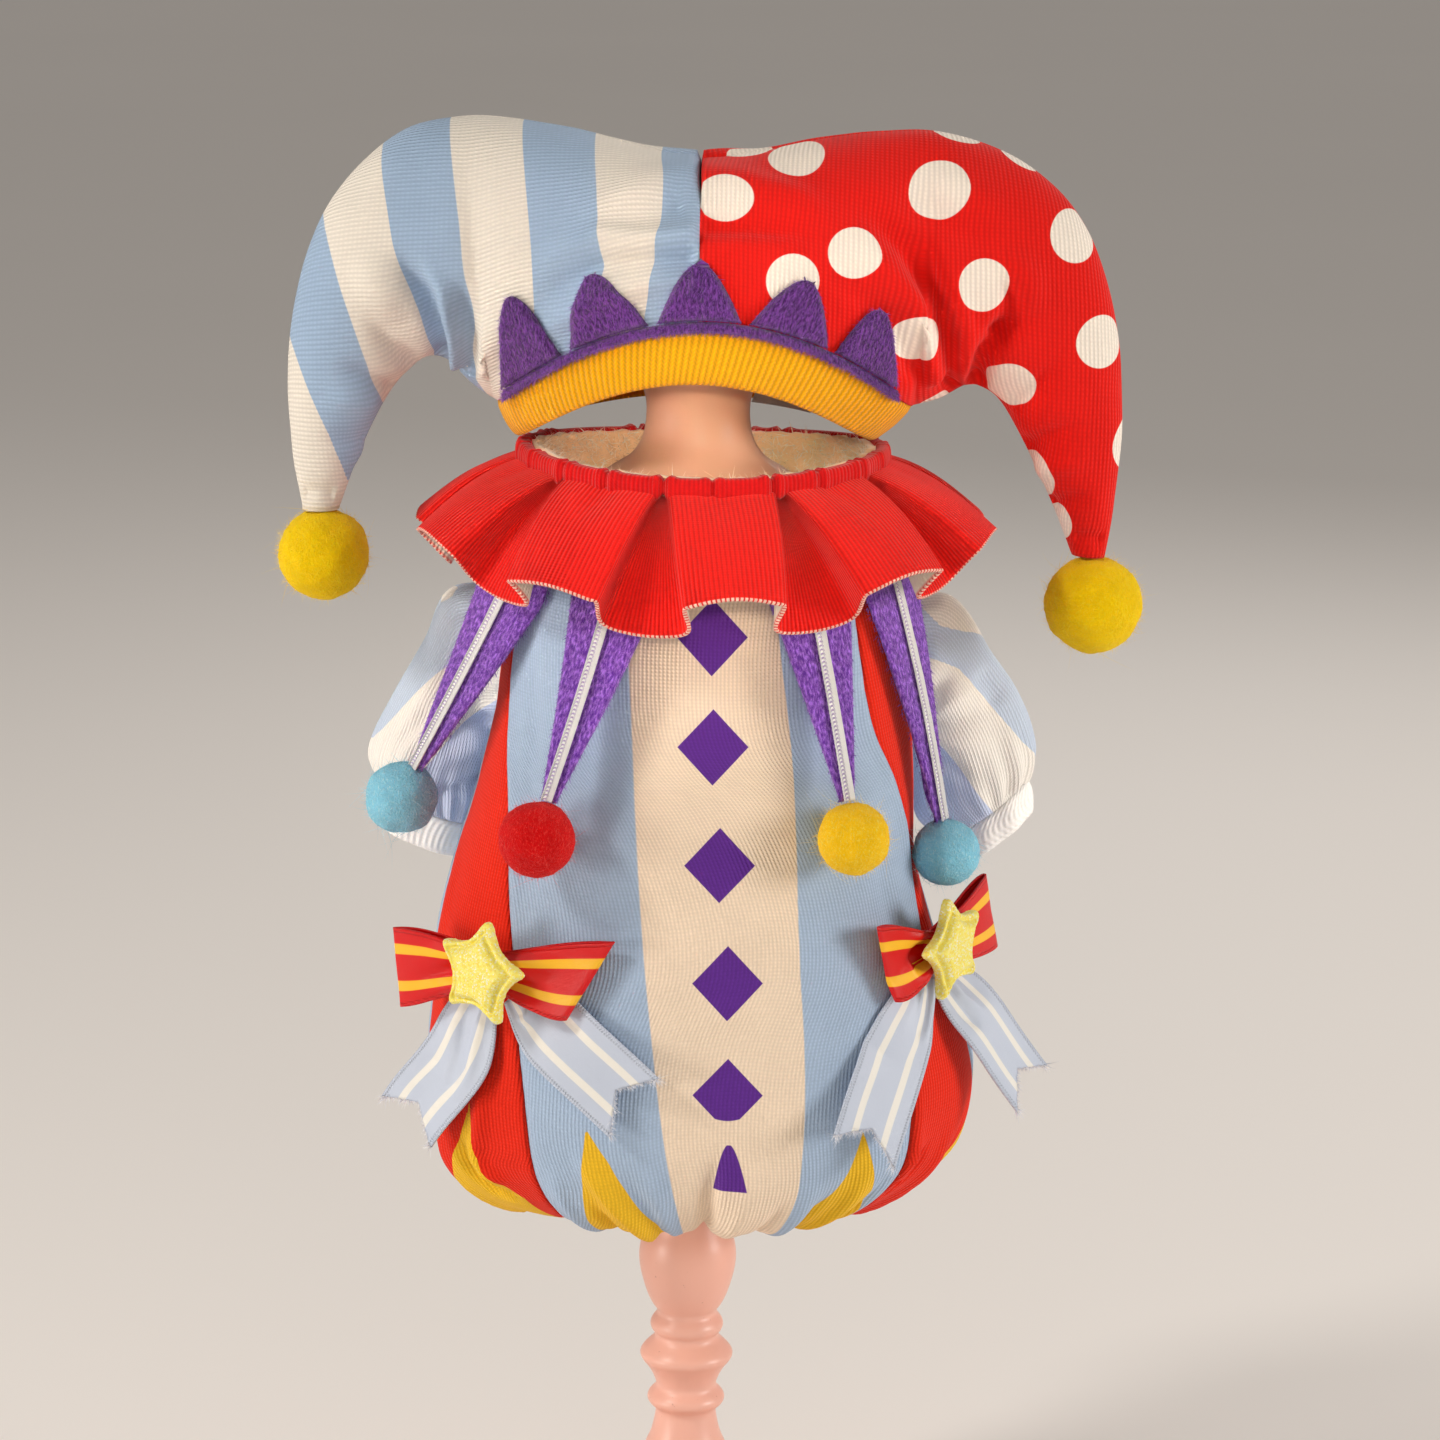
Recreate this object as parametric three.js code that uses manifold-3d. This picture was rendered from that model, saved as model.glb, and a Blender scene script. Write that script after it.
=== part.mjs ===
// Pet clown costume: a puffed one-piece garment and a two-horned jester hat, worn on a small limbless dress
// form that stands on a turned post. Millimetres, +Z up, +X to the viewer's right, -Y towards the viewer.
// The origin is the centre of the foot's underside.
import * as THREE from 'three';
import Module from 'manifold-3d';
import { mergeVertices } from 'three/addons/utils/BufferGeometryUtils.js';

const wasm = await Module();
wasm.setup();

// ------------------------------------------------------------------ driving sizes
const SEAM = 0.3; // gap between two sewn pieces, and under what lies on a panel
const CLEAR = 0.1; // added to a seam where the facets of two curved pieces face each other
const KNIT = 1.5; // wall of the garment's knit
const HAT_KNIT = 1.6; // wall of the hat's knit
const RUFF_CLOTH = 1.2; // wall of the pleated ruff
const FLEECE = 2.6; // wall of the fleece inside the neck
const RIB = 2.4; // wall of the rib bands
const RIBBON = 1; // wall of the satin ribbon
const RIBBON_WIDTH = 25;
const BRAID = { width: 3.6, thick: 1 };
const BODY_SQUARENESS = 2.2; // exponent of the garment's rounded cross-section
const NECK = { x: 1.8, half_x: 57.4, half_y: 46.5, z: 388.5, dip_front: 3.7, dip_back: 2.5 };
const NECKBAND = { thick: 4, height: 7.4 };
const RUFF_HEM = { x: 2.75, half_x: 85, half_y: 77, z: 358, dip_front: 10, dip_back: 4 };
const RUFF = { drop: 8.4, inset: 0.8, crown: 2.5, neck_lift: 0.8, neck_fold: 1.1, tuck: 2, opening: 0.8 };
const FLEECE_DROP = 38; // depth of the fleece below the neck's rim
const FLEECE_RISE = -0.2; // its rim stands this much above the neck's rim
const ARMHOLE = { angle: 118, half_angle: 18, z: 312, half_height: 20.6, plug: 8 };
const BACK_SEAM = 150; // angle of the seam between a side panel and the hidden back panel
const CUFF_TOP = { x: 1.8, half_x: 64, half_y: 44, z: 400, arch_front: 28, arch_back: 14 };
const CUFF_HEM = { x: -1, half_x: 55, half_y: 41.5, z: 389.3, arch_front: 22.5, arch_back: 7 };
const SLEEVE_CUFF_INSET = 0.4; // the rib cuff sits this much inside the sleeve's edge
const FULL_TURN = 360;
const EDGE_STEP = 0.002; // how far inside a panel its normal is taken at an edge
const HALVINGS = 24;

// Garment sections from neck to hem: half widths to the left, right, front and back of the axis; sag is how
// far the section follows the neckline's dip; seam_left and seam_right are the front panel's seams (deg).
const body_sections = [
  { z: 377, left: 53.6, right: 57.2, front: 44.6, back: 44.6, sag: 1, seam_left: 64, seam_right: 50 },
  { z: 352, left: 56.5, right: 60.8, front: 48.7, back: 48, sag: 0.5, seam_left: 66, seam_right: 50 },
  { z: 328, left: 59.5, right: 64.8, front: 52.5, back: 51, sag: 0, seam_left: 68, seam_right: 50 },
  { z: 305, left: 61.9, right: 67.6, front: 56, back: 53, sag: 0, seam_left: 66, seam_right: 53 },
  { z: 282, left: 67.5, right: 69, front: 58.5, back: 55, sag: 0, seam_left: 55, seam_right: 67 },
  { z: 258, left: 74.5, right: 70, front: 60.5, back: 57, sag: 0, seam_left: 47, seam_right: 75 },
  { z: 236, left: 80, right: 76, front: 63, back: 59, sag: 0, seam_left: 41, seam_right: 71 },
  { z: 212, left: 82.5, right: 85, front: 65, back: 61, sag: 0, seam_left: 38, seam_right: 55 },
  { z: 188, left: 84.2, right: 91, front: 66, back: 62, sag: 0, seam_left: 35, seam_right: 48 },
  { z: 168, left: 81.5, right: 86.5, front: 63, back: 60, sag: 0, seam_left: 34, seam_right: 49 },
  { z: 153.5, left: 70, right: 72, front: 56, back: 52, sag: 0, seam_left: 35, seam_right: 50 },
  { z: 147.6, left: 55, right: 57, front: 46, back: 42, sag: 0, seam_left: 40, seam_right: 51 },
  { z: 153, left: 41, right: 43, front: 34, back: 34, sag: 0, seam_left: 44, seam_right: 51 },
  { z: 159, left: 33, right: 35, front: 28, back: 28, sag: 0, seam_left: 44, seam_right: 51 },
];
const BOTTOM_ROW = 11; // the row where the hem starts to roll under

// Largest folds of the garment: outward (inward when negative) by depth at an angle from the front, strongest
// at one row of the section table.
const body_folds = [
  { angle: 0, width: 7, depth: -3.2, peak_row: 11.5, reach: 3 },
  { angle: 16, width: 8, depth: 1.8, peak_row: 11, reach: 3 },
  { angle: -14, width: 8, depth: 1.6, peak_row: 11, reach: 3 },
  { angle: -38, width: 6, depth: -2.4, peak_row: 11.5, reach: 3.5 },
  { angle: -62, width: 9, depth: 2.6, peak_row: 10, reach: 3 },
  { angle: 34, width: 6, depth: -2.2, peak_row: 11.5, reach: 3 },
  { angle: 60, width: 8, depth: -2, peak_row: 11.5, reach: 4 },
  { angle: 86, width: 9, depth: -2.6, peak_row: 11.5, reach: 4 },
  { angle: -86, width: 8, depth: -2.6, peak_row: 11.5, reach: 4 },
  { angle: 122, width: 8, depth: -2.4, peak_row: 11.5, reach: 4 },
  { angle: -122, width: 8, depth: -2.4, peak_row: 11.5, reach: 4 },
  { angle: 180, width: 8, depth: -2.6, peak_row: 11.5, reach: 4 },
];

// Box pleats of the ruff: centre of the face and half its angle at the hem (deg), and its lift there (mm).
const pleats = [
  { centre: 6, half: 10.6, lift: 7.5 },
  { centre: 43, half: 11, lift: 7 },
  { centre: 78, half: 10.4, lift: 6.6 },
  { centre: 114, half: 10.8, lift: 7 },
  { centre: 150, half: 10.6, lift: 7.2 },
  { centre: 186, half: 10.4, lift: 7 },
  { centre: 222, half: 11, lift: 7.2 },
  { centre: 257, half: 10.2, lift: 6.6 },
  { centre: 292, half: 10.8, lift: 6.8 },
  { centre: 329, half: 10.8, lift: 7.5 },
];

// Sleeve sections below the armhole: outer and inner edge of each tilted ring (x away from the middle, z),
// and its middle and half depth in y.
const sleeve_sections = {
  left: [
    { out_x: 77, out_z: 335, in_x: 64.5, in_z: 287, y: 30, half_y: 18 },
    { out_x: 87, out_z: 318, in_x: 64.8, in_z: 281, y: 31, half_y: 19 },
    { out_x: 97, out_z: 300, in_x: 65.2, in_z: 274, y: 32, half_y: 19 },
    { out_x: 104, out_z: 281, in_x: 66.5, in_z: 266, y: 33, half_y: 18 },
    { out_x: 98.5, out_z: 269.5, in_x: 70, in_z: 258, y: 33, half_y: 14.5 },
  ],
  right: [
    { out_x: 80, out_z: 335, in_x: 67, in_z: 287, y: 30, half_y: 18 },
    { out_x: 94, out_z: 317, in_x: 67.5, in_z: 280, y: 31, half_y: 19 },
    { out_x: 103.5, out_z: 304, in_x: 68.5, in_z: 273, y: 32, half_y: 19 },
    { out_x: 109.5, out_z: 287, in_x: 72, in_z: 263, y: 33, half_y: 18 },
    { out_x: 107, out_z: 276, in_x: 82, in_z: 256.5, y: 33, half_y: 14.5 },
  ],
};
const sleeve_cuffs = {
  left: { shift_x: 4, shift_z: -10.8 },
  right: { shift_x: 2.6, shift_z: -10.2 },
};

// Plush points: angle and height where each leaves the neck seam, place of its tip, the way its face turns
// (deg from the front), and its pompom's radius.
const SPIKE = {
  half_top: 16.5, half_tip: 2.4, waist: 0.62, waist_end: 0.2, thick: 3, start_z: 368, rows: 7, seat: 0.6,
  clear: 0.8, swell: 3.2, curl: 1.2,
};
const spikes = [
  { angle: -54, tip: [-86, -10, 286], turn: -44, bow: 3, ball: 11.4 },
  { angle: -19, tip: [-43, -64, 289], turn: -20, bow: 2, ball: 11.5 },
  { angle: 29, tip: [46.5, -58, 289], turn: 24, bow: -1, ball: 11.1 },
  { angle: 63, tip: [76.5, -16, 273], turn: 56, bow: -2, ball: 10.6 },
];
const POMPOM_DETAIL = 2;

// Bows: place of the middle on the garment, the way the bow turns (deg from the front), its loops (reach and
// rise of the outer end, how far its edge leans out at the top, and the way it turns) and its tails (place of
// the end and the way its face turns).
const LOOP = { pinch: 5.5, start: 0.4, front: 8, back: 4, bulge: 1.8, fullness: 0.75 };
const TAIL = {
  pinch: 5, spacing: 5, start: 7, widen: 3, swell: 1.6, clear: 0.7, notch: 8, notch_from: 0.6, rows: 7,
};
const STAR = { outer: 14.6, inner: 8.2, thick: 2.6, bevel: 1.6, roundness: 0.42 };
const bows = {
  left: {
    angle: -43, z: 233, turn: -38,
    loops: {
      left: { reach: 34, rise: 1, lean: -0.08, turn: -27 },
      right: { reach: 37, rise: -1, lean: 0.16, turn: -20 },
    },
    tails: {
      left: { end: [-87.2, -34, 178.6], turn: -42 },
      right: { end: [-19, -70, 198], turn: -12 },
    },
    star_spin: 4, star_lift: 11.4, tail_shift: 0,
  },
  right: {
    angle: 65, z: 236, turn: 58,
    loops: {
      left: { reach: 26, rise: 0.5, lean: 0.16, turn: 54 },
      right: { reach: 28, rise: 5, lean: -0.16, turn: 58 },
    },
    tails: {
      left: { end: [54.5, -64, 184], turn: 26 },
      right: { end: [104.5, -20, 190.5], turn: 64 },
    },
    star_spin: -6, star_lift: 10.8, tail_shift: 4,
  },
};

// Hat sections from the middle seam to the horn's tip: up_* is the top outline; low_* the under outline past
// the rib band, where before it `angle` is the place on the band; bulge is the half depth the cloth gains.
const hat_sections = {
  left: [
    { up_x: 0.5, up_z: 474.6, angle: 0, bulge: 5 },
    { up_x: 20, up_z: 479.3, angle: 19, bulge: 6 },
    { up_x: 38, up_z: 483.5, angle: 39, bulge: 9 },
    { up_x: 56, up_z: 486.4, angle: 61, bulge: 16 },
    { up_x: 73, up_z: 487, angle: 90, bulge: 25 },
    { up_x: 90, up_z: 482.8, low_x: 69, low_z: 404.5, bulge: 24 },
    { up_x: 105, up_z: 471, low_x: 77, low_z: 412, bulge: 21.5 },
    { up_x: 116, up_z: 455, low_x: 83.5, low_z: 413, bulge: 19 },
    { up_x: 122.7, up_z: 436, low_x: 89, low_z: 409, bulge: 16.5 },
    { up_x: 126, up_z: 415, low_x: 94.5, low_z: 402.5, bulge: 14 },
    { up_x: 126, up_z: 397, low_x: 99.8, low_z: 393, bulge: 11.5 },
    { up_x: 124.6, up_z: 381, low_x: 105.3, low_z: 380.5, bulge: 9 },
    { up_x: 122, up_z: 365, low_x: 110.8, low_z: 365, bulge: 5 },
  ],
  right: [
    { up_x: -0.5, up_z: 474.6, angle: 0, bulge: 5 },
    { up_x: 18, up_z: 478, angle: 19, bulge: 6 },
    { up_x: 36, up_z: 481.8, angle: 39, bulge: 9 },
    { up_x: 54, up_z: 484.2, angle: 61, bulge: 16 },
    { up_x: 71, up_z: 484.4, angle: 90, bulge: 25 },
    { up_x: 88, up_z: 480.2, low_x: 74.5, low_z: 402.5, bulge: 24 },
    { up_x: 105, up_z: 470.5, low_x: 82.5, low_z: 406.6, bulge: 21.5 },
    { up_x: 117.5, up_z: 456, low_x: 88.5, low_z: 405.3, bulge: 19 },
    { up_x: 125.6, up_z: 436, low_x: 93.3, low_z: 401, bulge: 16.5 },
    { up_x: 129.6, up_z: 413, low_x: 98.5, low_z: 392.5, bulge: 14 },
    { up_x: 130.4, up_z: 392, low_x: 104.2, low_z: 381.5, bulge: 11.5 },
    { up_x: 129, up_z: 372, low_x: 110.3, low_z: 368.5, bulge: 9 },
    { up_x: 126.4, up_z: 353.6, low_x: 116.2, low_z: 354, bulge: 5 },
  ],
};
const LAST_BAND_ROW = 4; // the hat row where the rib band ends at the side
const hat_balls = [
  { name: 'hat_pompom_left', at: [-115.6, 0, 351.2], radius: 14.2 },
  { name: 'hat_pompom_right', at: [123.4, 0, 338.6], radius: 15.2 },
];

// Short bare tape inside the back of the rib band: its angles, and its edges as parts of the band's height.
const TAPE = { from: 136, to: 160, top: 0.5, bottom: 1.08, thick: 0.8 };

// Plush crown on the hat's front: base from and to, and tip, in mm across, and heights.
const CROWN = {
  thick: 2.4, lift: 0.5, band_start: 0.4, band_height: 3.8, band_thick: 2.8, band_reach: 60,
  fullness: 1.3, tip_half: 1.2,
};
const crown_points = [
  { from: -60.5, to: -40.5, tip_x: -57.5, tip_z: 435.5 },
  { from: -37.5, to: -15, tip_x: -32.5, tip_z: 443.5 },
  { from: -12, to: 12.5, tip_x: 0, tip_z: 448 },
  { from: 15, to: 38, tip_x: 32.5, tip_z: 442.5 },
  { from: 40.5, to: 60, tip_x: 55.5, tip_z: 432.5 },
];

// Turned profiles, radius and height, from the axis at the bottom to the axis at the top.
const FOOT = { radius: 75, height: 14, edge: 3 };
const post_profile = [
  [0, 14.3], [24, 14.3], [24, 18], [20, 21], [14, 25], [10.5, 32], [9.6, 40], [10.6, 47], [13.2, 53],
  [14, 57], [12.6, 60.6], [11.2, 63.5], [10, 68.6], [9.55, 72.4], [12.4, 74.6], [12.4, 77], [9.7, 79.6],
  [9.7, 81.5], [11.9, 86.3], [15.2, 90.2], [14.4, 92.6], [9.5, 97.1], [11.7, 99.6], [11.7, 102], [9, 105.3],
  [11.3, 108], [13.5, 113], [15.8, 122], [15.2, 129], [12.6, 134.7], [11, 141], [10.6, 150], [10.6, 159.7],
  [0, 159.7],
];
const form_profile = [
  [0, 160], [24, 160], [31, 164], [35.6, 174], [37.6, 200], [37, 250], [37.6, 300], [38.6, 335], [39.1, 357],
  [38.2, 367], [34, 374.6], [26.5, 380], [21.3, 383], [18.8, 386], [16.7, 390], [15.7, 397.8], [16.6, 404],
  [20.5, 412], [26, 422.5], [30, 435], [31, 446], [29, 457], [23, 465.2], [13, 470.2], [0, 472.3],
];
const LATHE_SIDES = 28;

const paints = {
  light_blue: { color: 0xa5c8e1, roughness: 0.9 },
  red_knit: { color: 0xe23019, roughness: 0.9 },
  cream: { color: 0xf0e6da, roughness: 0.95 },
  purple_plush: { color: 0x6a37a5, roughness: 1 },
  yellow_rib: { color: 0xf5aa0f, roughness: 0.9 },
  yellow_felt: { color: 0xf5dc0f, roughness: 1 },
  orange_felt: { color: 0xfabe14, roughness: 1 },
  blue_felt: { color: 0x82c8dc, roughness: 1 },
  red_felt: { color: 0xd20f14, roughness: 1 },
  white_braid: { color: 0xf2f0f4, roughness: 0.7 },
  red_satin: { color: 0xd71414, roughness: 0.35 },
  blue_satin: { color: 0xb9c8e1, roughness: 0.35 },
  glitter: { color: 0xf0e146, roughness: 0.4 },
  pink_paint: { color: 0xf0beaf, roughness: 0.4 },
  peach_form: { color: 0xe6ad86, roughness: 0.5 },
};

// ------------------------------------------------------------------ helpers
const radians = THREE.MathUtils.degToRad;
const mix = THREE.MathUtils.lerp;
const vector = (x, y, z) => new THREE.Vector3(x, y, z);
const steps = (count, from = 0, to = 1) =>
  Array.from({ length: count + 1 }, (_, step) => mix(from, to, step / count));

/** Adds a closed mesh to the costume under its piece name. */
const costume = new THREE.Group();
function piece(name, geometry, paint) {
  const material = new THREE.MeshStandardMaterial({ ...paints[paint], metalness: 0 });
  const mesh = new THREE.Mesh(geometry, material);
  mesh.name = name;
  costume.add(mesh);
  return mesh;
}

/** Smooth value of a table's column at a row number that may lie between rows. */
function along(rows, column, at) {
  const last = rows.length - 1;
  const low = Math.min(Math.max(Math.floor(at), 0), last - 1);
  const value = (row) => rows[Math.min(Math.max(row, 0), last)][column];
  const part = at - low;
  const [before, here, next, after] = [value(low - 1), value(low), value(low + 1), value(low + 2)];
  const pull = (next - before) / 2;
  const push = (after - here) / 2;
  const square = part * part;
  const cube = square * part;
  return (2 * cube - 3 * square + 1) * here + (cube - 2 * square + part) * pull
    + (3 * square - 2 * cube) * next + (cube - square) * push;
}

/** Largest value between low and high, to within rounding, for which stillBefore holds. */
function halve(low, high, stillBefore) {
  let [from, to] = [low, high];
  for (let halving = 0; halving < HALVINGS; halving += 1) {
    const middle = (from + to) / 2;
    if (stillBefore(middle)) from = middle;
    else to = middle;
  }
  return from;
}

/** Six times the signed volume inside a triangle list: negative when its faces point in. */
function signedVolume(points, triangles) {
  let total = 0;
  for (const [a, b, c] of triangles) total += points[a].dot(vector().crossVectors(points[b], points[c]));
  return total;
}

function solid(points, triangles) {
  const facing = signedVolume(points, triangles) < 0 ? triangles.map(([a, b, c]) => [a, c, b]) : triangles;
  const geometry = new THREE.BufferGeometry();
  geometry.setAttribute('position', new THREE.Float32BufferAttribute(points.flatMap((p) => p.toArray()), 3));
  geometry.setIndex(facing.flat());
  geometry.computeVertexNormals();
  return geometry;
}

/** Closed wall between an outer and an inner grid of points; its columns meet when it goes all round. */
function wallBetween(outer, inner, round) {
  const rows = outer.length;
  const columns = outer[0].length;
  const points = [...outer.flat(), ...inner.flat()];
  const inside = rows * columns;
  const index = (row, column) => row * columns + (column % columns);
  const triangles = [];
  const quad = (a, b, c, d) => triangles.push([a, b, c], [a, c, d]);
  const spans = round ? columns : columns - 1;
  for (let row = 0; row < rows - 1; row += 1) {
    for (let column = 0; column < spans; column += 1) {
      const a = index(row, column);
      const b = index(row, column + 1);
      const c = index(row + 1, column + 1);
      const d = index(row + 1, column);
      quad(a, b, c, d);
      quad(inside + d, inside + c, inside + b, inside + a);
    }
  }
  for (let column = 0; column < spans; column += 1) {
    const top = [index(0, column), index(0, column + 1)];
    const end = [index(rows - 1, column), index(rows - 1, column + 1)];
    quad(top[1], top[0], inside + top[0], inside + top[1]);
    quad(end[0], end[1], inside + end[1], inside + end[0]);
  }
  for (let row = 0; row < rows - 1 && !round; row += 1) {
    const first = [index(row, 0), index(row + 1, 0)];
    const last = [index(row, columns - 1), index(row + 1, columns - 1)];
    quad(first[0], first[1], inside + first[1], inside + first[0]);
    quad(last[1], last[0], inside + last[0], inside + last[1]);
  }
  return solid(points, triangles);
}

/** Closed skin over a grid that meets itself both ways, like a ring. */
function ringSkin(grid) {
  const rows = grid.length;
  const columns = grid[0].length;
  const index = (row, column) => (row % rows) * columns + (column % columns);
  const triangles = [];
  for (let row = 0; row < rows; row += 1) {
    for (let column = 0; column < columns; column += 1) {
      const a = index(row, column);
      const c = index(row + 1, column + 1);
      triangles.push([a, index(row, column + 1), c], [a, c, index(row + 1, column)]);
    }
  }
  return solid(grid.flat(), triangles);
}

/** Outward normal of a surface whose u runs from the front to +X and whose v runs down. */
function normalOf(surface, u, v) {
  const step = 1e-3;
  const across = surface(u + step, v).sub(surface(u - step, v));
  const down = surface(u, v + step).sub(surface(u, v - step));
  return down.cross(across).normalize();
}

/** Point of a surface moved out along its normal. */
const lifted = (surface, u, v, out) => surface(u, v).addScaledVector(normalOf(surface, u, v), out);

/** Cloth wall on a surface; columnsAt(v) gives the u values of that row. */
function cloth(surface, columnsAt, rows, thick, { round = false, out = 0, held = (point) => point } = {}) {
  const grid = (height) => rows.map((v) => columnsAt(v).map((u) => held(lifted(surface, u, v, height))));
  return wallBetween(grid(out), grid(out - thick), round);
}

const roundColumns = (count) => steps(count, 0, FULL_TURN).slice(0, -1);

/** Place on an oval ring whose height dips or arches towards its front and its back. */
function oval(ring, angle, inset = 0) {
  const across = Math.sin(radians(angle));
  const ahead = Math.cos(radians(angle));
  const rise = ahead > 0 ? (ring.arch_front ?? -ring.dip_front) : (ring.arch_back ?? -ring.dip_back);
  return vector(
    ring.x + (ring.half_x - inset) * across,
    -(ring.half_y - inset) * ahead,
    ring.z + rise * ahead * ahead,
  );
}

function turned(profile) {
  const points = profile.map(([radius, height]) => new THREE.Vector2(radius, height));
  const geometry = new THREE.LatheGeometry(points, LATHE_SIDES);
  geometry.rotateX(Math.PI / 2);
  return geometry;
}

function toManifold(geometry) {
  const bare = geometry.clone();
  bare.deleteAttribute('normal');
  bare.deleteAttribute('uv');
  const merged = mergeVertices(bare, 1e-4);
  const mesh = new wasm.Mesh({
    numProp: 3,
    vertProperties: new Float32Array(merged.attributes.position.array),
    triVerts: new Uint32Array(merged.index.array),
  });
  return new wasm.Manifold(mesh);
}

function fromManifold(shape) {
  const mesh = shape.getMesh();
  const geometry = new THREE.BufferGeometry();
  geometry.setAttribute('position', new THREE.BufferAttribute(new Float32Array(mesh.vertProperties), 3));
  geometry.setIndex(new THREE.BufferAttribute(new Uint32Array(mesh.triVerts), 1));
  return geometry;
}

// ------------------------------------------------------------------ stand
const foot_profile = [
  [0, 0], [FOOT.radius - FOOT.edge, 0], [FOOT.radius, FOOT.edge], [FOOT.radius, FOOT.height - FOOT.edge],
  [FOOT.radius - FOOT.edge, FOOT.height], [0, FOOT.height],
];
piece('stand_base', turned(foot_profile), 'pink_paint');
piece('stand_post', turned(post_profile), 'pink_paint');
piece('dress_form', turned(form_profile), 'peach_form');

// ------------------------------------------------------------------ garment body
function foldDepth(angle, row) {
  let depth = 0;
  for (const fold of body_folds) {
    const away = ((angle - fold.angle + 540) % FULL_TURN) - 180;
    const across = away / fold.width;
    const up = (row - fold.peak_row) / fold.reach;
    depth += fold.depth * Math.exp(-across * across - up * up);
  }
  return depth;
}

/** Outer face of the garment at an angle from the front and a row of its section table. */
function bodySurface(angle, row) {
  const across = Math.sin(radians(angle));
  const ahead = Math.cos(radians(angle));
  const power = 2 / BODY_SQUARENESS;
  const section = (column) => along(body_sections, column, row);
  const fold = foldDepth(angle, row);
  const half_x = section(across < 0 ? 'left' : 'right') + fold;
  const half_y = section(ahead > 0 ? 'front' : 'back') + fold;
  const dip = (ahead > 0 ? NECK.dip_front : NECK.dip_back) * ahead * ahead;
  return vector(
    Math.sign(across) * Math.abs(across) ** power * half_x,
    -Math.sign(ahead) * Math.abs(ahead) ** power * half_y,
    section('z') - dip * section('sag'),
  );
}

/** Row number of the garment's section table at a height above its bottom roll. */
const bodyRow = (height) => halve(0, BOTTOM_ROW, (row) => along(body_sections, 'z', row) > height);

const body_rows = [...steps(9, 0, 9), 10, 10.6, 11, 11.5, 12.2, 13];

/** Columns of a panel between two seam angles, with half a seam gap kept free at each side. */
function panelColumns(fromAt, toAt, count) {
  return (row) => {
    const half_gap = (angle) => {
      const place = bodySurface(angle, row);
      return THREE.MathUtils.radToDeg(SEAM / 2 / Math.hypot(place.x, place.y));
    };
    return steps(count, fromAt(row) + half_gap(fromAt(row)), toAt(row) - half_gap(toAt(row)));
  };
}

const seamLeft = (row) => -along(body_sections, 'seam_left', row);
const seamRight = (row) => along(body_sections, 'seam_right', row);
const panel = (from, to, count) => cloth(bodySurface, panelColumns(from, to, count), body_rows, KNIT);

/** Ring on the garment round an armhole: side is -1 or 1, grow widens it, out lifts it off the cloth. */
function armholeRing(side, turn, grow, out) {
  const turn_angle = radians(turn);
  const scale = 1 + grow / ARMHOLE.half_height;
  const angle = ARMHOLE.angle + ARMHOLE.half_angle * scale * Math.sin(turn_angle);
  const height = ARMHOLE.z + ARMHOLE.half_height * scale * Math.cos(turn_angle);
  return lifted(bodySurface, side * angle, bodyRow(height), out);
}

const SLEEVE_SIDES = 18;
const sleeve_turns = roundColumns(SLEEVE_SIDES);

/** Plug that opens the armhole through a side panel. */
function armholePlug(side) {
  const ring = (out) => sleeve_turns.map((turn) => armholeRing(side, turn, 0, out));
  const [outside, inside] = [ring(ARMHOLE.plug), ring(-ARMHOLE.plug)];
  const sum = (ends) => ends.reduce((total, end) => total.add(end), vector(0, 0, 0));
  const centre = (ends) => sum(ends).divideScalar(SLEEVE_SIDES);
  const points = [...outside, ...inside, centre(outside), centre(inside)];
  const triangles = [];
  for (let i = 0; i < SLEEVE_SIDES; i += 1) {
    const next = (i + 1) % SLEEVE_SIDES;
    const [under, next_under] = [i + SLEEVE_SIDES, next + SLEEVE_SIDES];
    triangles.push([i, next, next_under], [i, next_under, under]);
    triangles.push([next, i, 2 * SLEEVE_SIDES], [under, next_under, 2 * SLEEVE_SIDES + 1]);
  }
  return solid(points, triangles);
}

function sidePanel(from, to, side) {
  const whole = toManifold(panel(from, to, 10));
  return fromManifold(whole.subtract(toManifold(armholePlug(side))));
}

piece('body_front', panel(seamLeft, seamRight, 12), 'light_blue');
piece('body_side_left', sidePanel(() => -BACK_SEAM, seamLeft, -1), 'red_knit');
piece('body_side_right', sidePanel(seamRight, () => BACK_SEAM, 1), 'red_knit');
piece('body_back', panel(() => BACK_SEAM, () => FULL_TURN - BACK_SEAM, 6), 'light_blue');

// ------------------------------------------------------------------ sleeves
/** Ring of a sleeve section, its points moved in towards the middle by inset. */
function sleeveRing(section, side, inset, shift = { shift_x: 0, shift_z: 0 }) {
  const outer = vector(side * (section.out_x + shift.shift_x), section.y, section.out_z + shift.shift_z);
  const inner = vector(side * (section.in_x + shift.shift_x), section.y, section.in_z + shift.shift_z);
  const centre = outer.clone().add(inner).divideScalar(2);
  const half = outer.clone().sub(centre);
  const keep = 1 - inset / half.length();
  return sleeve_turns.map((turn) => centre.clone()
    .addScaledVector(half, keep * Math.cos(radians(turn)))
    .add(vector(0, (section.half_y - inset) * Math.sin(radians(turn)), 0)));
}

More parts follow.
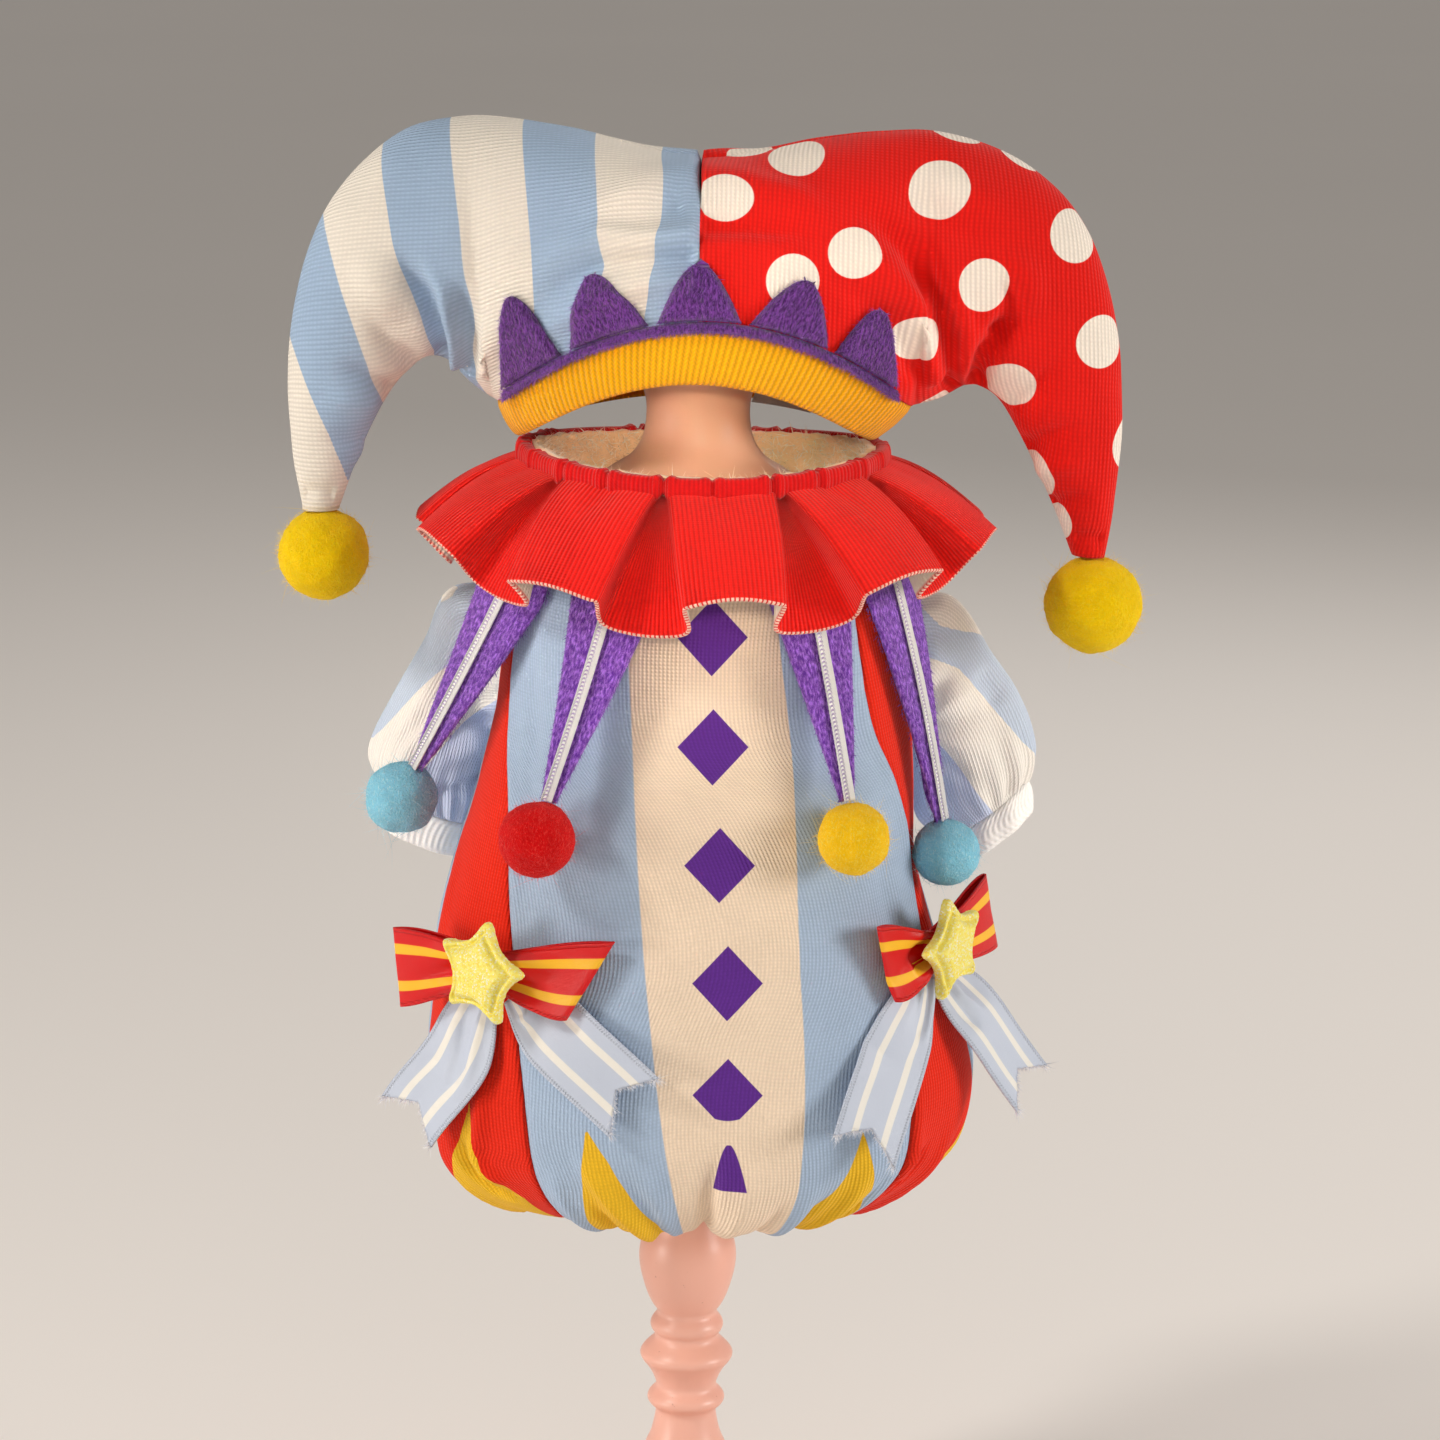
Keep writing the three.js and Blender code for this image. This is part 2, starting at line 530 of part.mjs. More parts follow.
for (const [name, side] of [['left', -1], ['right', 1]]) {
  const sections = sleeve_sections[name];
  const armhole = (grow) => sleeve_turns.map((turn) => armholeRing(side, turn, grow, SEAM + CLEAR));
  const outer = [armhole(KNIT + SEAM), ...sections.map((section) => sleeveRing(section, side, 0))];
  const inner = [armhole(SEAM), ...sections.map((section) => sleeveRing(section, side, KNIT))];
  piece(`sleeve_${name}`, wallBetween(outer, inner, true), 'light_blue');

  const wrist = sections.at(-1);
  const cuff = sleeve_cuffs[name];
  const rings = (inset) => [0, 0.5, 1].map((part) => sleeveRing(wrist, side, inset, {
    shift_x: mix(0, cuff.shift_x, part),
    shift_z: mix(-SEAM - CLEAR, cuff.shift_z, part),
  }));
  const wall = wallBetween(rings(SLEEVE_CUFF_INSET), rings(SLEEVE_CUFF_INSET + RIB), true);
  piece(`sleeve_cuff_${name}`, wall, 'cream');
}

// ------------------------------------------------------------------ neck: fleece, band and ruff
const fleeceSurface = (angle, drop) => {
  const place = oval(NECK, angle, NECKBAND.thick + SEAM + CLEAR);
  return place.setZ(place.z - drop);
};
piece('fleece_lining', cloth(fleeceSurface, () => roundColumns(28), [FLEECE_RISE, 14, FLEECE_DROP], FLEECE,
  { round: true }), 'cream');

const BAND_SIDES = 8;
const BAND_COLUMNS = 30;
const half_side = FULL_TURN / BAND_SIDES / 2;
const to_corner = 1 / Math.cos(radians(half_side));
const band_grid = roundColumns(BAND_COLUMNS).map((angle) => roundColumns(BAND_SIDES).map((turn) => {
  const out = Math.cos(radians(turn + half_side)) * to_corner * NECKBAND.thick / 2;
  const up = Math.sin(radians(turn + half_side)) * to_corner * NECKBAND.height / 2;
  const place = oval(NECK, angle, NECKBAND.thick / 2 - out);
  return place.setZ(place.z - NECKBAND.height / 2 + up);
}));
piece('neckband', ringSkin(band_grid), 'red_knit');

/** Middle of the ruff before pleating: part runs from 0 at the neck to 1 at the hem. */
function ruffBase(angle, part) {
  const top = oval(NECK, angle, RUFF.inset);
  top.z -= RUFF.drop;
  const hem = oval(RUFF_HEM, angle);
  const place = top.lerp(hem, part);
  place.z += RUFF.crown * Math.sin(Math.PI * part);
  return place;
}

/** Angle and lift at a corner of the pleated path; each pleat has eight corners, four of them on its face. */
const PLEAT_CORNERS = 8;
function pleatCorner(corner, part) {
  const count = pleats.length;
  const number = Math.floor(corner / PLEAT_CORNERS);
  const place = corner - number * PLEAT_CORNERS;
  const pleatAt = (which) => {
    const turns = Math.floor(which / count);
    const row = pleats[which - turns * count];
    return { ...row, centre: row.centre + turns * FULL_TURN };
  };
  const [before, here, next] = [pleatAt(number - 1), pleatAt(number), pleatAt(number + 1)];
  const fold_before = (before.centre + here.centre) / 2;
  const fold_after = (here.centre + next.centre) / 2;
  const open = Math.max(part, 0) ** RUFF.opening;
  const edgeOf = (row, fold, way) => mix(fold - way * RUFF.neck_fold, row.centre + way * row.half, open);
  const left = edgeOf(here, fold_before, -1);
  const right = edgeOf(here, fold_after, 1);
  const next_left = edgeOf(next, fold_after, -1);
  const lift = mix(RUFF.neck_lift, here.lift, open);
  const tuck = RUFF.tuck * part;
  const corners = [
    [left, lift],
    [mix(left, right, 0.25), lift * 1.12],
    [mix(left, right, 0.5), lift * 1.18],
    [mix(left, right, 0.75), lift * 1.12],
    [right, lift],
    [right - tuck, -lift],
    [fold_after, -lift * 1.15],
    [next_left + tuck, -lift],
  ];
  return corners[place];
}

/** Pleated ruff; u counts corners of the pleated path and v runs from neck to hem. */
function ruffSurface(u, v) {
  const low = Math.floor(u + 1e-9);
  const [from, to] = [pleatCorner(low, v), pleatCorner(low + 1, v)];
  const angle = mix(from[0], to[0], u - low);
  const lift = mix(from[1], to[1], u - low);
  return ruffBase(angle, v).addScaledVector(normalOf(ruffBase, angle, v), lift);
}
const ruff_corners = pleats.length * PLEAT_CORNERS;
const ruff_columns = steps(ruff_corners, 0, ruff_corners).slice(0, -1);
const ruff_option = { round: true, out: RUFF_CLOTH / 2 };
piece('ruff', cloth(ruffSurface, () => ruff_columns, steps(4), RUFF_CLOTH, ruff_option), 'red_knit');

// ------------------------------------------------------------------ plush points, braid and pompoms
/** Moves a point straight out from the axis until it is at least a gap outside the garment. */
function keepOff(point, gap) {
  const row = bodyRow(point.z);
  const side = point.x < 0 ? -1 : 1;
  const bearing = (at) => Math.atan2(Math.abs(at.x), -at.y);
  const angle = halve(0, 180, (middle) => bearing(bodySurface(side * middle, row)) < bearing(point));
  const skin = bodySurface(side * angle, row);
  const need = (Math.hypot(skin.x, skin.y) + gap) / Math.hypot(point.x, point.y);
  return need > 1 ? point.multiply(vector(need, need, 1)) : point;
}

function ball(name, place, radius, paint) {
  const mesh = piece(name, new THREE.IcosahedronGeometry(radius, POMPOM_DETAIL), paint);
  mesh.position.copy(place);
}

/** Half width of a plush point: narrow where it is gathered into the neck seam, then tapering to its tip. */
function spikeHalf(part) {
  const gather = mix(SPIKE.waist, 1, Math.min(part / SPIKE.waist_end, 1));
  return gather * mix(SPIKE.half_top, SPIKE.half_tip, part);
}

const spike_balls = ['blue_felt', 'red_felt', 'orange_felt', 'blue_felt'];
spikes.forEach((spike, order) => {
  const start = lifted(bodySurface, spike.angle, bodyRow(SPIKE.start_z), SPIKE.thick / 2 + SPIKE.seat);
  const tip = vector(...spike.tip);
  const facing = vector(Math.sin(radians(spike.turn)), -Math.cos(radians(spike.turn)), 0);
  const run = tip.clone().sub(start);
  const sideways = vector().crossVectors(run, facing).normalize().negate();
  const face = vector().crossVectors(sideways, run).normalize();
  if (face.dot(facing) < 0) face.negate();
  const surface = (across, part) => {
    const belly = Math.sin(Math.PI * part);
    const point = start.clone().addScaledVector(run, part)
      .addScaledVector(sideways, across * spikeHalf(part) + spike.bow * belly)
      .addScaledVector(face, SPIKE.swell * belly - SPIKE.curl * across * across * (1 - part));
    return keepOff(point, SPIKE.thick / 2 + SPIKE.clear);
  };
  const slab = (half_width, low, high, rows, columns) => {
    const row_at = (part, height) => steps(columns, -half_width(part), half_width(part))
      .map((across) => surface(across, part).addScaledVector(face, height));
    const grid = (height) => steps(rows).map((part) => row_at(part, height));
    return wallBetween(grid(high), grid(low), false);
  };
  const whole = () => 1;
  piece(`spike_${order + 1}`, slab(whole, -SPIKE.thick / 2, SPIKE.thick / 2, SPIKE.rows, 2), 'purple_plush');
  const braidHalf = (part) => BRAID.width / 2 / spikeHalf(part);
  const braid_low = SPIKE.thick / 2 + SEAM + CLEAR;
  piece(`braid_${order + 1}`, slab(braidHalf, braid_low, braid_low + BRAID.thick, SPIKE.rows, 1),
    'white_braid');
  const hang = run.clone().normalize().multiplyScalar(spike.ball + SEAM + CLEAR);
  ball(`pompom_${order + 1}`, tip.clone().add(hang), spike.ball, spike_balls[order]);
});

// ------------------------------------------------------------------ bows
/** Star with rounded points and notches, flat side down, as a padded slab. */
function starGeometry(spin) {
  const shape = new THREE.Shape();
  const corners = roundColumns(10).map((angle, i) => {
    const radius = i % 2 ? STAR.inner : STAR.outer;
    const turn = radians(angle + 90 + spin);
    return new THREE.Vector2(Math.cos(turn) * radius, Math.sin(turn) * radius);
  });
  corners.forEach((corner, i) => {
    const before = corners[(i + 9) % 10];
    const after = corners[(i + 1) % 10];
    const enter = corner.clone().lerp(before, STAR.roundness / 2);
    const leave = corner.clone().lerp(after, STAR.roundness / 2);
    if (i === 0) shape.moveTo(enter.x, enter.y);
    else shape.lineTo(enter.x, enter.y);
    shape.quadraticCurveTo(corner.x, corner.y, leave.x, leave.y);
  });
  shape.closePath();
  return new THREE.ExtrudeGeometry(shape, {
    depth: STAR.thick, curveSegments: 2, bevelEnabled: true, bevelSize: STAR.bevel,
    bevelThickness: STAR.bevel, bevelSegments: 1,
  });
}

for (const [bow_name, bow] of Object.entries(bows)) {
  const outOf = (turn) => vector(Math.sin(radians(turn)), -Math.cos(radians(turn)), 0);
  const sideOf = (turn) => vector(Math.cos(radians(turn)), Math.sin(radians(turn)), 0);
  const up = vector(0, 0, 1);
  const middle = bodySurface(bow.angle, bodyRow(bow.z));
  const place = (across, height, forward, turn = bow.turn) => middle.clone()
    .addScaledVector(sideOf(turn), across)
    .addScaledVector(up, height)
    .addScaledVector(outOf(bow.turn), forward);

  for (const [loop_name, loop] of Object.entries(bow.loops)) {
    const way = loop_name === 'left' ? -1 : 1;
    // the ribbon runs out in front, turns at the outer end and comes back behind
    const path = (turn) => {
      const spread = Math.max(Math.sin(Math.PI * turn), 0);
      const reach = mix(LOOP.start, loop.reach, spread ** LOOP.fullness);
      const forward = mix(LOOP.front, LOOP.back, turn) + LOOP.bulge * Math.sin(2 * Math.PI * turn);
      return { reach, forward, spread };
    };
    const surface = (height_part, turn) => {
      const { reach, forward, spread } = path(turn);
      const half = mix(LOOP.pinch, RIBBON_WIDTH / 2, Math.sin(Math.PI / 2 * spread));
      const across = way * reach * (1 + loop.lean * height_part * spread);
      return keepOff(place(across, height_part * half + loop.rise * spread, forward, loop.turn), forward);
    };
    const option = { out: way > 0 ? 0 : RIBBON };
    const geometry = cloth((u, v) => surface(u, v), () => steps(2, -1, 1), steps(10), RIBBON, option);
    piece(`bow_${bow_name}_loop_${loop_name}`, geometry, 'red_satin');
  }

  for (const [tail_name, tail] of Object.entries(bow.tails)) {
    const way = tail_name === 'left' ? -1 : 1;
    const start = place(way * TAIL.spacing + bow.tail_shift, -TAIL.start, TAIL.clear);
    const end = vector(...tail.end);
    const run = end.clone().sub(start);
    const facing = vector(Math.sin(radians(tail.turn)), -Math.cos(radians(tail.turn)), 0);
    const sideways = vector().crossVectors(run, facing).normalize();
    const face = vector().crossVectors(sideways, run).normalize().multiplyScalar(-1);
    if (face.dot(facing) < 0) face.negate();
    const length = run.length();
    const surface = (across, part) => {
      const half = mix(TAIL.pinch, RIBBON_WIDTH / 2, Math.min(part * TAIL.widen, 1));
      const late = Math.max(part - TAIL.notch_from, 0) / (1 - TAIL.notch_from);
      const notch = TAIL.notch / length * late * (0.5 - Math.abs(across));
      const swell = TAIL.swell * Math.sin(Math.PI * part) ** 2;
      const point = start.clone().addScaledVector(run, part - notch)
        .addScaledVector(sideways, across * half)
        .addScaledVector(face, swell);
      return keepOff(point, TAIL.clear);
    };
    const grid = (height) => steps(TAIL.rows).map((part) => steps(2, -1, 1)
      .map((across) => surface(across, part).addScaledVector(face, height)));
    piece(`bow_${bow_name}_tail_${tail_name}`, wallBetween(grid(RIBBON), grid(0), false), 'blue_satin');
  }

  const star = piece(`bow_${bow_name}_star`, starGeometry(bow.star_spin), 'glitter');
  star.setRotationFromMatrix(new THREE.Matrix4().makeBasis(sideOf(bow.turn), up, outOf(bow.turn)));
  star.position.copy(place(0, 0, bow.star_lift + STAR.bevel));
}

// ------------------------------------------------------------------ hat
const band_rows = hat_sections.left.slice(0, LAST_BAND_ROW + 1);
const band_places = steps(2 * LAST_BAND_ROW, 0, LAST_BAND_ROW);
const quarter_angles = band_places.map((row) => along(band_rows, 'angle', row));
const cuff_columns = [
  ...quarter_angles.slice(0, -1),
  ...quarter_angles.slice(1).reverse().map((angle) => 180 - angle),
  ...quarter_angles.slice(0, -1).map((angle) => 180 + angle),
  ...quarter_angles.slice(1).reverse().map((angle) => FULL_TURN - angle),
];
const cuffSurface = (angle, part) => oval(CUFF_TOP, angle).lerp(oval(CUFF_HEM, angle), part);
piece('hat_cuff', cloth(cuffSurface, () => cuff_columns, steps(2), RIB, { round: true }), 'yellow_rib');
piece('hat_tape', cloth(cuffSurface, () => steps(3, TAPE.from, TAPE.to), [TAPE.top, TAPE.bottom], TAPE.thick,
  { out: -RIB - SEAM - CLEAR }), 'cream');

/**
 * Outer face of a hat panel. row counts its sections from the middle seam, rise runs from 0 at the lower edge
 * to 1 at the top outline; side is -1 for the left horn, ahead is 1 for the front panel.
 */
function hatPoint(side, ahead, row, rise) {
  const sections = hat_sections[side < 0 ? 'left' : 'right'];
  const top = vector(side * along(sections, 'up_x', row), 0, along(sections, 'up_z', row));
  let low;
  const horn_rows = sections.slice(LAST_BAND_ROW + 1);
  const band_end = oval(CUFF_TOP, side * 90);
  if (row <= LAST_BAND_ROW) {
    const angle = along(band_rows, 'angle', Math.max(row, 0));
    low = oval(CUFF_TOP, ahead > 0 ? side * angle : side * (180 - angle));
  } else {
    const under = [{ low_x: side * band_end.x, low_z: band_end.z }, ...horn_rows];
    const past = row - LAST_BAND_ROW;
    low = vector(side * along(under, 'low_x', past), 0, along(under, 'low_z', past));
  }
  low.z += SEAM + CLEAR;
  const edge = Math.abs(low.y);
  const horn = 1 - edge / CUFF_TOP.half_y;
  const dome = Math.sin(Math.PI / 2 * rise);
  const roll = (1 - Math.cos(Math.PI * rise)) / 2;
  const lift = mix(dome, roll, horn);
  const bulge = along(sections, 'bulge', row) * Math.sin(Math.PI * rise);
  const depth = edge * Math.cos(Math.PI / 2 * rise) + bulge;
  return vector(mix(low.x, top.x, lift), -ahead * depth, mix(low.z, top.z, lift));
}

const hat_rises = steps(5, 1, 0);
for (const [side_name, side] of [['left', -1], ['right', 1]]) {
  for (const [face_name, ahead] of [['front', 1], ['back', -1]]) {
    const last_row = hat_sections[side_name].length - 1;
    const rows = [...band_places, ...steps(last_row - LAST_BAND_ROW - 1, LAST_BAND_ROW + 1, last_row)];
    const way = side * ahead;
    const surface = (row, rise_down) => hatPoint(side, ahead, row, 1 - rise_down);
    const held = (point) => {
      point.y = -ahead * Math.max(-ahead * point.y, SEAM / 2);
      point.x = side * Math.max(side * point.x, SEAM / 2);
      return point;
    };
    const grid = (height) => hat_rises.map((rise) => rows.map((row) => {
      const safe_rise = Math.min(Math.max(rise, EDGE_STEP), 1 - EDGE_STEP);
      const safe_row = Math.min(Math.max(row, EDGE_STEP), last_row - EDGE_STEP);
      const normal = normalOf(surface, safe_row, 1 - safe_rise).multiplyScalar(way);
      return held(hatPoint(side, ahead, row, rise).addScaledVector(normal, height));
    }));
    const paint = side < 0 ? 'light_blue' : 'red_knit';
    piece(`hat_${side_name}_${face_name}`, wallBetween(grid(0), grid(-HAT_KNIT), false), paint);
  }
}
for (const { name, at, radius } of hat_balls) ball(name, vector(...at), radius, 'yellow_felt');

/** Front of the hat at a distance across and a height, lifted off the cloth. */
function hatFront(x, z, out) {
  const side = x < 0 ? -1 : 1;
  const rowAt = (rise) => halve(0, 9, (row) => side * hatPoint(side, 1, row, rise).x < Math.abs(x));
  const rise = halve(0, 0.9, (middle) => hatPoint(side, 1, rowAt(middle), middle).z < z);
  const surface = (row, down) => hatPoint(side, 1, row, 1 - down);
  const row = Math.max(rowAt(rise), EDGE_STEP);
  const normal = normalOf(surface, row, 1 - Math.max(rise, EDGE_STEP)).multiplyScalar(side);
  return hatPoint(side, 1, row, rise).addScaledVector(normal, out);
}

const bandTop = (x) => {
  const across = (x - CUFF_TOP.x) / CUFF_TOP.half_x;
  return CUFF_TOP.z + CUFF_TOP.arch_front * (1 - across * across);
};
const crownSlab = (thick, rows, columns, placeAt) => {
  const grid = (out) => rows.map((row) => columns.map((column) => {
    const { x, z } = placeAt(column, row);
    return hatFront(x, z, out);
  }));
  return wallBetween(grid(CROWN.lift + thick), grid(CROWN.lift), false);
};
const crown_band_places = steps(20, -CROWN.band_reach, CROWN.band_reach);
piece('crown_band', crownSlab(CROWN.band_thick, [CROWN.band_height, CROWN.band_start], crown_band_places,
  (x, height) => ({ x, z: bandTop(x) + height })), 'purple_plush');
crown_points.forEach((point, order) => {
  const placeAt = (across, part) => {
    const half = Math.max((point.to - point.from) / 2 * (1 - part ** CROWN.fullness), CROWN.tip_half);
    const x = mix((point.from + point.to) / 2, point.tip_x, part) + across * half;
    const base = bandTop(x) + CROWN.band_height + SEAM;
    const tip_base = bandTop(point.tip_x) + CROWN.band_height + SEAM;
    return { x, z: base + (point.tip_z - tip_base) * part };
  };
  piece(`crown_point_${order + 1}`, crownSlab(CROWN.thick, steps(5, 1, 0), steps(4, -1, 1), placeAt),
    'purple_plush');
});

export default costume;
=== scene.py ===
"""Looks of the pet clown costume on its dress form stand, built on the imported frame.

Every cloth piece is a fine thin shell on its solid's form, with folds, ribs and nap of its own.
Sizes are in millimetres until a mesh is made; +Z is up, +X the viewer's right, -Y towards the viewer.
"""
import math
import bmesh
import bpy
import numpy as np
from mathutils import Matrix, Vector, noise


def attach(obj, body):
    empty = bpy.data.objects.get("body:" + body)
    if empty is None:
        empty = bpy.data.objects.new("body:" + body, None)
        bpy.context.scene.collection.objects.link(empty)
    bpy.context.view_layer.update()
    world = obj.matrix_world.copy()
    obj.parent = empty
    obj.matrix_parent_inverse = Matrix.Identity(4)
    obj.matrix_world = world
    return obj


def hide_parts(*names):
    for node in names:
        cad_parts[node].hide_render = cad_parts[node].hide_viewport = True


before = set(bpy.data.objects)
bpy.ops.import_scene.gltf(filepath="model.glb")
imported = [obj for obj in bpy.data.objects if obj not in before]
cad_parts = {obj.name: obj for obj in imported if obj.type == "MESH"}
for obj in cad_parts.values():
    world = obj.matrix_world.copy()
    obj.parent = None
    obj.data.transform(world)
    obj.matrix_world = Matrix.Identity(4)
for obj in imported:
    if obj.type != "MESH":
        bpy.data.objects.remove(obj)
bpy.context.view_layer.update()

MM = 0.001
FULL_TURN = 360.0
SEAM = 0.3            # space between panels at a seam
KNIT, HAT_KNIT, SLEEVE_KNIT = 1.5, 1.6, 1.2


# ------------------------------------------------------------------ number helpers
def mix(a, b, t):
    return a + (b - a) * t


def smooth(t):
    t = np.clip(t, 0.0, 1.0)
    return t * t * (3 - 2 * t)


def bump(distance, width):
    """Soft ridge of height 1 that is about two widths wide."""
    return np.exp(-(np.asarray(distance) / width) ** 2)


def unit(vectors):
    return vectors / np.maximum(np.linalg.norm(vectors, axis=-1, keepdims=True), 1e-9)


def along(table, at):
    """Smooth rows of a table at row numbers that may lie between rows."""
    table = np.asarray(table, float)
    last = len(table) - 1
    at = np.asarray(at, float)
    low = np.clip(np.floor(at), 0, last - 1).astype(int)
    part = (at - low).reshape(at.shape + (1,) * (table.ndim - 1))
    before, here, after, beyond = (table[np.clip(low + k, 0, last)] for k in (-1, 0, 1, 2))
    pull, push = (after - before) / 2, (beyond - here) / 2
    square, cube = part ** 2, part ** 3
    return ((2 * cube - 3 * square + 1) * here + (cube - 2 * square + part) * pull
            + (3 * square - 2 * cube) * after + (cube - square) * push)


def running(steps, axis=0):
    """Running totals of steps along an axis, starting from 0."""
    return np.concatenate([np.zeros_like(np.take(steps, [0], axis)), np.cumsum(steps, axis=axis)], axis=axis)


def sines(angle):
    turn = np.radians(angle)
    return np.sin(turn), np.cos(turn)


def point(x, y, z):
    return np.stack(np.broadcast_arrays(x, y, z), axis=-1).astype(float)


def halve(low, high, still_before, times=26):
    """Largest value of each cell for which still_before holds."""
    low, high = np.array(low, float), np.array(high, float)
    for _ in range(times):
        middle = (low + high) / 2
        before = still_before(middle)
        low, high = np.where(before, middle, low), np.where(before, high, middle)
    return low


def normals_of(grid, wrap=False):
    """Outward unit normals of a grid whose rows run down and whose columns run from the front to +X."""
    if wrap:
        across = np.roll(grid, -1, 1) - np.roll(grid, 1, 1)
    else:
        across = np.gradient(grid, axis=1)
    return unit(np.cross(np.gradient(grid, axis=0), across))


def raised(grid, height, wrap=False):
    """Grid moved out along its normals."""
    return grid + normals_of(grid, wrap) * np.asarray(height)[..., None]


def even_rows(path, low, high, spacing):
    """Row numbers from low to high that are evenly spaced along a path of points."""
    rows = np.linspace(low, high, 400)
    places = path(rows)
    length = running(np.linalg.norm(np.diff(places, axis=0), axis=1))
    count = max(int(round(length[-1] / spacing)), 2)
    return np.interp(np.linspace(0, length[-1], count + 1), length, rows)


def rough(points, size, seed=0.0, octaves=1):
    """Smooth noise from -1 to 1 at points, with bumps of about a size in millimetres."""
    places = [Vector(place / size + seed) for place in points.reshape(-1, 3)]
    if octaves > 1:
        values = [noise.fractal(place, 1.0, 2.0, octaves) for place in places]
    else:
        values = [noise.noise(place) for place in places]
    return np.array(values).reshape(points.shape[:-1])


# ------------------------------------------------------------------ garment surface
# Section rows from neck to hem: height; half widths left, right, front and back; how far the row follows the
# neckline's dip; the front panel's seams, in degrees from the front.
BODY = np.array([
    [377, 53.6, 57.2, 44.6, 44.6, 1, 64, 50],
    [352, 56.5, 60.8, 48.7, 48, 0.5, 66, 50],
    [328, 59.5, 64.8, 52.5, 51, 0, 68, 50],
    [305, 61.9, 67.6, 56, 53, 0, 66, 53],
    [282, 67.5, 69, 58.5, 55, 0, 55, 67],
    [258, 74.5, 70, 60.5, 57, 0, 47, 75],
    [236, 80, 76, 63, 59, 0, 41, 71],
    [212, 82.5, 85, 65, 61, 0, 38, 55],
    [188, 84.2, 91, 66, 62, 0, 35, 48],
    [168, 81.5, 86.5, 63, 60, 0, 34, 49],
    [153.5, 70, 72, 56, 52, 0, 35, 50],
    [147.6, 55, 57, 46, 42, 0, 40, 51],
    [153, 41, 43, 34, 34, 0, 44, 51],
    [159, 33, 35, 28, 28, 0, 44, 51],
])
Z, LEFT, RIGHT, FRONT, BACK, SAG, SEAM_LEFT, SEAM_RIGHT = range(8)
BOTTOM_ROW = 11
SQUARENESS = 2.2
NECK = dict(x=1.8, half_x=57.4, half_y=46.5, z=388.5, front=-3.7, back=-2.5)
BACK_SEAM = 150.0

# Folds that gather the garment into its hem: angle, width in degrees, depth, strongest row, reach in rows.
HEM_FOLDS = [
    (0, 7, -3.2, 11.5, 3), (16, 8, 1.8, 11, 3), (-14, 8, 1.6, 11, 3), (-38, 6, -2.4, 11.5, 3.5),
    (-62, 9, 2.6, 10, 3), (34, 6, -2.2, 11.5, 3), (60, 8, -2, 11.5, 4), (86, 9, -2.6, 11.5, 4),
    (-86, 8, -2.6, 11.5, 4), (122, 8, -2.4, 11.5, 4), (-122, 8, -2.4, 11.5, 4), (180, 8, -2.6, 11.5, 4),
]


def hem_folds(angle, row):
    depth = 0.0
    for place, width, deep, peak, reach in HEM_FOLDS:
        away = (angle - place + 540) % FULL_TURN - 180
        depth = depth + deep * bump(away, width) * bump(row - peak, reach)
    return depth


def body_surface(angle, row):
    """Outer face of the garment at angles from the front and rows of its section table."""
    angle, row = np.broadcast_arrays(np.asarray(angle, float), np.asarray(row, float))
    across, ahead = sines(angle)
    power = 2 / SQUARENESS
    section = along(BODY, row)
    fold = hem_folds(angle, row)
    half_x = np.where(across < 0, section[..., LEFT], section[..., RIGHT]) + fold
    half_y = np.where(ahead > 0, section[..., FRONT], section[..., BACK]) + fold
    dip = np.where(ahead > 0, -NECK["front"], -NECK["back"]) * ahead ** 2 * section[..., SAG]
    return point(np.sign(across) * np.abs(across) ** power * half_x,
                 -np.sign(ahead) * np.abs(ahead) ** power * half_y, section[..., Z] - dip)


def body_row(height):
    """Row of the garment's section table at a height."""
    rows = np.linspace(0, BOTTOM_ROW, 900)
    return np.interp(-np.asarray(height, float), -along(BODY[:, Z], rows), rows)


def keep_off(points, gap):
    """Moves points straight out from the axis until they are a gap outside the garment."""
    side = np.where(points[..., 0] < 0, -1.0, 1.0)
    row = body_row(points[..., 2])
    bearing = np.arctan2(np.abs(points[..., 0]), -points[..., 1])

    def short(middle):
        skin = body_surface(side * middle, row)
        return np.arctan2(np.abs(skin[..., 0]), -skin[..., 1]) < bearing
    angle = halve(np.zeros(bearing.shape), np.full(bearing.shape, 180.0), short)
    skin = body_surface(side * angle, row)
    need = (np.hypot(skin[..., 0], skin[..., 1]) + gap) / np.hypot(points[..., 0], points[..., 1])
    scale = np.maximum(need, 1.0)
    return points * point(scale, scale, 1.0)


def oval(ring, angle, inset=0.0):
    """Places on an oval ring whose height changes towards its front and its back."""
    across, ahead = sines(angle)
    rise = np.where(ahead > 0, ring["front"], ring["back"])
    return point(ring["x"] + (ring["half_x"] - inset) * across, -(ring["half_y"] - inset) * ahead,
                 ring["z"] + rise * ahead ** 2)


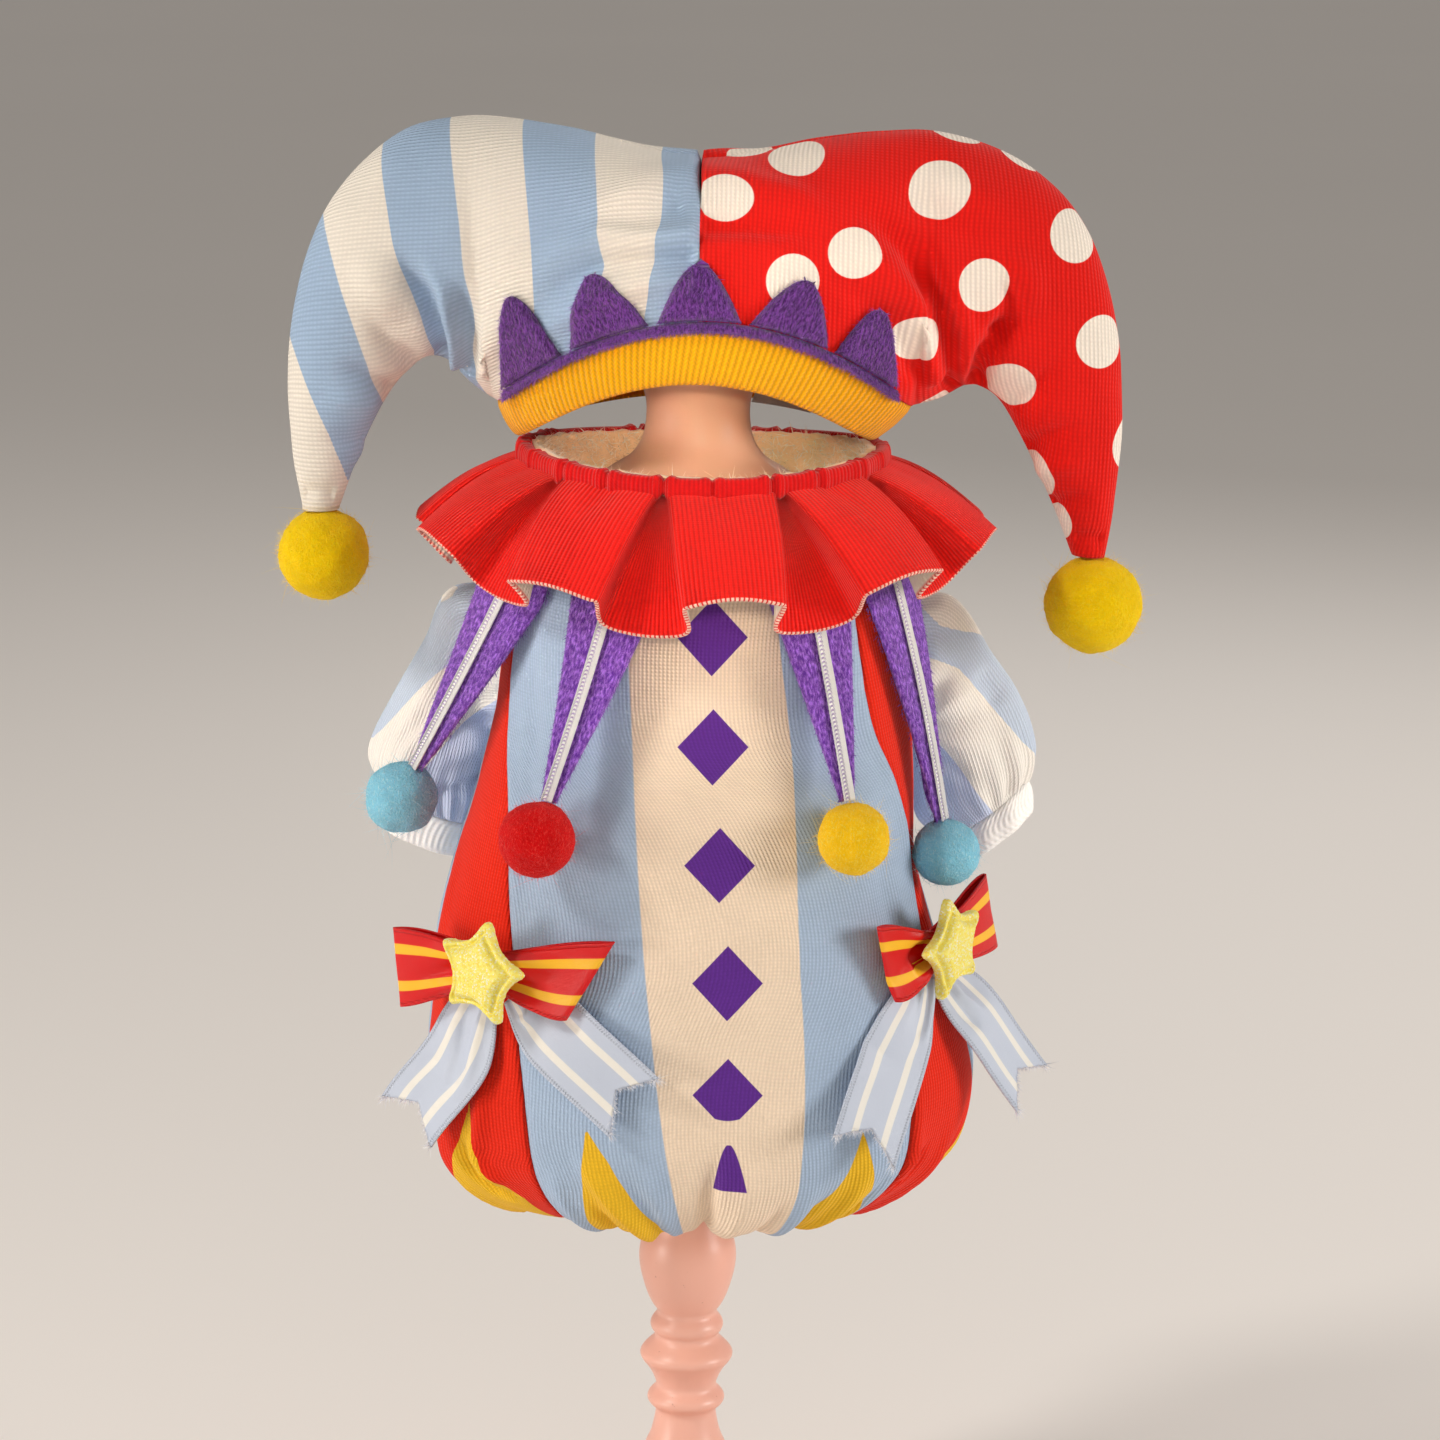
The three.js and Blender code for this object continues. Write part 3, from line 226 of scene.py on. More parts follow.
# ------------------------------------------------------------------ meshes
# The record's material slot of every node that a piece here stands for.
SLOTS = {}
for slot_name, nodes in {
    "light_blue": "body_front body_back sleeve_left sleeve_right hat_left_front hat_left_back",
    "red_knit": "body_side_left body_side_right neckband ruff hat_right_front hat_right_back",
    "cream": "sleeve_cuff_left sleeve_cuff_right fleece_lining hat_tape",
    "purple_plush": "spike_1 spike_2 spike_3 spike_4 crown_band "
                    "crown_point_1 crown_point_2 crown_point_3 crown_point_4 crown_point_5",
    "blue_felt": "pompom_1 pompom_4", "red_felt": "pompom_2", "orange_felt": "pompom_3",
    "yellow_felt": "hat_pompom_left hat_pompom_right", "yellow_rib": "hat_cuff",
    "white_braid": "braid_1 braid_2 braid_3 braid_4",
    "red_satin": "bow_left_loop_left bow_left_loop_right bow_right_loop_left bow_right_loop_right",
    "blue_satin": "bow_left_tail_left bow_left_tail_right bow_right_tail_left bow_right_tail_right",
    "glitter": "bow_left_star bow_right_star", "pink_paint": "stand_base stand_post",
    "peach_form": "dress_form",
}.items():
    SLOTS.update(dict.fromkeys(nodes.split(), slot_name))


def new_object(name, data):
    piece = bpy.data.objects.new(name, data)
    bpy.context.scene.collection.objects.link(piece)
    return piece


def make_mesh(name, points, faces, material, values=None, uvs=None):
    """Smooth mesh object in metres that rides on the part's one body."""
    mesh = bpy.data.meshes.new(name)
    mesh.from_pydata((np.asarray(points) * MM).tolist(), [], [list(face) for face in faces])
    mesh.polygons.foreach_set("use_smooth", np.ones(len(mesh.polygons), dtype=bool))
    for key, value in (values or {}).items():
        attribute = mesh.attributes.new(key, "FLOAT", "POINT")
        attribute.data.foreach_set("value", np.ascontiguousarray(value, dtype=np.float32).ravel())
    if uvs is not None:
        layer = mesh.uv_layers.new(name="cloth")
        layer.uv.foreach_set("vector", np.ascontiguousarray(uvs, dtype=np.float32).ravel())
    mesh.materials.append(material)
    piece = new_object(name, mesh)
    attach(piece, "root")
    return piece


def quads(grid):
    return np.stack([grid[:-1, :-1], grid[1:, :-1], grid[1:, 1:], grid[:-1, 1:]], axis=-1).reshape(-1, 4)


def wall_faces(index, place, count, keep=None):
    """Faces of a wall from its outer grid's numbers, with the same faces in numbers of cloth places.

    The inner layer's points follow the outer ones, and a rim joins the two wherever the cloth ends.
    """
    outer, spots = quads(index), quads(place)
    if keep is not None:
        outer, spots = outer[keep.ravel()], spots[keep.ravel()]
    after = np.roll(outer, -1, axis=1)
    face, corner = np.nonzero(~np.isin(outer * count + after, after * count + outer))
    follow = (corner + 1) % 4
    a, b = outer[face, corner], outer[face, follow]
    spot_a, spot_b = spots[face, corner], spots[face, follow]
    rims = np.stack([b, a, a + count, b + count], axis=1)
    rim_spots = np.stack([spot_b, spot_a, spot_a, spot_b], axis=1)
    return (np.concatenate([outer, outer[:, ::-1] + count, rims]),
            np.concatenate([spots, spots[:, ::-1], rim_spots]))


def closed(grid, wrap):
    """Grid with its first column repeated at the end where it goes all round."""
    return np.concatenate([grid, grid[:, :1]], axis=1) if wrap else grid


def cloth_places(grid, wrap, even):
    """Distances across and along the cloth at each grid point, with the first column repeated on a ring."""
    full = closed(grid, wrap)
    across = np.linalg.norm(np.diff(full, axis=1), axis=2)
    if not even:
        across = np.broadcast_to(across.max(axis=0), across.shape)
    s = running(across, 1)
    if not wrap:
        s = s - s[:, s.shape[1] // 2][:, None]
    return s, running(np.linalg.norm(np.diff(full, axis=0), axis=2))


def shell(name, grid, thick, material, held="hung", rests=("dress_form",), wrap=False, values=None, even=True,
          keep=None, smooth_form=None, places=None, with_pieces=()):
    """Thin closed cloth wall whose outer face is the grid, a sheet in place of the CAD node of its name.

    The inner face lies under smooth_form where the outer one has ribs or sharp pleats.
    """
    form = grid if smooth_form is None else smooth_form
    inner = raised(form, -np.broadcast_to(thick, grid.shape[:2]), wrap)
    rows, columns = grid.shape[:2]
    count = rows * columns
    index = closed(np.arange(count).reshape(rows, columns), wrap)
    s, t = cloth_places(grid, wrap, even)
    cloth = np.stack([part.ravel() for part in (places or (s, t))], axis=1)
    faces, spots = wall_faces(index, np.arange(s.size).reshape(s.shape), count, keep)
    used, faces = np.unique(faces, return_inverse=True)
    faces = faces.reshape(-1, 4)
    data = {key: np.tile(value.ravel(), 2)[used] for key, value in (values or {}).items()}
    # the cloth's edges turn in, so its inner face shows from just inside them
    within = np.zeros((rows, columns))
    within[1:-1, slice(None) if wrap else slice(1, -1)] = 1
    data["inside"] = np.concatenate([np.zeros(count), within.ravel()])[used]
    points = np.concatenate([grid.reshape(-1, 3), inner.reshape(-1, 3)])[used]
    piece = make_mesh(name + "_cloth", points, faces, material, data, cloth[spots.ravel()])
    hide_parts(name)
    return piece


def line_distance(x, y, path):
    """Distance to a path of points, and how far along it from 0 to 1 the nearest place is."""
    path = np.asarray(path, float)
    best, where = np.full(np.shape(x), 1e9), np.zeros(np.shape(x))
    lengths = np.hypot(*np.diff(path, axis=0).T)
    start = running(lengths)
    for (x0, y0), (x1, y1), length, before in zip(path[:-1], path[1:], lengths, start):
        part = np.clip(((x - x0) * (x1 - x0) + (y - y0) * (y1 - y0)) / length ** 2, 0, 1)
        distance = np.hypot(x - mix(x0, x1, part), y - mix(y0, y1, part))
        nearer = distance < best
        best = np.where(nearer, distance, best)
        where = np.where(nearer, (before + part * length) / start[-1], where)
    return best, where


def creases(x, y, table):
    """Height of soft troughs and ridges: each has a depth, a width, how it fades at its ends and a path."""
    height = np.zeros(np.shape(x))
    for depth, width, fade_in, fade_out, path in table:
        distance, part = line_distance(x, y, path)
        strength = smooth(part / max(fade_in, 1e-3)) * smooth((1 - part) / max(fade_out, 1e-3))
        height += depth * bump(distance, width) * strength
    return height


def lathe(name, profile, sides, material, node):
    """Smooth turned solid on the axis from radii and heights, replacing a CAD node."""
    turns = np.linspace(0, 2 * math.pi, sides, endpoint=False)
    ring = np.stack([np.cos(turns), np.sin(turns)], axis=1)
    points = [(0, 0, profile[0][1])]
    for radius, height in profile[1:-1]:
        points += [(radius * x, radius * y, height) for x, y in ring]
    points.append((0, 0, profile[-1][1]))
    faces = []
    rows = len(profile) - 2
    for side in range(sides):
        after = (side + 1) % sides
        faces.append((0, 1 + after, 1 + side))
        for row in range(rows - 1):
            low, high = 1 + row * sides, 1 + (row + 1) * sides
            faces.append((low + side, low + after, high + after, high + side))
        top = 1 + (rows - 1) * sides
        faces.append((top + side, top + after, len(points) - 1))
    piece = make_mesh(name, points, faces, material)
    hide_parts(node)
    return piece


def rounded(profile, times):
    """Profile with its corners cut round; its two ends stay."""
    for _ in range(times):
        cut = [tuple(profile[0])]
        for a, b in zip(profile[:-1], profile[1:]):
            a, b = np.asarray(a, float), np.asarray(b, float)
            cut += [tuple(mix(a, b, 0.25)), tuple(mix(a, b, 0.75))]
        profile = cut + [tuple(profile[-1])]
    return profile


def strands(name, roots, ways, lengths, width, material, seed, bend=0.3, parts=2):
    """Many fine fibres in one mesh, each a short tapering strip."""
    pick = np.random.default_rng(seed)
    count = len(roots)
    side = unit(np.cross(ways, pick.normal(size=(count, 3))))
    curl = unit(pick.normal(size=(count, 3))) * bend
    levels = np.linspace(0, 1, parts + 1)
    points, shade = [], []
    for level in levels:
        middle = roots + (ways * level + curl * level ** 2) * lengths[:, None]
        half = side * (width / 2 * (1 - level))
        points += [middle - half, middle + half] if level < 1 else [middle]
        shade += [np.full(count, level)] * (2 if level < 1 else 1)
    block = np.arange(count)
    faces = []
    for part in range(parts - 1):
        a, b = block + 2 * part * count, block + (2 * part + 1) * count
        faces += np.stack([a, b, b + 2 * count, a + 2 * count], axis=1).tolist()
    a, b = block + 2 * (parts - 1) * count, block + (2 * parts - 1) * count
    faces += np.stack([a, b, block + 2 * parts * count], axis=1).tolist()
    tone = np.tile(pick.random(count), len(shade))
    piece = make_mesh(name, np.concatenate(points), faces, material,
                      {"tip": np.concatenate(shade), "tone": tone})
    return piece


def scatter(grid, count, seed, wrap=False):
    """Random places on a grid's faces, their normals and the way down the cloth there."""
    pick = np.random.default_rng(seed)
    full = closed(grid, wrap)
    normal = normals_of(full)
    a, b, d = full[:-1, :-1], full[:-1, 1:], full[1:, :-1]
    area = np.linalg.norm(np.cross(b - a, d - a), axis=2).ravel()
    cell = pick.choice(area.size, size=count, p=area / area.sum())
    row, column = np.divmod(cell, full.shape[1] - 1)
    u, v = pick.random(count)[:, None], pick.random(count)[:, None]

    def at(values):
        top = mix(values[row, column], values[row, column + 1], u)
        return mix(top, mix(values[row + 1, column], values[row + 1, column + 1], u), v)
    down = unit(full[row + 1, column] - full[row, column])
    return at(full), unit(at(normal)), down


# ------------------------------------------------------------------ materials
def rgb(red, green, blue):
    """Linear colour from everyday 0 to 255 values."""
    return tuple((c / 255 / 12.92 if c / 255 <= 0.04045 else ((c / 255 + 0.055) / 1.055) ** 2.4)
                 for c in (red, green, blue)) + (1.0,)


LIGHT_BLUE = rgb(171, 192, 218)
CREAM = rgb(244, 233, 220)
# The stripes' cream is a warmer copy of CREAM: the cream print with painted warm bounced light.
WARM_LIT_CREAM = rgb(243, 222, 198)
# The hat's blue, cream and red are darker copies of the garment's light blue, cream and knit red: painted
# shade, as less light falls on the hat.
SHADED_HAT_BLUE = rgb(156, 179, 206)
SHADED_HAT_CREAM = rgb(228, 221, 210)
SHADED_HAT_RED = rgb(226, 24, 14)
KNIT_RED = rgb(232, 42, 18)
BAND_RED = rgb(198, 11, 12)
RUFF_RED = rgb(232, 28, 20)
PRINT_PURPLE = rgb(96, 46, 146)
HEM_YELLOW = rgb(240, 190, 40)
RIB_YELLOW = rgb(252, 180, 0)


class Finish:
    """A material, with short names for the nodes that paint it."""

    def __init__(self, name, **sockets):
        self.material = bpy.data.materials.new(name)
        self.material.use_nodes = True
        self.nodes, self.links = self.material.node_tree.nodes, self.material.node_tree.links
        self.shader = next(n for n in self.nodes if n.type == "BSDF_PRINCIPLED")
        for socket, value in sockets.items():
            self.shader.inputs[socket.replace("_", " ")].default_value = value

    def node(self, kind, settings=None, **inputs):
        node = self.nodes.new("ShaderNode" + kind)
        for key, value in (settings or {}).items():
            setattr(node, key, value)
        for key, value in inputs.items():
            self.feed(node.inputs[key.replace("_", " ")], value)
        return node

    def feed(self, socket, value):
        if isinstance(value, bpy.types.NodeSocket):
            self.links.new(value, socket)
        else:
            socket.default_value = value

    def math(self, operation, *values, clamp=False):
        node = self.node("Math", {"operation": operation, "use_clamp": clamp})
        for socket, value in zip(node.inputs, values):
            self.feed(socket, value)
        return node.outputs[0]

    def add(self, *values):
        total = values[0]
        for value in values[1:]:
            total = self.math("ADD", total, value)
        return total

    def minus(self, a, b):
        return self.math("SUBTRACT", a, b)

    def apart(self, a, b):
        """How far two values lie apart."""
        return self.math("ABSOLUTE", self.minus(a, b))

    def times(self, *values):
        total = values[0]
        for value in values[1:]:
            total = self.math("MULTIPLY", total, value)
        return total

    def value(self, name):
        return self.node("Attribute", {"attribute_name": name}).outputs["Fac"]

    def cloth(self):
        """Distances across and along the cloth, in mm."""
        place = self.node("UVMap", {"uv_map": "cloth"}).outputs[0]
        parts = self.node("SeparateXYZ", Vector=place)
        return place, parts.outputs[0], parts.outputs[1]

    def place(self):
        return self.node("TexCoord").outputs["Object"]

    def stretched(self, vector, scale):
        return self.node("Mapping", Vector=vector, Scale=scale).outputs[0]

    def noise(self, vector, scale, detail=2.0, roughness=0.5):
        node = self.node("TexNoise", Vector=vector, Scale=scale, Detail=detail, Roughness=roughness)
        return node.outputs["Fac"]

    def wave(self, distance, period, shift=0.0):
        """Soft wave from 0 to 1 with a period in mm."""
        turn = self.math("MULTIPLY_ADD", distance, 2 * math.pi / period, shift)
        return self.math("MULTIPLY_ADD", self.math("SINE", turn), 0.5, 0.5)

    def over(self, value, edge, soft=0.02):
        """0 below an edge and 1 above it."""
        node = self.node("MapRange", {"interpolation_type": "SMOOTHSTEP"}, Value=value)
        for key, number in (("From Min", edge - soft), ("From Max", edge + soft)):
            node.inputs[key].default_value = number
        return node.outputs[0]

    def mixed(self, factor, a, b, blend="MIX"):
        node = self.node("Mix", {"data_type": "RGBA", "blend_type": blend})
        for socket, value in ((node.inputs[0], factor), (node.inputs[6], a), (node.inputs[7], b)):
            self.feed(socket, value)
        return node.outputs[2]

    def shaded(self, colour, value, low, high):
        """Colour multiplied by a value that runs from 0 to 1 between two greys."""
        grey = self.math("MULTIPLY_ADD", value, high - low, low)
        vector = self.node("CombineColor", Red=grey, Green=grey, Blue=grey).outputs[0]
        return self.mixed(1.0, colour, vector, "MULTIPLY")

    def paint(self, colour):
        self.links.new(colour, self.shader.inputs["Base Color"])

    def paint_faces(self, colour, back):
        """Paints the cloth's outer face, and its inner face in the colour of its back."""
        self.paint(self.mixed(self.over(self.value("inside"), 0.5, 0.45), colour, back))

    def bump(self, height, depth):
        """Bump whose height of 1 is a depth in mm."""
        node = self.node("Bump", Height=height, Strength=1.0, Distance=depth * MM)
        self.links.new(node.outputs[0], self.shader.inputs["Normal"])


WALE, COURSE = 1.25, 1.12  # width of a column of the body's knit and height of a row


def finish_knit(finish, colour):
    """Brushed waffle knit: columns of stitches with painted shade in the gaps between them, and a little
    mottling.
    """
    place, s, t = finish.cloth()
    column, stitch = finish.wave(s, WALE), finish.wave(t, COURSE)
    grain = finish.noise(place, 1.3, 3.0, 0.6)
    both = finish.times(column, stitch, 0.4)
    loops = finish.add(both, finish.times(column, 0.5), finish.times(stitch, 0.1))
    height = finish.add(finish.times(loops, 0.8), finish.times(grain, 0.4))
    # painted shade: the knit is darker where it lies low between its stitches
    colour = finish.shaded(colour, height, 0.8, 1.08)
    finish.paint_faces(finish.shaded(colour, finish.noise(place, 0.06, 3.0), 0.93, 1.07), CREAM)
    finish.bump(height, 0.32)


def soft_cloth(name, roughness=0.9, sheen=0.08, **extra):
    return Finish(name, Roughness=roughness, Sheen_Weight=sheen, Sheen_Roughness=0.5,
                  Specular_IOR_Level=0.15, **extra)


def striped(finish, value, colours):
    """Stripes that change colour where a value passes 1, 2, 3 and so on."""
    colour = colours[0]
    for edge, after in enumerate(colours[1:], start=1):
        colour = finish.mixed(finish.over(value, float(edge), 0.006), colour, after)
    return colour


# ------------------------------------------------------------------ garment body
# Edges of the front's cream stripe: row of the section table, left and right angle.
STRIPE = np.array([
    [0, -19.5, 20.5], [1.7, -17.8, 21.4], [3.1, -15, 24], [5, -10.2, 25.6], [6.9, -6.5, 22.2],
    [8.3, -3.8, 20], [9.9, -1.2, 22.3], [11, -0.5, 22.5], [13, -1, 22.5],
])
# Yellow points printed along the hem: rows, and the left and right edge's angle at each.
HEM_POINTS = {
    "body_front": [
        ([8.1, 8.6, 9.1, 9.6, 10.1, 11.5], [-19.6, -20.3, -21.2, -22.6, -24.2, -25.5],
         [-19.4, -14.6, -11.6, -9, -6.2, -4]),
        ([8.2, 8.9, 9.5, 10.1, 11.5], [34.2, 32.6, 30.4, 28.2, 27], [34.4, 39.2, 43.2, 47, 49.5]),
    ],
    "body_side_left": [
        ([7.95, 8.2, 8.6, 9.1, 9.7, 11.5], [-51.4, -52.4, -55.4, -61, -66, -68],
         [-51.3, -50.6, -50, -49, -42, -39]),
        ([8.2, 9.2, 10.2, 11.5], [-96.2, -100, -104, -106], [-95.8, -90, -86, -83]),
        ([8.3, 9.2, 10.2, 11.5], [-131.2, -136, -140, -142], [-130.8, -126, -121, -119]),
    ],
    "body_side_right": [
        ([7.9, 8.5, 9.3, 10.2, 11.5], [86.2, 80.5, 75.5, 71, 69], [86.4, 90.5, 95, 98, 99]),
        ([8.2, 9.2, 10.2, 11.5], [126, 121, 118, 116], [126.4, 131, 135, 138]),
    ],
    "body_back": [
        ([8.3, 9.2, 10.2, 11.5], [165, 161, 157, 155], [165.4, 169, 173, 175]),
        ([8.2, 9.2, 10.2, 11.5], [197, 192, 188, 186], [197.4, 202, 206, 208]),
    ],
}
# Printed diamonds down the cream stripe: middles (x, z) and half sizes; the last one is a wedge at the hem.
DIAMONDS = [(5.3, 337.1), (6.0, 304.4), (8.5, 268.5), (11.4, 232.6), (11.9, 198.0)]
DIAMOND_HALF = (10.7, 11.5)
# The last one's lower tip is cut round; these are parts of its half sizes.
LAST_CUT = dict(low=0.7, width=0.8, curve=0.28)
WEDGE = dict(x=12.5, lean=0.6, top=182.3, bottom=166.2, half=5.2, spread=0.55)

# Creases: depth, width in mm, fade in and out, path of (angle, row).
FRONT_CREASES = [
    (-2.6, 2, 0.45, 0.02, [(6.8, 7.9), (4.2, 8.6), (3.2, 9.4), (4, 10.2), (3.5, 11.8)]),
    (1.5, 4.2, 0.5, 0.05, [(-9, 8), (-6, 9.1), (-3.5, 10.8)]),
    (1.3, 3.6, 0.5, 0.05, [(12.5, 8.3), (11, 9.3), (9.5, 11)]),
    (-1.3, 2.2, 0.5, 0.05, [(19, 8.9), (18.6, 10), (17, 11.3)]),
    (2.2, 3, 0.35, 0.05, [(-22.5, 8.2), (-17.5, 9), (-12, 9.9), (-9, 10.9)]),
    (-1.9, 2.2, 0.4, 0.05, [(-19.5, 9.3), (-19, 10.2), (-18.5, 11.3)]),
    (-1.2, 2, 0.4, 0.05, [(-12.5, 8.6), (-7.5, 9.5), (-5.5, 10.4), (-5, 11.4)]),
    (1.2, 2.8, 0.4, 0.05, [(-28.5, 8.7), (-27.5, 10), (-26.5, 11.2)]),
    (1.3, 3, 0.4, 0.05, [(24.5, 8.8), (25, 10), (24, 11.3)]),
    (-1.4, 2, 0.4, 0.05, [(30, 9), (29.2, 10.2), (29, 11.3)]),
    (1.5, 3.2, 0.4, 0.05, [(37.5, 8.4), (38.2, 9.8), (36, 11.3)]),
    (-1.3, 2, 0.4, 0.05, [(44.5, 8.8), (44, 10.2), (43, 11.3)]),
    (-1.1, 5, 0.3, 0.5, [(-60, 1.4), (-52, 2.6), (-44, 4.3), (-36, 6)]),
    (-0.9, 6, 0.4, 0.5, [(36, 0.8), (34, 2.4), (39, 4.2), (47, 5.8)]),
    (-0.8, 7, 0.4, 0.4, [(-30, 0.8), (-27, 2.2), (-31, 3.9)]),
    (-0.9, 4.5, 0.4, 0.4, [(-33, 6.3), (-26, 6.9), (-17, 7.7)]),
    (-1, 5, 0.4, 0.5, [(58, 3), (54, 4.2), (58, 5.6), (50, 7)]),
    (0.8, 4, 0.4, 0.4, [(64, 4.6), (60, 5.8), (52, 7)]),
    (-0.7, 6, 0.5, 0.5, [(2, 3), (5, 4.6), (3, 6.2)]),
    (0.5, 6, 0.5, 0.5, [(14, 3.5), (16, 5), (14, 6.8)]),
]
SIDE_CREASES = [
    (2.2, 3, 0.3, 0.15, [(47, 7.3), (48.5, 8.4), (51, 8.9), (49, 9.2), (43.5, 9.4)]),
    (-2.4, 2.4, 0.3, 0.1, [(55, 8.5), (56, 9.2), (52, 9.7), (44, 9.7)]),
    (1.5, 3.4, 0.4, 0.05, [(66, 8.2), (65, 9.6), (62, 11.2)]),
    (-1.6, 2.6, 0.4, 0.05, [(74, 7.8), (73, 9.5), (71, 11.2)]),
    (1.6, 3.6, 0.4, 0.05, [(84, 8.3), (82, 9.8), (80, 11.3)]),
    (-1.7, 2.4, 0.4, 0.05, [(93, 8), (92, 9.8), (90, 11.4)]),
    (1.4, 3.4, 0.4, 0.05, [(103, 8.4), (101, 10), (100, 11.3)]),
    (-1.5, 2.6, 0.4, 0.05, [(112, 7.7), (113, 9.6), (111, 11.3)]),
    (1.6, 3.8, 0.4, 0.05, [(127, 8.3), (125, 9.9), (124, 11.3)]),
    (-1.7, 2.4, 0.4, 0.05, [(137, 8), (138, 9.8), (136, 11.4)]),
    (-1.6, 4, 0.2, 0.6, [(108, 4.4), (98, 5.4), (92, 6.8)]),
    (1.1, 4, 0.2, 0.6, [(116, 4.6), (110, 5.8), (106, 7.2)]),
    (-1.5, 4.5, 0.2, 0.6, [(128, 4.4), (134, 5.6), (136, 7)]),
    (-1.2, 4.5, 0.3, 0.4, [(96, 1.2), (92, 2.4), (96, 3.4)]),
    (-1.1, 5, 0.4, 0.4, [(140, 1), (143, 2.6), (139, 4)]),
    (0.9, 4, 0.4, 0.5, [(78, 4.6), (76, 5.8), (80, 7)]),
]
BACK_CREASES = [
    (-1.8, 2.4, 0.4, 0.05, [(158, 8.2), (159, 9.8), (158, 11.3)]),
    (1.5, 3.6, 0.4, 0.05, [(168, 8.3), (167, 9.9), (168, 11.3)]),
    (-2, 2.6, 0.4, 0.05, [(178, 7.6), (179, 9.6), (180, 11.5)]),
    (1.4, 3.4, 0.4, 0.05, [(189, 8.5), (191, 10), (190, 11.3)]),
    (-1.6, 2.4, 0.4, 0.05, [(201, 8.1), (200, 9.8), (201, 11.3)]),
    (-1.2, 6, 0.4, 0.5, [(166, 1), (170, 3), (164, 5.2)]),
    (-1.1, 6, 0.4, 0.5, [(196, 1.6), (192, 3.6), (197, 6)]),
    (0.9, 6, 0.4, 0.5, [(181, 2), (183, 4), (180, 6.4)]),
]
DEGREE, ROW = 1.3, 22.0  # mm across per degree and down per row, where creases are measured
LAST_ROW = 13
PANEL_RADIUS = 82.0      # the columns of a panel's grid are counted at this radius
SEAM_DIP = dict(depth=0.75, width=1.1, smooth_from=5.0)
HEM_DEEPER = dict(more=0.3, row=7.5, over=1.5)  # creases deepen towards the gathered hem
# The puffed front hangs over the side panels along their seams: strongest row, reach in rows, height and
# waviness, and how far from the seam the front rises and the side sinks under it.
OVERHANG = {-1: dict(row=3.6, reach=2.0, height=1.0, waves=3.3),
            1: dict(row=4.3, reach=1.7, height=1.4, waves=4.1)}
LIP = dict(front=6.5, side=4.0, sink=0.1)


def seam_angle(row, side):
    return along(BODY[:, SEAM_LEFT if side < 0 else SEAM_RIGHT], row)


def overhang(row, side):
    """How much the puffed front hangs over the side panel along their seam."""
    lip = OVERHANG[side]
    wave = 1 + 0.25 * np.sin(row * lip["waves"] + 1.0)
    return lip["height"] * bump(row - lip["row"], lip["reach"]) * wave


def panel_grid(start, end, spacing, table, mirror=1.0, overhangs=()):
    """Fine grid of a body panel between two seams, with its creases; also its angles and rows."""
    middle = (float(start(5.0)) + float(end(5.0))) / 2
    rows = even_rows(lambda r: body_surface(middle, r), 0, LAST_ROW, spacing)
    low, high = start(rows), end(rows)
    widest = np.radians(np.max(high - low)) * PANEL_RADIUS
    part = np.linspace(0, 1, int(widest / spacing) + 1)
    angle = mix(low[:, None], high[:, None], part[None, :])
    row = np.broadcast_to(rows[:, None], angle.shape)
    base = body_surface(angle, row)
    radius = np.hypot(base[..., 0], base[..., 1])
    gap = np.degrees(SEAM / 2 / radius)
    angle = angle + gap * (1 - 2 * part)[None, :]
    base = body_surface(angle, row)
    length = np.linalg.norm(np.diff(base, axis=1), axis=2)
    run = running(length, 1)
    from_left, from_right = run, run[:, -1:] - run
    height = creases(mirror * angle * DEGREE, row * ROW, [
        (depth, width, fade_in, fade_out, [(a * DEGREE, r * ROW) for a, r in path])
        for depth, width, fade_in, fade_out, path in table])
    height *= smooth(np.minimum(from_left, from_right) / SEAM_DIP["smooth_from"])
    height *= 1 + HEM_DEEPER["more"] * smooth((row - HEM_DEEPER["row"]) / HEM_DEEPER["over"])
    height -= SEAM_DIP["depth"] * (bump(from_left, SEAM_DIP["width"]) + bump(from_right, SEAM_DIP["width"]))
    for edge, side, over in overhangs:
        distance = from_left if edge == "left" else from_right
        reach, share = (LIP["front"], 1.0) if over else (LIP["side"], -LIP["sink"])
        height += share * overhang(row, side) * smooth(1 - distance / reach)
    height += 0.35 * rough(base, 17.0, 3.1) + 0.12 * rough(base, 6.0, 9.4)
    return raised(base, height), angle, row


def printed_points(name, angle, row):
    """Distance inside the printed hem points in mm, negative outside."""
    best = np.full(angle.shape, -9.0)
    for rows, left, right in HEM_POINTS[name]:
        low, high = np.interp(row, rows, left), np.interp(row, rows, right)
        inside = np.minimum(angle - low, high - angle) * DEGREE
        best = np.maximum(best, np.where(row > rows[0], inside, -9.0))
    return best


def body_cloth(name, grid, angle, row, colours, stripe, **more):
    """A body panel's knit with its stripes and hem points; the front also has the row of diamonds."""
    finish = soft_cloth(name + "_knit")
    colour = striped(finish, finish.value("stripe"), colours)
    colour = finish.mixed(finish.over(finish.value("yellow"), 0.0, 0.12), colour, HEM_YELLOW)
    if name == "body_front":
        colour = finish.mixed(diamonds(finish), colour, PRINT_PURPLE)
    finish_knit(finish, colour)
    values = {"stripe": stripe, "yellow": printed_points(name, angle, row)}
    shell(name, grid, KNIT, finish.material, values=values, **more)


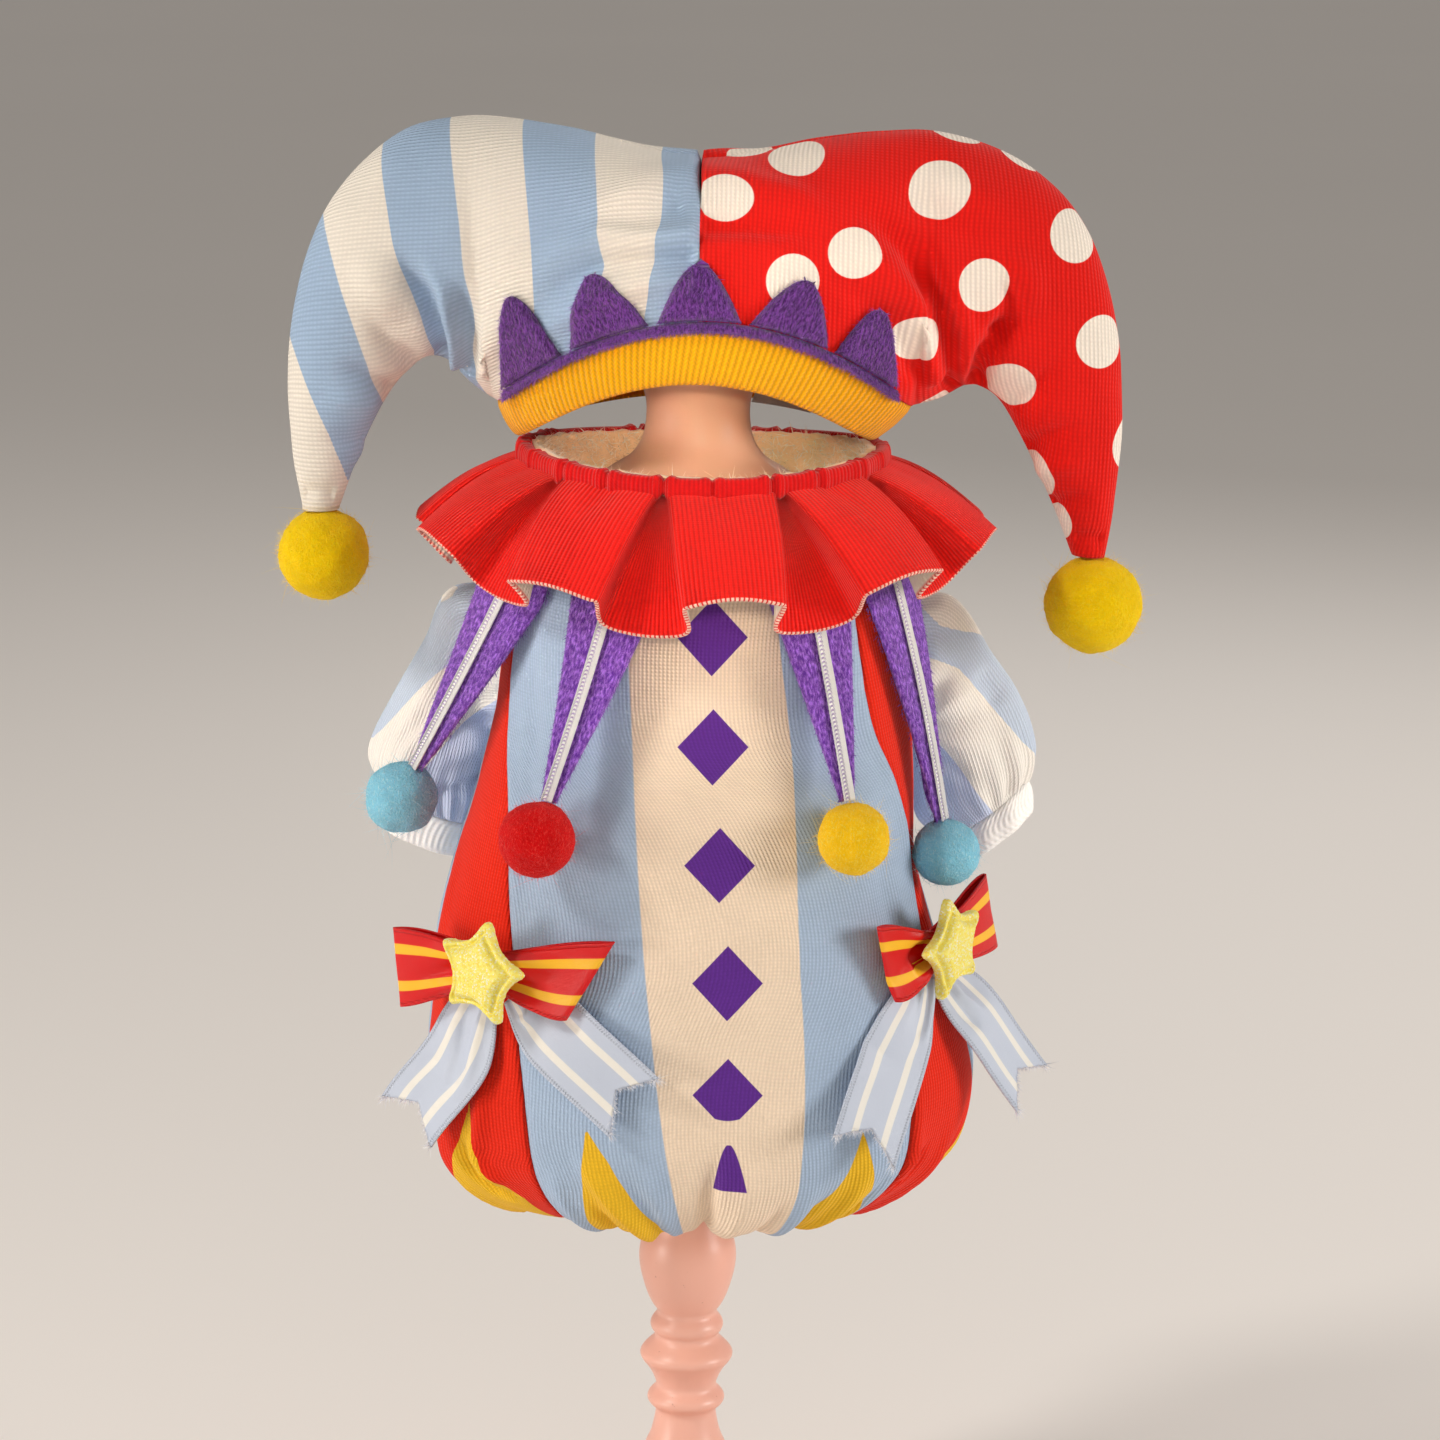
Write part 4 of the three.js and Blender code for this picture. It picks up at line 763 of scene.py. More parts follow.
def diamonds(finish):
    """1 where a diamond is printed."""
    place = finish.node("SeparateXYZ", Vector=finish.place())
    x, z = (finish.math("DIVIDE", place.outputs[axis], MM) for axis in (0, 2))
    half_x, half_z = DIAMOND_HALF
    covers = []
    for middle_x, middle_z in DIAMONDS:
        away, rise = finish.apart(x, middle_x), finish.minus(z, middle_z)
        reach = finish.add(finish.math("DIVIDE", away, half_x),
                           finish.math("DIVIDE", finish.math("ABSOLUTE", rise), half_z))
        covers.append(finish.minus(1.0, finish.over(reach, 1.0, 0.012)))
    square = finish.math("POWER", finish.math("DIVIDE", away, half_x * LAST_CUT["width"]), 2.0)
    cut = finish.math("MULTIPLY_ADD", square, LAST_CUT["curve"] * half_z, -LAST_CUT["low"] * half_z)
    covers[-1] = finish.times(covers[-1], finish.over(finish.minus(rise, cut), 0.0, 0.15))

    down = finish.minus(WEDGE["top"], z)
    part = finish.math("DIVIDE", down, WEDGE["top"] - WEDGE["bottom"], clamp=True)
    away = finish.apart(x, finish.math("MULTIPLY_ADD", part, WEDGE["lean"], WEDGE["x"]))
    half = finish.times(finish.math("POWER", part, WEDGE["spread"]), WEDGE["half"])
    covers.append(finish.times(finish.over(finish.minus(half, away), 0.0, 0.15),
                               finish.over(z, WEDGE["bottom"], 0.15), finish.over(down, 0.3, 0.2)))
    cover = covers[0]
    for other in covers[1:]:
        cover = finish.math("MAXIMUM", cover, other)
    return cover


def stripe_between(angle, edges):
    """Stripe coordinate: 1 at the first edge, 2 at the second and so on, even in between."""
    value = np.zeros(angle.shape)
    for number in range(len(edges) - 1):
        low, high = edges[number], edges[number + 1]
        value = np.where(angle >= low, number + (angle - low) / (high - low), value)
    return value


def soft_edge(row, rows, angles):
    """Angle of a print's edge at a row, with its corners rounded."""
    nudges = np.linspace(-0.6, 0.6, 7)
    return np.mean([np.interp(row + nudge, rows, angles) for nudge in nudges], axis=0)


ARMHOLE = dict(angle=118.0, half_angle=18.0, z=312.0, half_height=20.6)
# The side panels' blue stripe: its front edge's angle by rows, the least red before it, and its width.
SIDE_BAND = dict(rows=[0, 4, 8, 13], angles=[86, 84, 80, 80], least=14, width=32)
BACK_STRIPE = (168.5, 191.5)
BLUE_AND_CREAM, RED_AND_BLUE = [LIGHT_BLUE, WARM_LIT_CREAM, LIGHT_BLUE], [KNIT_RED, LIGHT_BLUE, KNIT_RED]


def build_body():
    def left(row):
        return -seam_angle(row, -1)

    def right(row):
        return seam_angle(row, 1)

    def fixed(angle):
        return lambda row: np.full(np.shape(row), float(angle))

    grid, angle, row = panel_grid(left, right, 1.5, FRONT_CREASES,
                                  overhangs=[("left", -1, True), ("right", 1, True)])
    cream = [soft_edge(row, STRIPE[:, 0], STRIPE[:, side]) for side in (1, 2)]
    stripe = stripe_between(angle, [left(row), cream[0], cream[1], right(row)])
    body_cloth("body_front", grid, angle, row, BLUE_AND_CREAM, stripe)

    for name, side in (("body_side_left", -1), ("body_side_right", 1)):
        seams = (fixed(-BACK_SEAM), left) if side < 0 else (right, fixed(BACK_SEAM))
        form, angle, row = panel_grid(*seams, 1.95, SIDE_CREASES, mirror=side,
                                      overhangs=[("right" if side < 0 else "left", side, False)])
        turn = side * angle
        front_seam = seam_angle(row, side)
        first = soft_edge(row, SIDE_BAND["rows"], SIDE_BAND["angles"])
        first = np.maximum(first, front_seam + SIDE_BAND["least"])
        edges = [front_seam, first, first + SIDE_BAND["width"], np.full(angle.shape, BACK_SEAM)]
        grid, keep = open_armhole(form, turn, row, side)
        body_cloth(name, grid, angle, row, RED_AND_BLUE, stripe_between(turn, edges),
                   keep=keep, places=cloth_places(form, False, True))

    grid, angle, row = panel_grid(fixed(BACK_SEAM), fixed(FULL_TURN - BACK_SEAM), 2.0, BACK_CREASES)
    edges = [np.full(angle.shape, value) for value in (BACK_SEAM, *BACK_STRIPE, FULL_TURN - BACK_SEAM)]
    body_cloth("body_back", grid, angle, row, BLUE_AND_CREAM, stripe_between(angle, edges))


def open_armhole(grid, turn, row, side):
    """Cuts the armhole out of a side panel: cells inside go, and the points left on its edge move onto it."""
    z = along(BODY[:, Z], row)
    hole = np.hypot((turn - ARMHOLE["angle"]) / ARMHOLE["half_angle"],
                    (z - ARMHOLE["z"]) / ARMHOLE["half_height"])
    corner = np.stack([hole[:-1, :-1], hole[1:, :-1], hole[1:, 1:], hole[:-1, 1:]])
    keep = corner.mean(axis=0) >= 1
    inside = (hole < 1) & (hole > 0.6)
    scale = 1 / np.maximum(hole, 0.3)
    turn = ARMHOLE["angle"] + (turn - ARMHOLE["angle"]) * scale
    height = ARMHOLE["z"] + (z - ARMHOLE["z"]) * scale
    edge = body_surface(side * turn, body_row(height))
    return np.where(inside[..., None], edge, grid), keep


# ------------------------------------------------------------------ sleeves
# Sleeve sections: outer and inner edge of each ring (x, z), and its middle and half depth in y.
SLEEVES = {
    "left": [(77, 335, 64.5, 287, 30, 18), (87, 318, 64.8, 281, 31, 19), (97, 300, 65.2, 274, 32, 19),
             (104, 281, 66.5, 266, 33, 18), (98.5, 269.5, 70, 258, 33, 14.5)],
    "right": [(80, 335, 67, 287, 30, 18), (94, 317, 67.5, 280, 31, 19), (103.5, 304, 68.5, 273, 32, 19),
              (109.5, 287, 72, 263, 33, 18), (107, 276, 82, 256.5, 33, 14.5)],
}
WRIST_SHIFT = {"left": (4, -10.8), "right": (2.6, -10.2)}
SLEEVE_WHITE, RIB_WHITE = rgb(252, 247, 240), rgb(255, 253, 250)
SLEEVE_BLUES = rgb(206, 217, 245), rgb(206, 220, 240)  # the lower, shaded stripe and the upper one
CUFF = dict(inset=0.6, tucked=-0.4, cloth=1.6, swell=0.9, cords=48, cord=0.05, columns=240)
# The sleeves' largest folds, fanning from the armhole's underside: depth, width, fade in and out, and a path
# of (distance from the middle, height) in the plane of the sleeve's front.
SLEEVE_FOLDS = {
    "left": [
        (-2.2, 2.4, 0.2, 0.4, [(62, 296), (72, 293), (82, 286)]),
        (1.7, 3, 0.2, 0.4, [(64, 288), (76, 283), (88, 281)]),
        (-2.4, 2, 0.2, 0.3, [(64, 277), (73, 272.5), (84, 272)]),
        (-1.6, 2.6, 0.3, 0.4, [(82, 300), (88, 292), (95, 286)]),
        (1.5, 3, 0.3, 0.4, [(75, 318), (84, 305), (92, 294)]),
        (-1.5, 3, 0.3, 0.4, [(68, 325), (76, 312), (80, 300)]),
    ],
    "right": [
        (-2.2, 2.6, 0.1, 0.5, [(69, 298), (76, 308), (84, 318)]),
        (1.6, 2.6, 0.1, 0.5, [(69, 297), (79, 303), (91, 310)]),
        (-1.6, 2.4, 0.1, 0.5, [(70, 295), (82, 297), (94, 300)]),
        (1.4, 3, 0.1, 0.5, [(70, 293), (83, 290), (97, 289)]),
        (-1.5, 2.6, 0.2, 0.4, [(71, 290), (84, 281), (93, 273)]),
        (-2, 2, 0.3, 0.3, [(73, 330), (72, 316), (69, 303)]),
        (-1.8, 3, 0.3, 0.3, [(88, 313), (94, 308), (97, 301)]),
    ],
}
# Upper edge of the white stripe on each sleeve, as distances from the middle and heights, and the stripes'
# widths across it from there: up to the outer blue one's end, and down to the white one's and the next one's.
SLEEVE_PRINT = {
    "left": dict(edge=[(48, 345), (60, 330), (66, 322), (78, 313), (93, 298), (101.6, 287.4), (110, 276)],
                 down=(17.5, 40.0), up=(16.0, 34.0)),
    "right": dict(edge=[(50, 338), (62, 327), (71.9, 319), (83.3, 314.6), (93, 303.8), (104.8, 288.4),
                        (114, 276)],
                  down=(20.5, 44.0), up=(10.0, 32.0)),
}


def lifted_skin(angle, row, out):
    """Point on the garment lifted off its outer face."""
    across = body_surface(angle + 0.05, row) - body_surface(angle - 0.05, row)
    down = body_surface(angle, row + 0.01) - body_surface(angle, row - 0.01)
    return body_surface(angle, row) + unit(np.cross(down, across)) * np.asarray(out)[..., None]


def armhole_ring(side, turn, grow, out):
    scale = 1 + grow / ARMHOLE["half_height"]
    sine, cosine = sines(turn)
    angle = ARMHOLE["angle"] + ARMHOLE["half_angle"] * scale * sine
    height = ARMHOLE["z"] + ARMHOLE["half_height"] * scale * cosine
    return lifted_skin(side * angle, body_row(height), np.full(np.shape(turn), out))


def sleeve_ring(section, side, turn, inset=0.0, shift=(0.0, 0.0)):
    out_x, out_z, in_x, in_z, y, half_y = section
    outer = np.array([side * (out_x + shift[0]), y, out_z + shift[1]])
    inner = np.array([side * (in_x + shift[0]), y, in_z + shift[1]])
    centre, half = (outer + inner) / 2, (outer - inner) / 2
    keep = 1 - inset / np.linalg.norm(half)
    sine, cosine = sines(turn)
    return (centre + half * (keep * cosine)[..., None]
            + np.array([0, 1, 0]) * ((half_y - inset) * sine)[..., None])


def sleeve_stripe(grid, side, name):
    """Stripe coordinate of a sleeve: 1 to 4 at its printed edges from the lowest up."""
    out, height = side * grid[..., 0], grid[..., 2]
    plan = SLEEVE_PRINT[name]
    path = np.array(plan["edge"], float)
    distance, _ = line_distance(out, height, path)
    above = np.where(height > np.interp(out, path[:, 0], path[:, 1]), distance, -distance)
    knots = [-plan["down"][1] - 20, -plan["down"][1], -plan["down"][0], 0, plan["up"][0], plan["up"][0] + 30]
    return np.interp(above, knots, np.arange(6.0))


def gathers(turn, folds, seed):
    """Uneven gathers round a ring: one main wave and three weaker ones near it."""
    pick = np.random.default_rng(seed)
    value = np.zeros(np.shape(turn))
    for share in (0.55, 0.25, 0.25, 0.25):
        waves = folds + pick.integers(-folds // 3, folds // 3 + 1)
        value = value + np.cos(np.radians(turn) * waves + pick.random() * 6.3) * share
    return value


def build_sleeves():
    print_knit = soft_cloth("sleeve_knit")
    stripes = [SLEEVE_WHITE, SLEEVE_BLUES[0], SLEEVE_WHITE, SLEEVE_BLUES[1], SLEEVE_WHITE]
    finish_knit(print_knit, striped(print_knit, print_knit.value("stripe"), stripes))
    cuff_knit = soft_cloth("white_rib")
    ribbed(cuff_knit, RIB_WHITE, 2.1, 0.16, back=RIB_WHITE, low=0.97)
    for name, side in (("left", -1), ("right", 1)):
        build_sleeve(name, side, print_knit.material)
        build_cuff(name, side, cuff_knit.material)


def build_sleeve(name, side, material):
    turns = np.arange(0, FULL_TURN, FULL_TURN / 108)
    rings = np.stack([armhole_ring(side, side * turns, KNIT + SEAM, SEAM + 0.1)]
                     + [sleeve_ring(section, side, side * turns) for section in SLEEVES[name]])
    last = len(rings) - 1
    at = even_rows(lambda rows: along(rings[:, 0], rows), 0, last, 1.5)
    form = along(rings, at)
    part = np.broadcast_to((at / last)[:, None], form.shape[:2])
    around = np.broadcast_to(turns[None, :], form.shape[:2])
    top, wrist = smooth(1 - part / 0.4) * smooth(part / 0.06), smooth((part - 0.55) / 0.4)
    ends = smooth((1 - part) / 0.05)
    height = gathers(around, 14, 5 + side) * 0.9 * top
    height += gathers(around, 17, 8 + side) * 1.3 * wrist * ends
    height += gathers(around + 30 * part, 5, 21 + side) * 1.0 * smooth(part / 0.2) * ends
    height += creases(side * form[..., 0], form[..., 2], SLEEVE_FOLDS[name])
    height += 0.5 * rough(form, 14.0, 2.0 + side) * smooth(part / 0.1) * ends
    shell("sleeve_" + name, raised(form, height, wrap=True), SLEEVE_KNIT, material, wrap=True,
          values={"stripe": sleeve_stripe(form, side, name)}, rests=("body_side_" + name,),
          places=cloth_places(form, True, False))


def build_cuff(name, side, material):
    turns = np.arange(0, FULL_TURN, FULL_TURN / CUFF["columns"])
    shift_x, shift_z = WRIST_SHIFT[name]
    parts = np.linspace(0, 1, 9)
    cuff = np.stack([sleeve_ring(SLEEVES[name][-1], side, side * turns, CUFF["inset"],
                                 (shift_x * part, mix(CUFF["tucked"], shift_z, part))) for part in parts])
    swell = CUFF["swell"] * np.sin(np.pi * parts)[:, None] * np.ones(turns.shape)
    cords = np.cos(np.radians(turns) * CUFF["cords"])[None, :]
    swell = swell + CUFF["cord"] * cords * smooth(parts * 8)[:, None]
    swell = swell + gathers(turns, 7, 31 + side)[None, :] * 0.5
    shell("sleeve_cuff_" + name, raised(cuff, swell, wrap=True), CUFF["cloth"], material, wrap=True,
          rests=("sleeve_" + name,), smooth_form=cuff)


def ribbed(finish, colour, wale, depth, back=CREAM, low=0.72, vee=0.0, hem=False):
    """Rib knit: cords along the cloth with rows of small stitches on them, slanting to V shapes by vee."""
    place, s, t = finish.cloth()
    cord = finish.wave(s, wale)
    slant = finish.times(finish.math("PINGPONG", s, wale / 2), vee)
    course, stitch_share, shade = (1.3, 0.32, 0.88) if vee else (1.0, 0.12, 1.0)
    stitch = finish.wave(finish.add(t, slant), course)
    grain = finish.noise(place, 1.6, 3.0, 0.6)
    cords = finish.times(cord, 0.8)
    height = finish.add(cords, finish.times(stitch, stitch_share), finish.times(grain, 0.25))
    mottle = finish.noise(place, 0.5, 3.0, 0.6)
    # painted shade: darker between the cords (down to low) and between the stitches; grain and mottle are
    # random tone
    for value, dark, light in ((cord, low, 1.06), (stitch, shade, 1.04), (grain, 0.86, 1.14),
                               (mottle, 0.86, 1.14)):
        colour = finish.shaded(colour, value, dark, light)
    if hem:
        edge = finish.over(finish.value("hem"), 0.991, 0.004)
        colour = finish.mixed(finish.times(edge, finish.over(cord, 0.3, 0.3), 0.75), colour, back)
    finish.paint_faces(colour, back)
    finish.bump(height, depth)


# ------------------------------------------------------------------ neck: fleece, band and ruff
BAND = dict(thick=4.6, height=9.7, middle=4.1, cloth=0.9, squash=0.3, pull=0.52, start=-214, end=34)
# The band's gathers: angle and depth of those in front, and how many there are behind.
TUCKS = [(-66, 1), (-48, 1.3), (-30.8, 1.1), (-12, 1.2), (3.1, 0.8), (21.7, 1.3), (37.8, 1.1), (57.5, 1.2),
         (72, 0.9)]
TUCKS_BEHIND = dict(count=20, start=76, span=208, least=0.35)
RUFF_HEM = dict(x=2.75, half_x=85.0, half_y=77.0, z=358.0, front=-10.0, back=-4.0)
RUFF = dict(drop=6.2, inset=2.2, crown=2.5, neck_lift=0.8, neck_fold=1.1, tuck=2.0, opening=0.8, cloth=1.2,
            crease=1.9, crease_part=0.2, bow=0.9, arch=2.4, uneven=0.9, soft=3, samples=9, rows=30)
# Box pleats: middle of the face and half its angle at the hem, and its lift there.
PLEATS = [(6, 10.6, 7.5), (43, 11, 7), (78, 10.4, 6.6), (114, 10.8, 7), (150, 10.6, 7.2), (186, 10.4, 7),
          (222, 11, 7.2), (257, 10.2, 6.6), (292, 10.8, 6.8), (329, 10.8, 7.5)]
FACE_CORNERS = [(0, 1.0), (0.25, 1.12), (0.5, 1.18), (0.75, 1.12), (1, 1.0)]
CORNERS = 8  # to a pleat: its face runs from corner 0 to 4, and the fold behind it from 4 to 8
FLEECE = dict(columns=220, rows=30, inset=4.4, start=1.4, deep=36.6, thick=2.6, tufted_rows=17, tufts=5200)


def pleat_path(part):
    """Angles and lifts of the pleats' corners, eight to a pleat, at a part of the way from neck to hem."""
    open_part = max(part, 0.0) ** RUFF["opening"]
    count = len(PLEATS)

    def place(number):
        turns, row = divmod(number, count)
        return PLEATS[row][0] + turns * FULL_TURN, PLEATS[row][1], PLEATS[row][2]

    def edge(row, fold, way):
        return mix(fold - way * RUFF["neck_fold"], row[0] + way * row[1], open_part)
    corners = []
    for number in range(count):
        before, here, after = (place(number + step) for step in (-1, 0, 1))
        fold_before, fold_after = (before[0] + here[0]) / 2, (here[0] + after[0]) / 2
        left, right = edge(here, fold_before, -1), edge(here, fold_after, 1)
        lift = mix(RUFF["neck_lift"], here[2], open_part)
        tuck = RUFF["tuck"] * part
        corners += [(mix(left, right, share), lift * rise) for share, rise in FACE_CORNERS]
        corners += [(right - tuck, -lift), (fold_after, -lift * 1.15),
                    (edge(after, fold_after, -1) + tuck, -lift)]
    return np.array(corners)


def ruff_base(angle, part):
    top = oval(NECK, angle, RUFF["inset"]) - np.array([0, 0, RUFF["drop"]])
    place = mix(top, oval(RUFF_HEM, angle), part)
    place[..., 2] += RUFF["crown"] * np.sin(np.pi * part)
    return place


def ruff_place(angle, lift, part):
    across = ruff_base(angle + 0.05, part) - ruff_base(angle - 0.05, part)
    down = ruff_base(angle, part + 0.001) - ruff_base(angle, part - 0.001)
    return ruff_base(angle, part) + unit(np.cross(down, across)) * lift[..., None]


def soften(ring, reach):
    """Ring of values smoothed over its neighbours, all the way round."""
    steps = range(-2 * reach, 2 * reach + 1)
    weights = bump(np.array(steps), reach)
    return sum(weight * np.roll(ring, step, axis=0) for weight, step in zip(weights / weights.sum(), steps))


def ruff_grid():
    grid = []
    for part in np.linspace(0, 1, RUFF["rows"]):
        corners = pleat_path(part)
        at = np.arange(len(corners) * RUFF["samples"]) / RUFF["samples"]
        path = np.concatenate([corners, corners[:1] + [FULL_TURN, 0]])
        angle, lift = (np.interp(at, np.arange(len(path)), path[:, column]) for column in (0, 1))
        # the middle of each face creases softly in its upper third, and faces bow a little differently
        number, place = np.divmod(at, CORNERS)
        on_face, arc = np.where(place < 4, 1, 0), np.sin(np.pi * np.clip(place / 4, 0, 1))
        crease = -RUFF["crease"] * bump(place - 2.0, 0.45) * on_face * bump(part - RUFF["crease_part"], 0.26)
        crease = crease * (0.7 + 0.3 * np.sin(number * 2.3))
        bow = RUFF["bow"] * np.sin(number * 1.7 + 1) * arc * part
        ring = ruff_place(angle, lift + RUFF["cloth"] / 2 + crease + bow, part)
        # along the hem the faces arch up and the folds behind them hang lower
        hang = RUFF["arch"] * np.where(place > 4, np.sin(np.pi * (place - 4) / 4), 0)
        arch = RUFF["uneven"] * np.sin(number * 2.9) - RUFF["arch"] * (arc - 0.5)
        ring[:, 2] -= (hang + arch * on_face) * part ** 2
        grid.append(soften(ring, RUFF["soft"]))
    return np.array(grid)


def build_ruff():
    red = soft_cloth("ruff_knit", sheen=0.08)
    ribbed(red, RUFF_RED, 1.42, 0.42, back=rgb(244, 228, 208), low=0.8, hem=True)
    grid = ruff_grid()
    part = np.broadcast_to(np.linspace(0, 1, len(grid))[:, None], grid.shape[:2])
    shell("ruff", grid, RUFF["cloth"], red.material, held="gathered", wrap=True, even=False,
          rests=("neckband",), values={"hem": part})


def band_tucks(turns):
    """How far the band is pulled in round its neck, with a little swelling on both sides of each tuck."""
    pick = np.random.default_rng(4)
    count = TUCKS_BEHIND["count"]
    places = TUCKS_BEHIND["start"] + np.sort(pick.random(count)) * TUCKS_BEHIND["span"]
    depths = TUCKS_BEHIND["least"] + (1 - TUCKS_BEHIND["least"]) * pick.random(count)
    tuck = np.zeros(turns.shape)
    for place, depth in TUCKS + list(zip(places, depths)):
        away = (turns - place + 540) % FULL_TURN - 180
        tuck += depth * (bump(away, 0.9) - 0.55 * bump(away - 2.0, 1.6) - 0.55 * bump(away + 2.0, 1.6))
    return tuck


def build_neckband():
    band = soft_cloth("neckband_knit", sheen=0.18)
    ribbed(band, BAND_RED, 1.4, 0.26, low=0.82)
    turns = np.arange(180, 180 + FULL_TURN, FULL_TURN / 360)
    tuck = band_tucks(turns)
    centre = oval(NECK, turns, BAND["thick"] / 2) - np.array([0, 0, BAND["middle"]])
    rows = []
    for section_turn in np.linspace(BAND["start"], BAND["end"], 20):  # 0 faces out, -90 up and -180 in
        sine, cosine = sines(section_turn)
        ring = oval(NECK, turns, BAND["thick"] / 2 * (1 - cosine))
        ring[:, 2] -= BAND["middle"] + sine * BAND["height"] / 2 * (1 - BAND["squash"] * np.abs(sine) ** 3)
        strength = 0.55 + 0.45 * max(cosine, 0.0)
        rows.append(centre + (ring - centre) * (1 - BAND["pull"] * tuck * strength)[:, None])
    shell("neckband", np.array(rows), BAND["cloth"], band.material, held="gathered", wrap=True, even=False,
          rests=("body_front",))


def build_fleece():
    fleece = soft_cloth("fleece", sheen=0.6)
    place = fleece.place()
    curls = fleece.noise(place, 420.0, 5.0, 0.7)
    clumps = fleece.noise(place, 130.0, 3.0, 0.6)
    # The fleece is cream: its orange tone is painted warm bounced light, and its darker places between the
    # curls are painted shade.
    fleece.paint(fleece.shaded(fleece.shaded(rgb(255, 214, 164), clumps, 0.94, 1.05), curls, 0.92, 1.05))
    fleece.bump(fleece.add(fleece.times(curls, 0.6), fleece.times(clumps, 0.6)), 0.8)
    turns = np.arange(180, 180 + FULL_TURN, FULL_TURN / FLEECE["columns"])
    drops = FLEECE["start"] + FLEECE["deep"] * np.linspace(0, 1, FLEECE["rows"]) ** 1.5
    wall = np.stack([oval(NECK, turns, FLEECE["inset"]) - np.array([0, 0, drop]) for drop in drops])
    lumps = FLEECE["thick"] + 1.3 * rough(wall, 3.4, 7.7, 2) + 0.7 * rough(wall, 8.0, 1.7)
    rim = 2.0 * rough(wall, 3.4, 5.5)[..., None] * np.exp(-drops / 2.0)[:, None, None]
    shell("fleece_lining", wall + rim * np.array([0, 0, 1.0]), lumps, fleece.material, wrap=True,
          rests=("body_front", "body_side_left", "body_side_right", "body_back"))
    inner = raised(wall, -lumps, wrap=True)[:FLEECE["tufted_rows"]]
    roots, normal, _ = scatter(inner[:, ::-1], FLEECE["tufts"], 12, wrap=True)
    pick = np.random.default_rng(13)
    ways = unit(normal + 0.8 * pick.normal(size=roots.shape) + np.array([0, 0, 0.35]))
    near_rim = np.exp(-np.maximum(roots[:, 2].max() - roots[:, 2], 0) / 6.0)
    reach = 1.1 + 1.2 * pick.random(len(roots)) + 1.0 * near_rim
    # the tufts' darker tone carries the same painted warm bounced light
    tuft = fibre("fleece_tuft", rgb(255, 248, 236), rgb(255, 214, 164))
    strands("fleece_tufts", roots, ways, reach, 0.4, tuft, 14, bend=1.2)


def fibre(name, light, dark, roughness=0.75):
    """Fibres: each has its own tone and they get lighter to their tips."""
    finish = Finish(name, Roughness=roughness, Specular_IOR_Level=0.3, Sheen_Weight=0.2)
    tone = finish.value("tone")
    finish.paint(finish.shaded(finish.mixed(tone, dark, light), finish.value("tip"), 0.82, 1.15))
    return finish.material


# ------------------------------------------------------------------ hat
CUFF_TOP = dict(x=1.8, half_x=64.0, half_y=44.0, z=400.0, front=28.0, back=14.0)
CUFF_HEM = dict(x=-1.0, half_x=55.0, half_y=41.5, z=389.3, front=22.5, back=7.0)
BAND_ANGLES = np.array([0.0, 19.0, 39.0, 61.0, 90.0])
BAND_END = 4  # the hat row where the rib band ends at the side
# Hat sections from the middle seam to the horn's tip: top outline (x, z), and the cloth's half depth.
HAT_TOP = {
    "left": np.array([
        (0.5, 474.6, 5), (20, 479.3, 6), (38, 483.5, 9), (56, 486.4, 16), (73, 487, 25), (90, 482.8, 24),
        (105, 471, 21.5), (116, 455, 19), (122.7, 436, 16.5), (126, 415, 14), (126, 397, 11.5),
        (124.6, 381, 9), (122, 365, 5)]),
    "right": np.array([
        (-0.5, 474.6, 5), (18, 478, 6), (36, 481.8, 9), (54, 484.2, 16), (71, 484.4, 25), (88, 480.2, 24),
        (105, 470.5, 21.5), (117.5, 456, 19), (125.6, 436, 16.5), (129.6, 413, 14), (130.4, 392, 11.5),
        (129, 372, 9), (126.4, 353.6, 5)]),
}
# Under outline of each horn past the rib band (x, z).
HAT_LOW = {
    "left": [(69, 404.5), (77, 412), (83.5, 413), (89, 409), (94.5, 402.5), (99.8, 393), (105.3, 380.5),
             (110.8, 365)],
    "right": [(74.5, 402.5), (82.5, 406.6), (88.5, 405.3), (93.3, 401), (98.5, 392.5), (104.2, 381.5),
              (110.3, 368.5), (116.2, 354)],
}


def hat_point(side, ahead, row, rise):
    """Outer face of a hat panel: rows count from the middle seam, rise runs from lower edge to top."""
    row, rise = np.broadcast_arrays(np.asarray(row, float), np.asarray(rise, float))
    name = "left" if side < 0 else "right"
    top = along(HAT_TOP[name], row)
    angle = along(BAND_ANGLES, np.clip(row, 0, BAND_END))
    on_band = oval(CUFF_TOP, side * angle if ahead > 0 else side * (180 - angle))
    band_side = oval(CUFF_TOP, np.array(side * 90.0))
    under = np.array([(side * band_side[0], band_side[2])] + HAT_LOW[name])
    past = along(under, np.maximum(row - BAND_END, 0.0))
    on_horn = point(side * past[..., 0], 0.0, past[..., 1])
    low = np.where((row <= BAND_END)[..., None], on_band, on_horn) + np.array([0, 0, 0.4])
    edge = np.abs(low[..., 1])
    horn = 1 - edge / CUFF_TOP["half_y"]
    lift = mix(np.sin(np.pi / 2 * rise), (1 - np.cos(np.pi * rise)) / 2, horn)
    depth = edge * np.cos(np.pi / 2 * rise) + top[..., 2] * np.sin(np.pi * rise)
    return point(mix(low[..., 0], side * top[..., 0], lift), -ahead * depth,
                 mix(low[..., 2], top[..., 1], lift))


HAT_LAST, HAT_REACH = 12, 150.0  # the horn's last row, and a distance past its tip
TOUCH = 0.06     # half the space left between panels that meet at a seam
WITHIN = 0.003   # how far a panel's grid stops short of its ends, where the form has no width
HAT_DIP = dict(top=0.4, middle=0.25, inward=0.6)  # how far the cloth sinks at the top and middle seams
FOLD_DEPTH = 1.7
BACK_FOLDS = dict(spread=0.985, out=1.5, down=2.0)  # the hidden side's folds lie a little differently
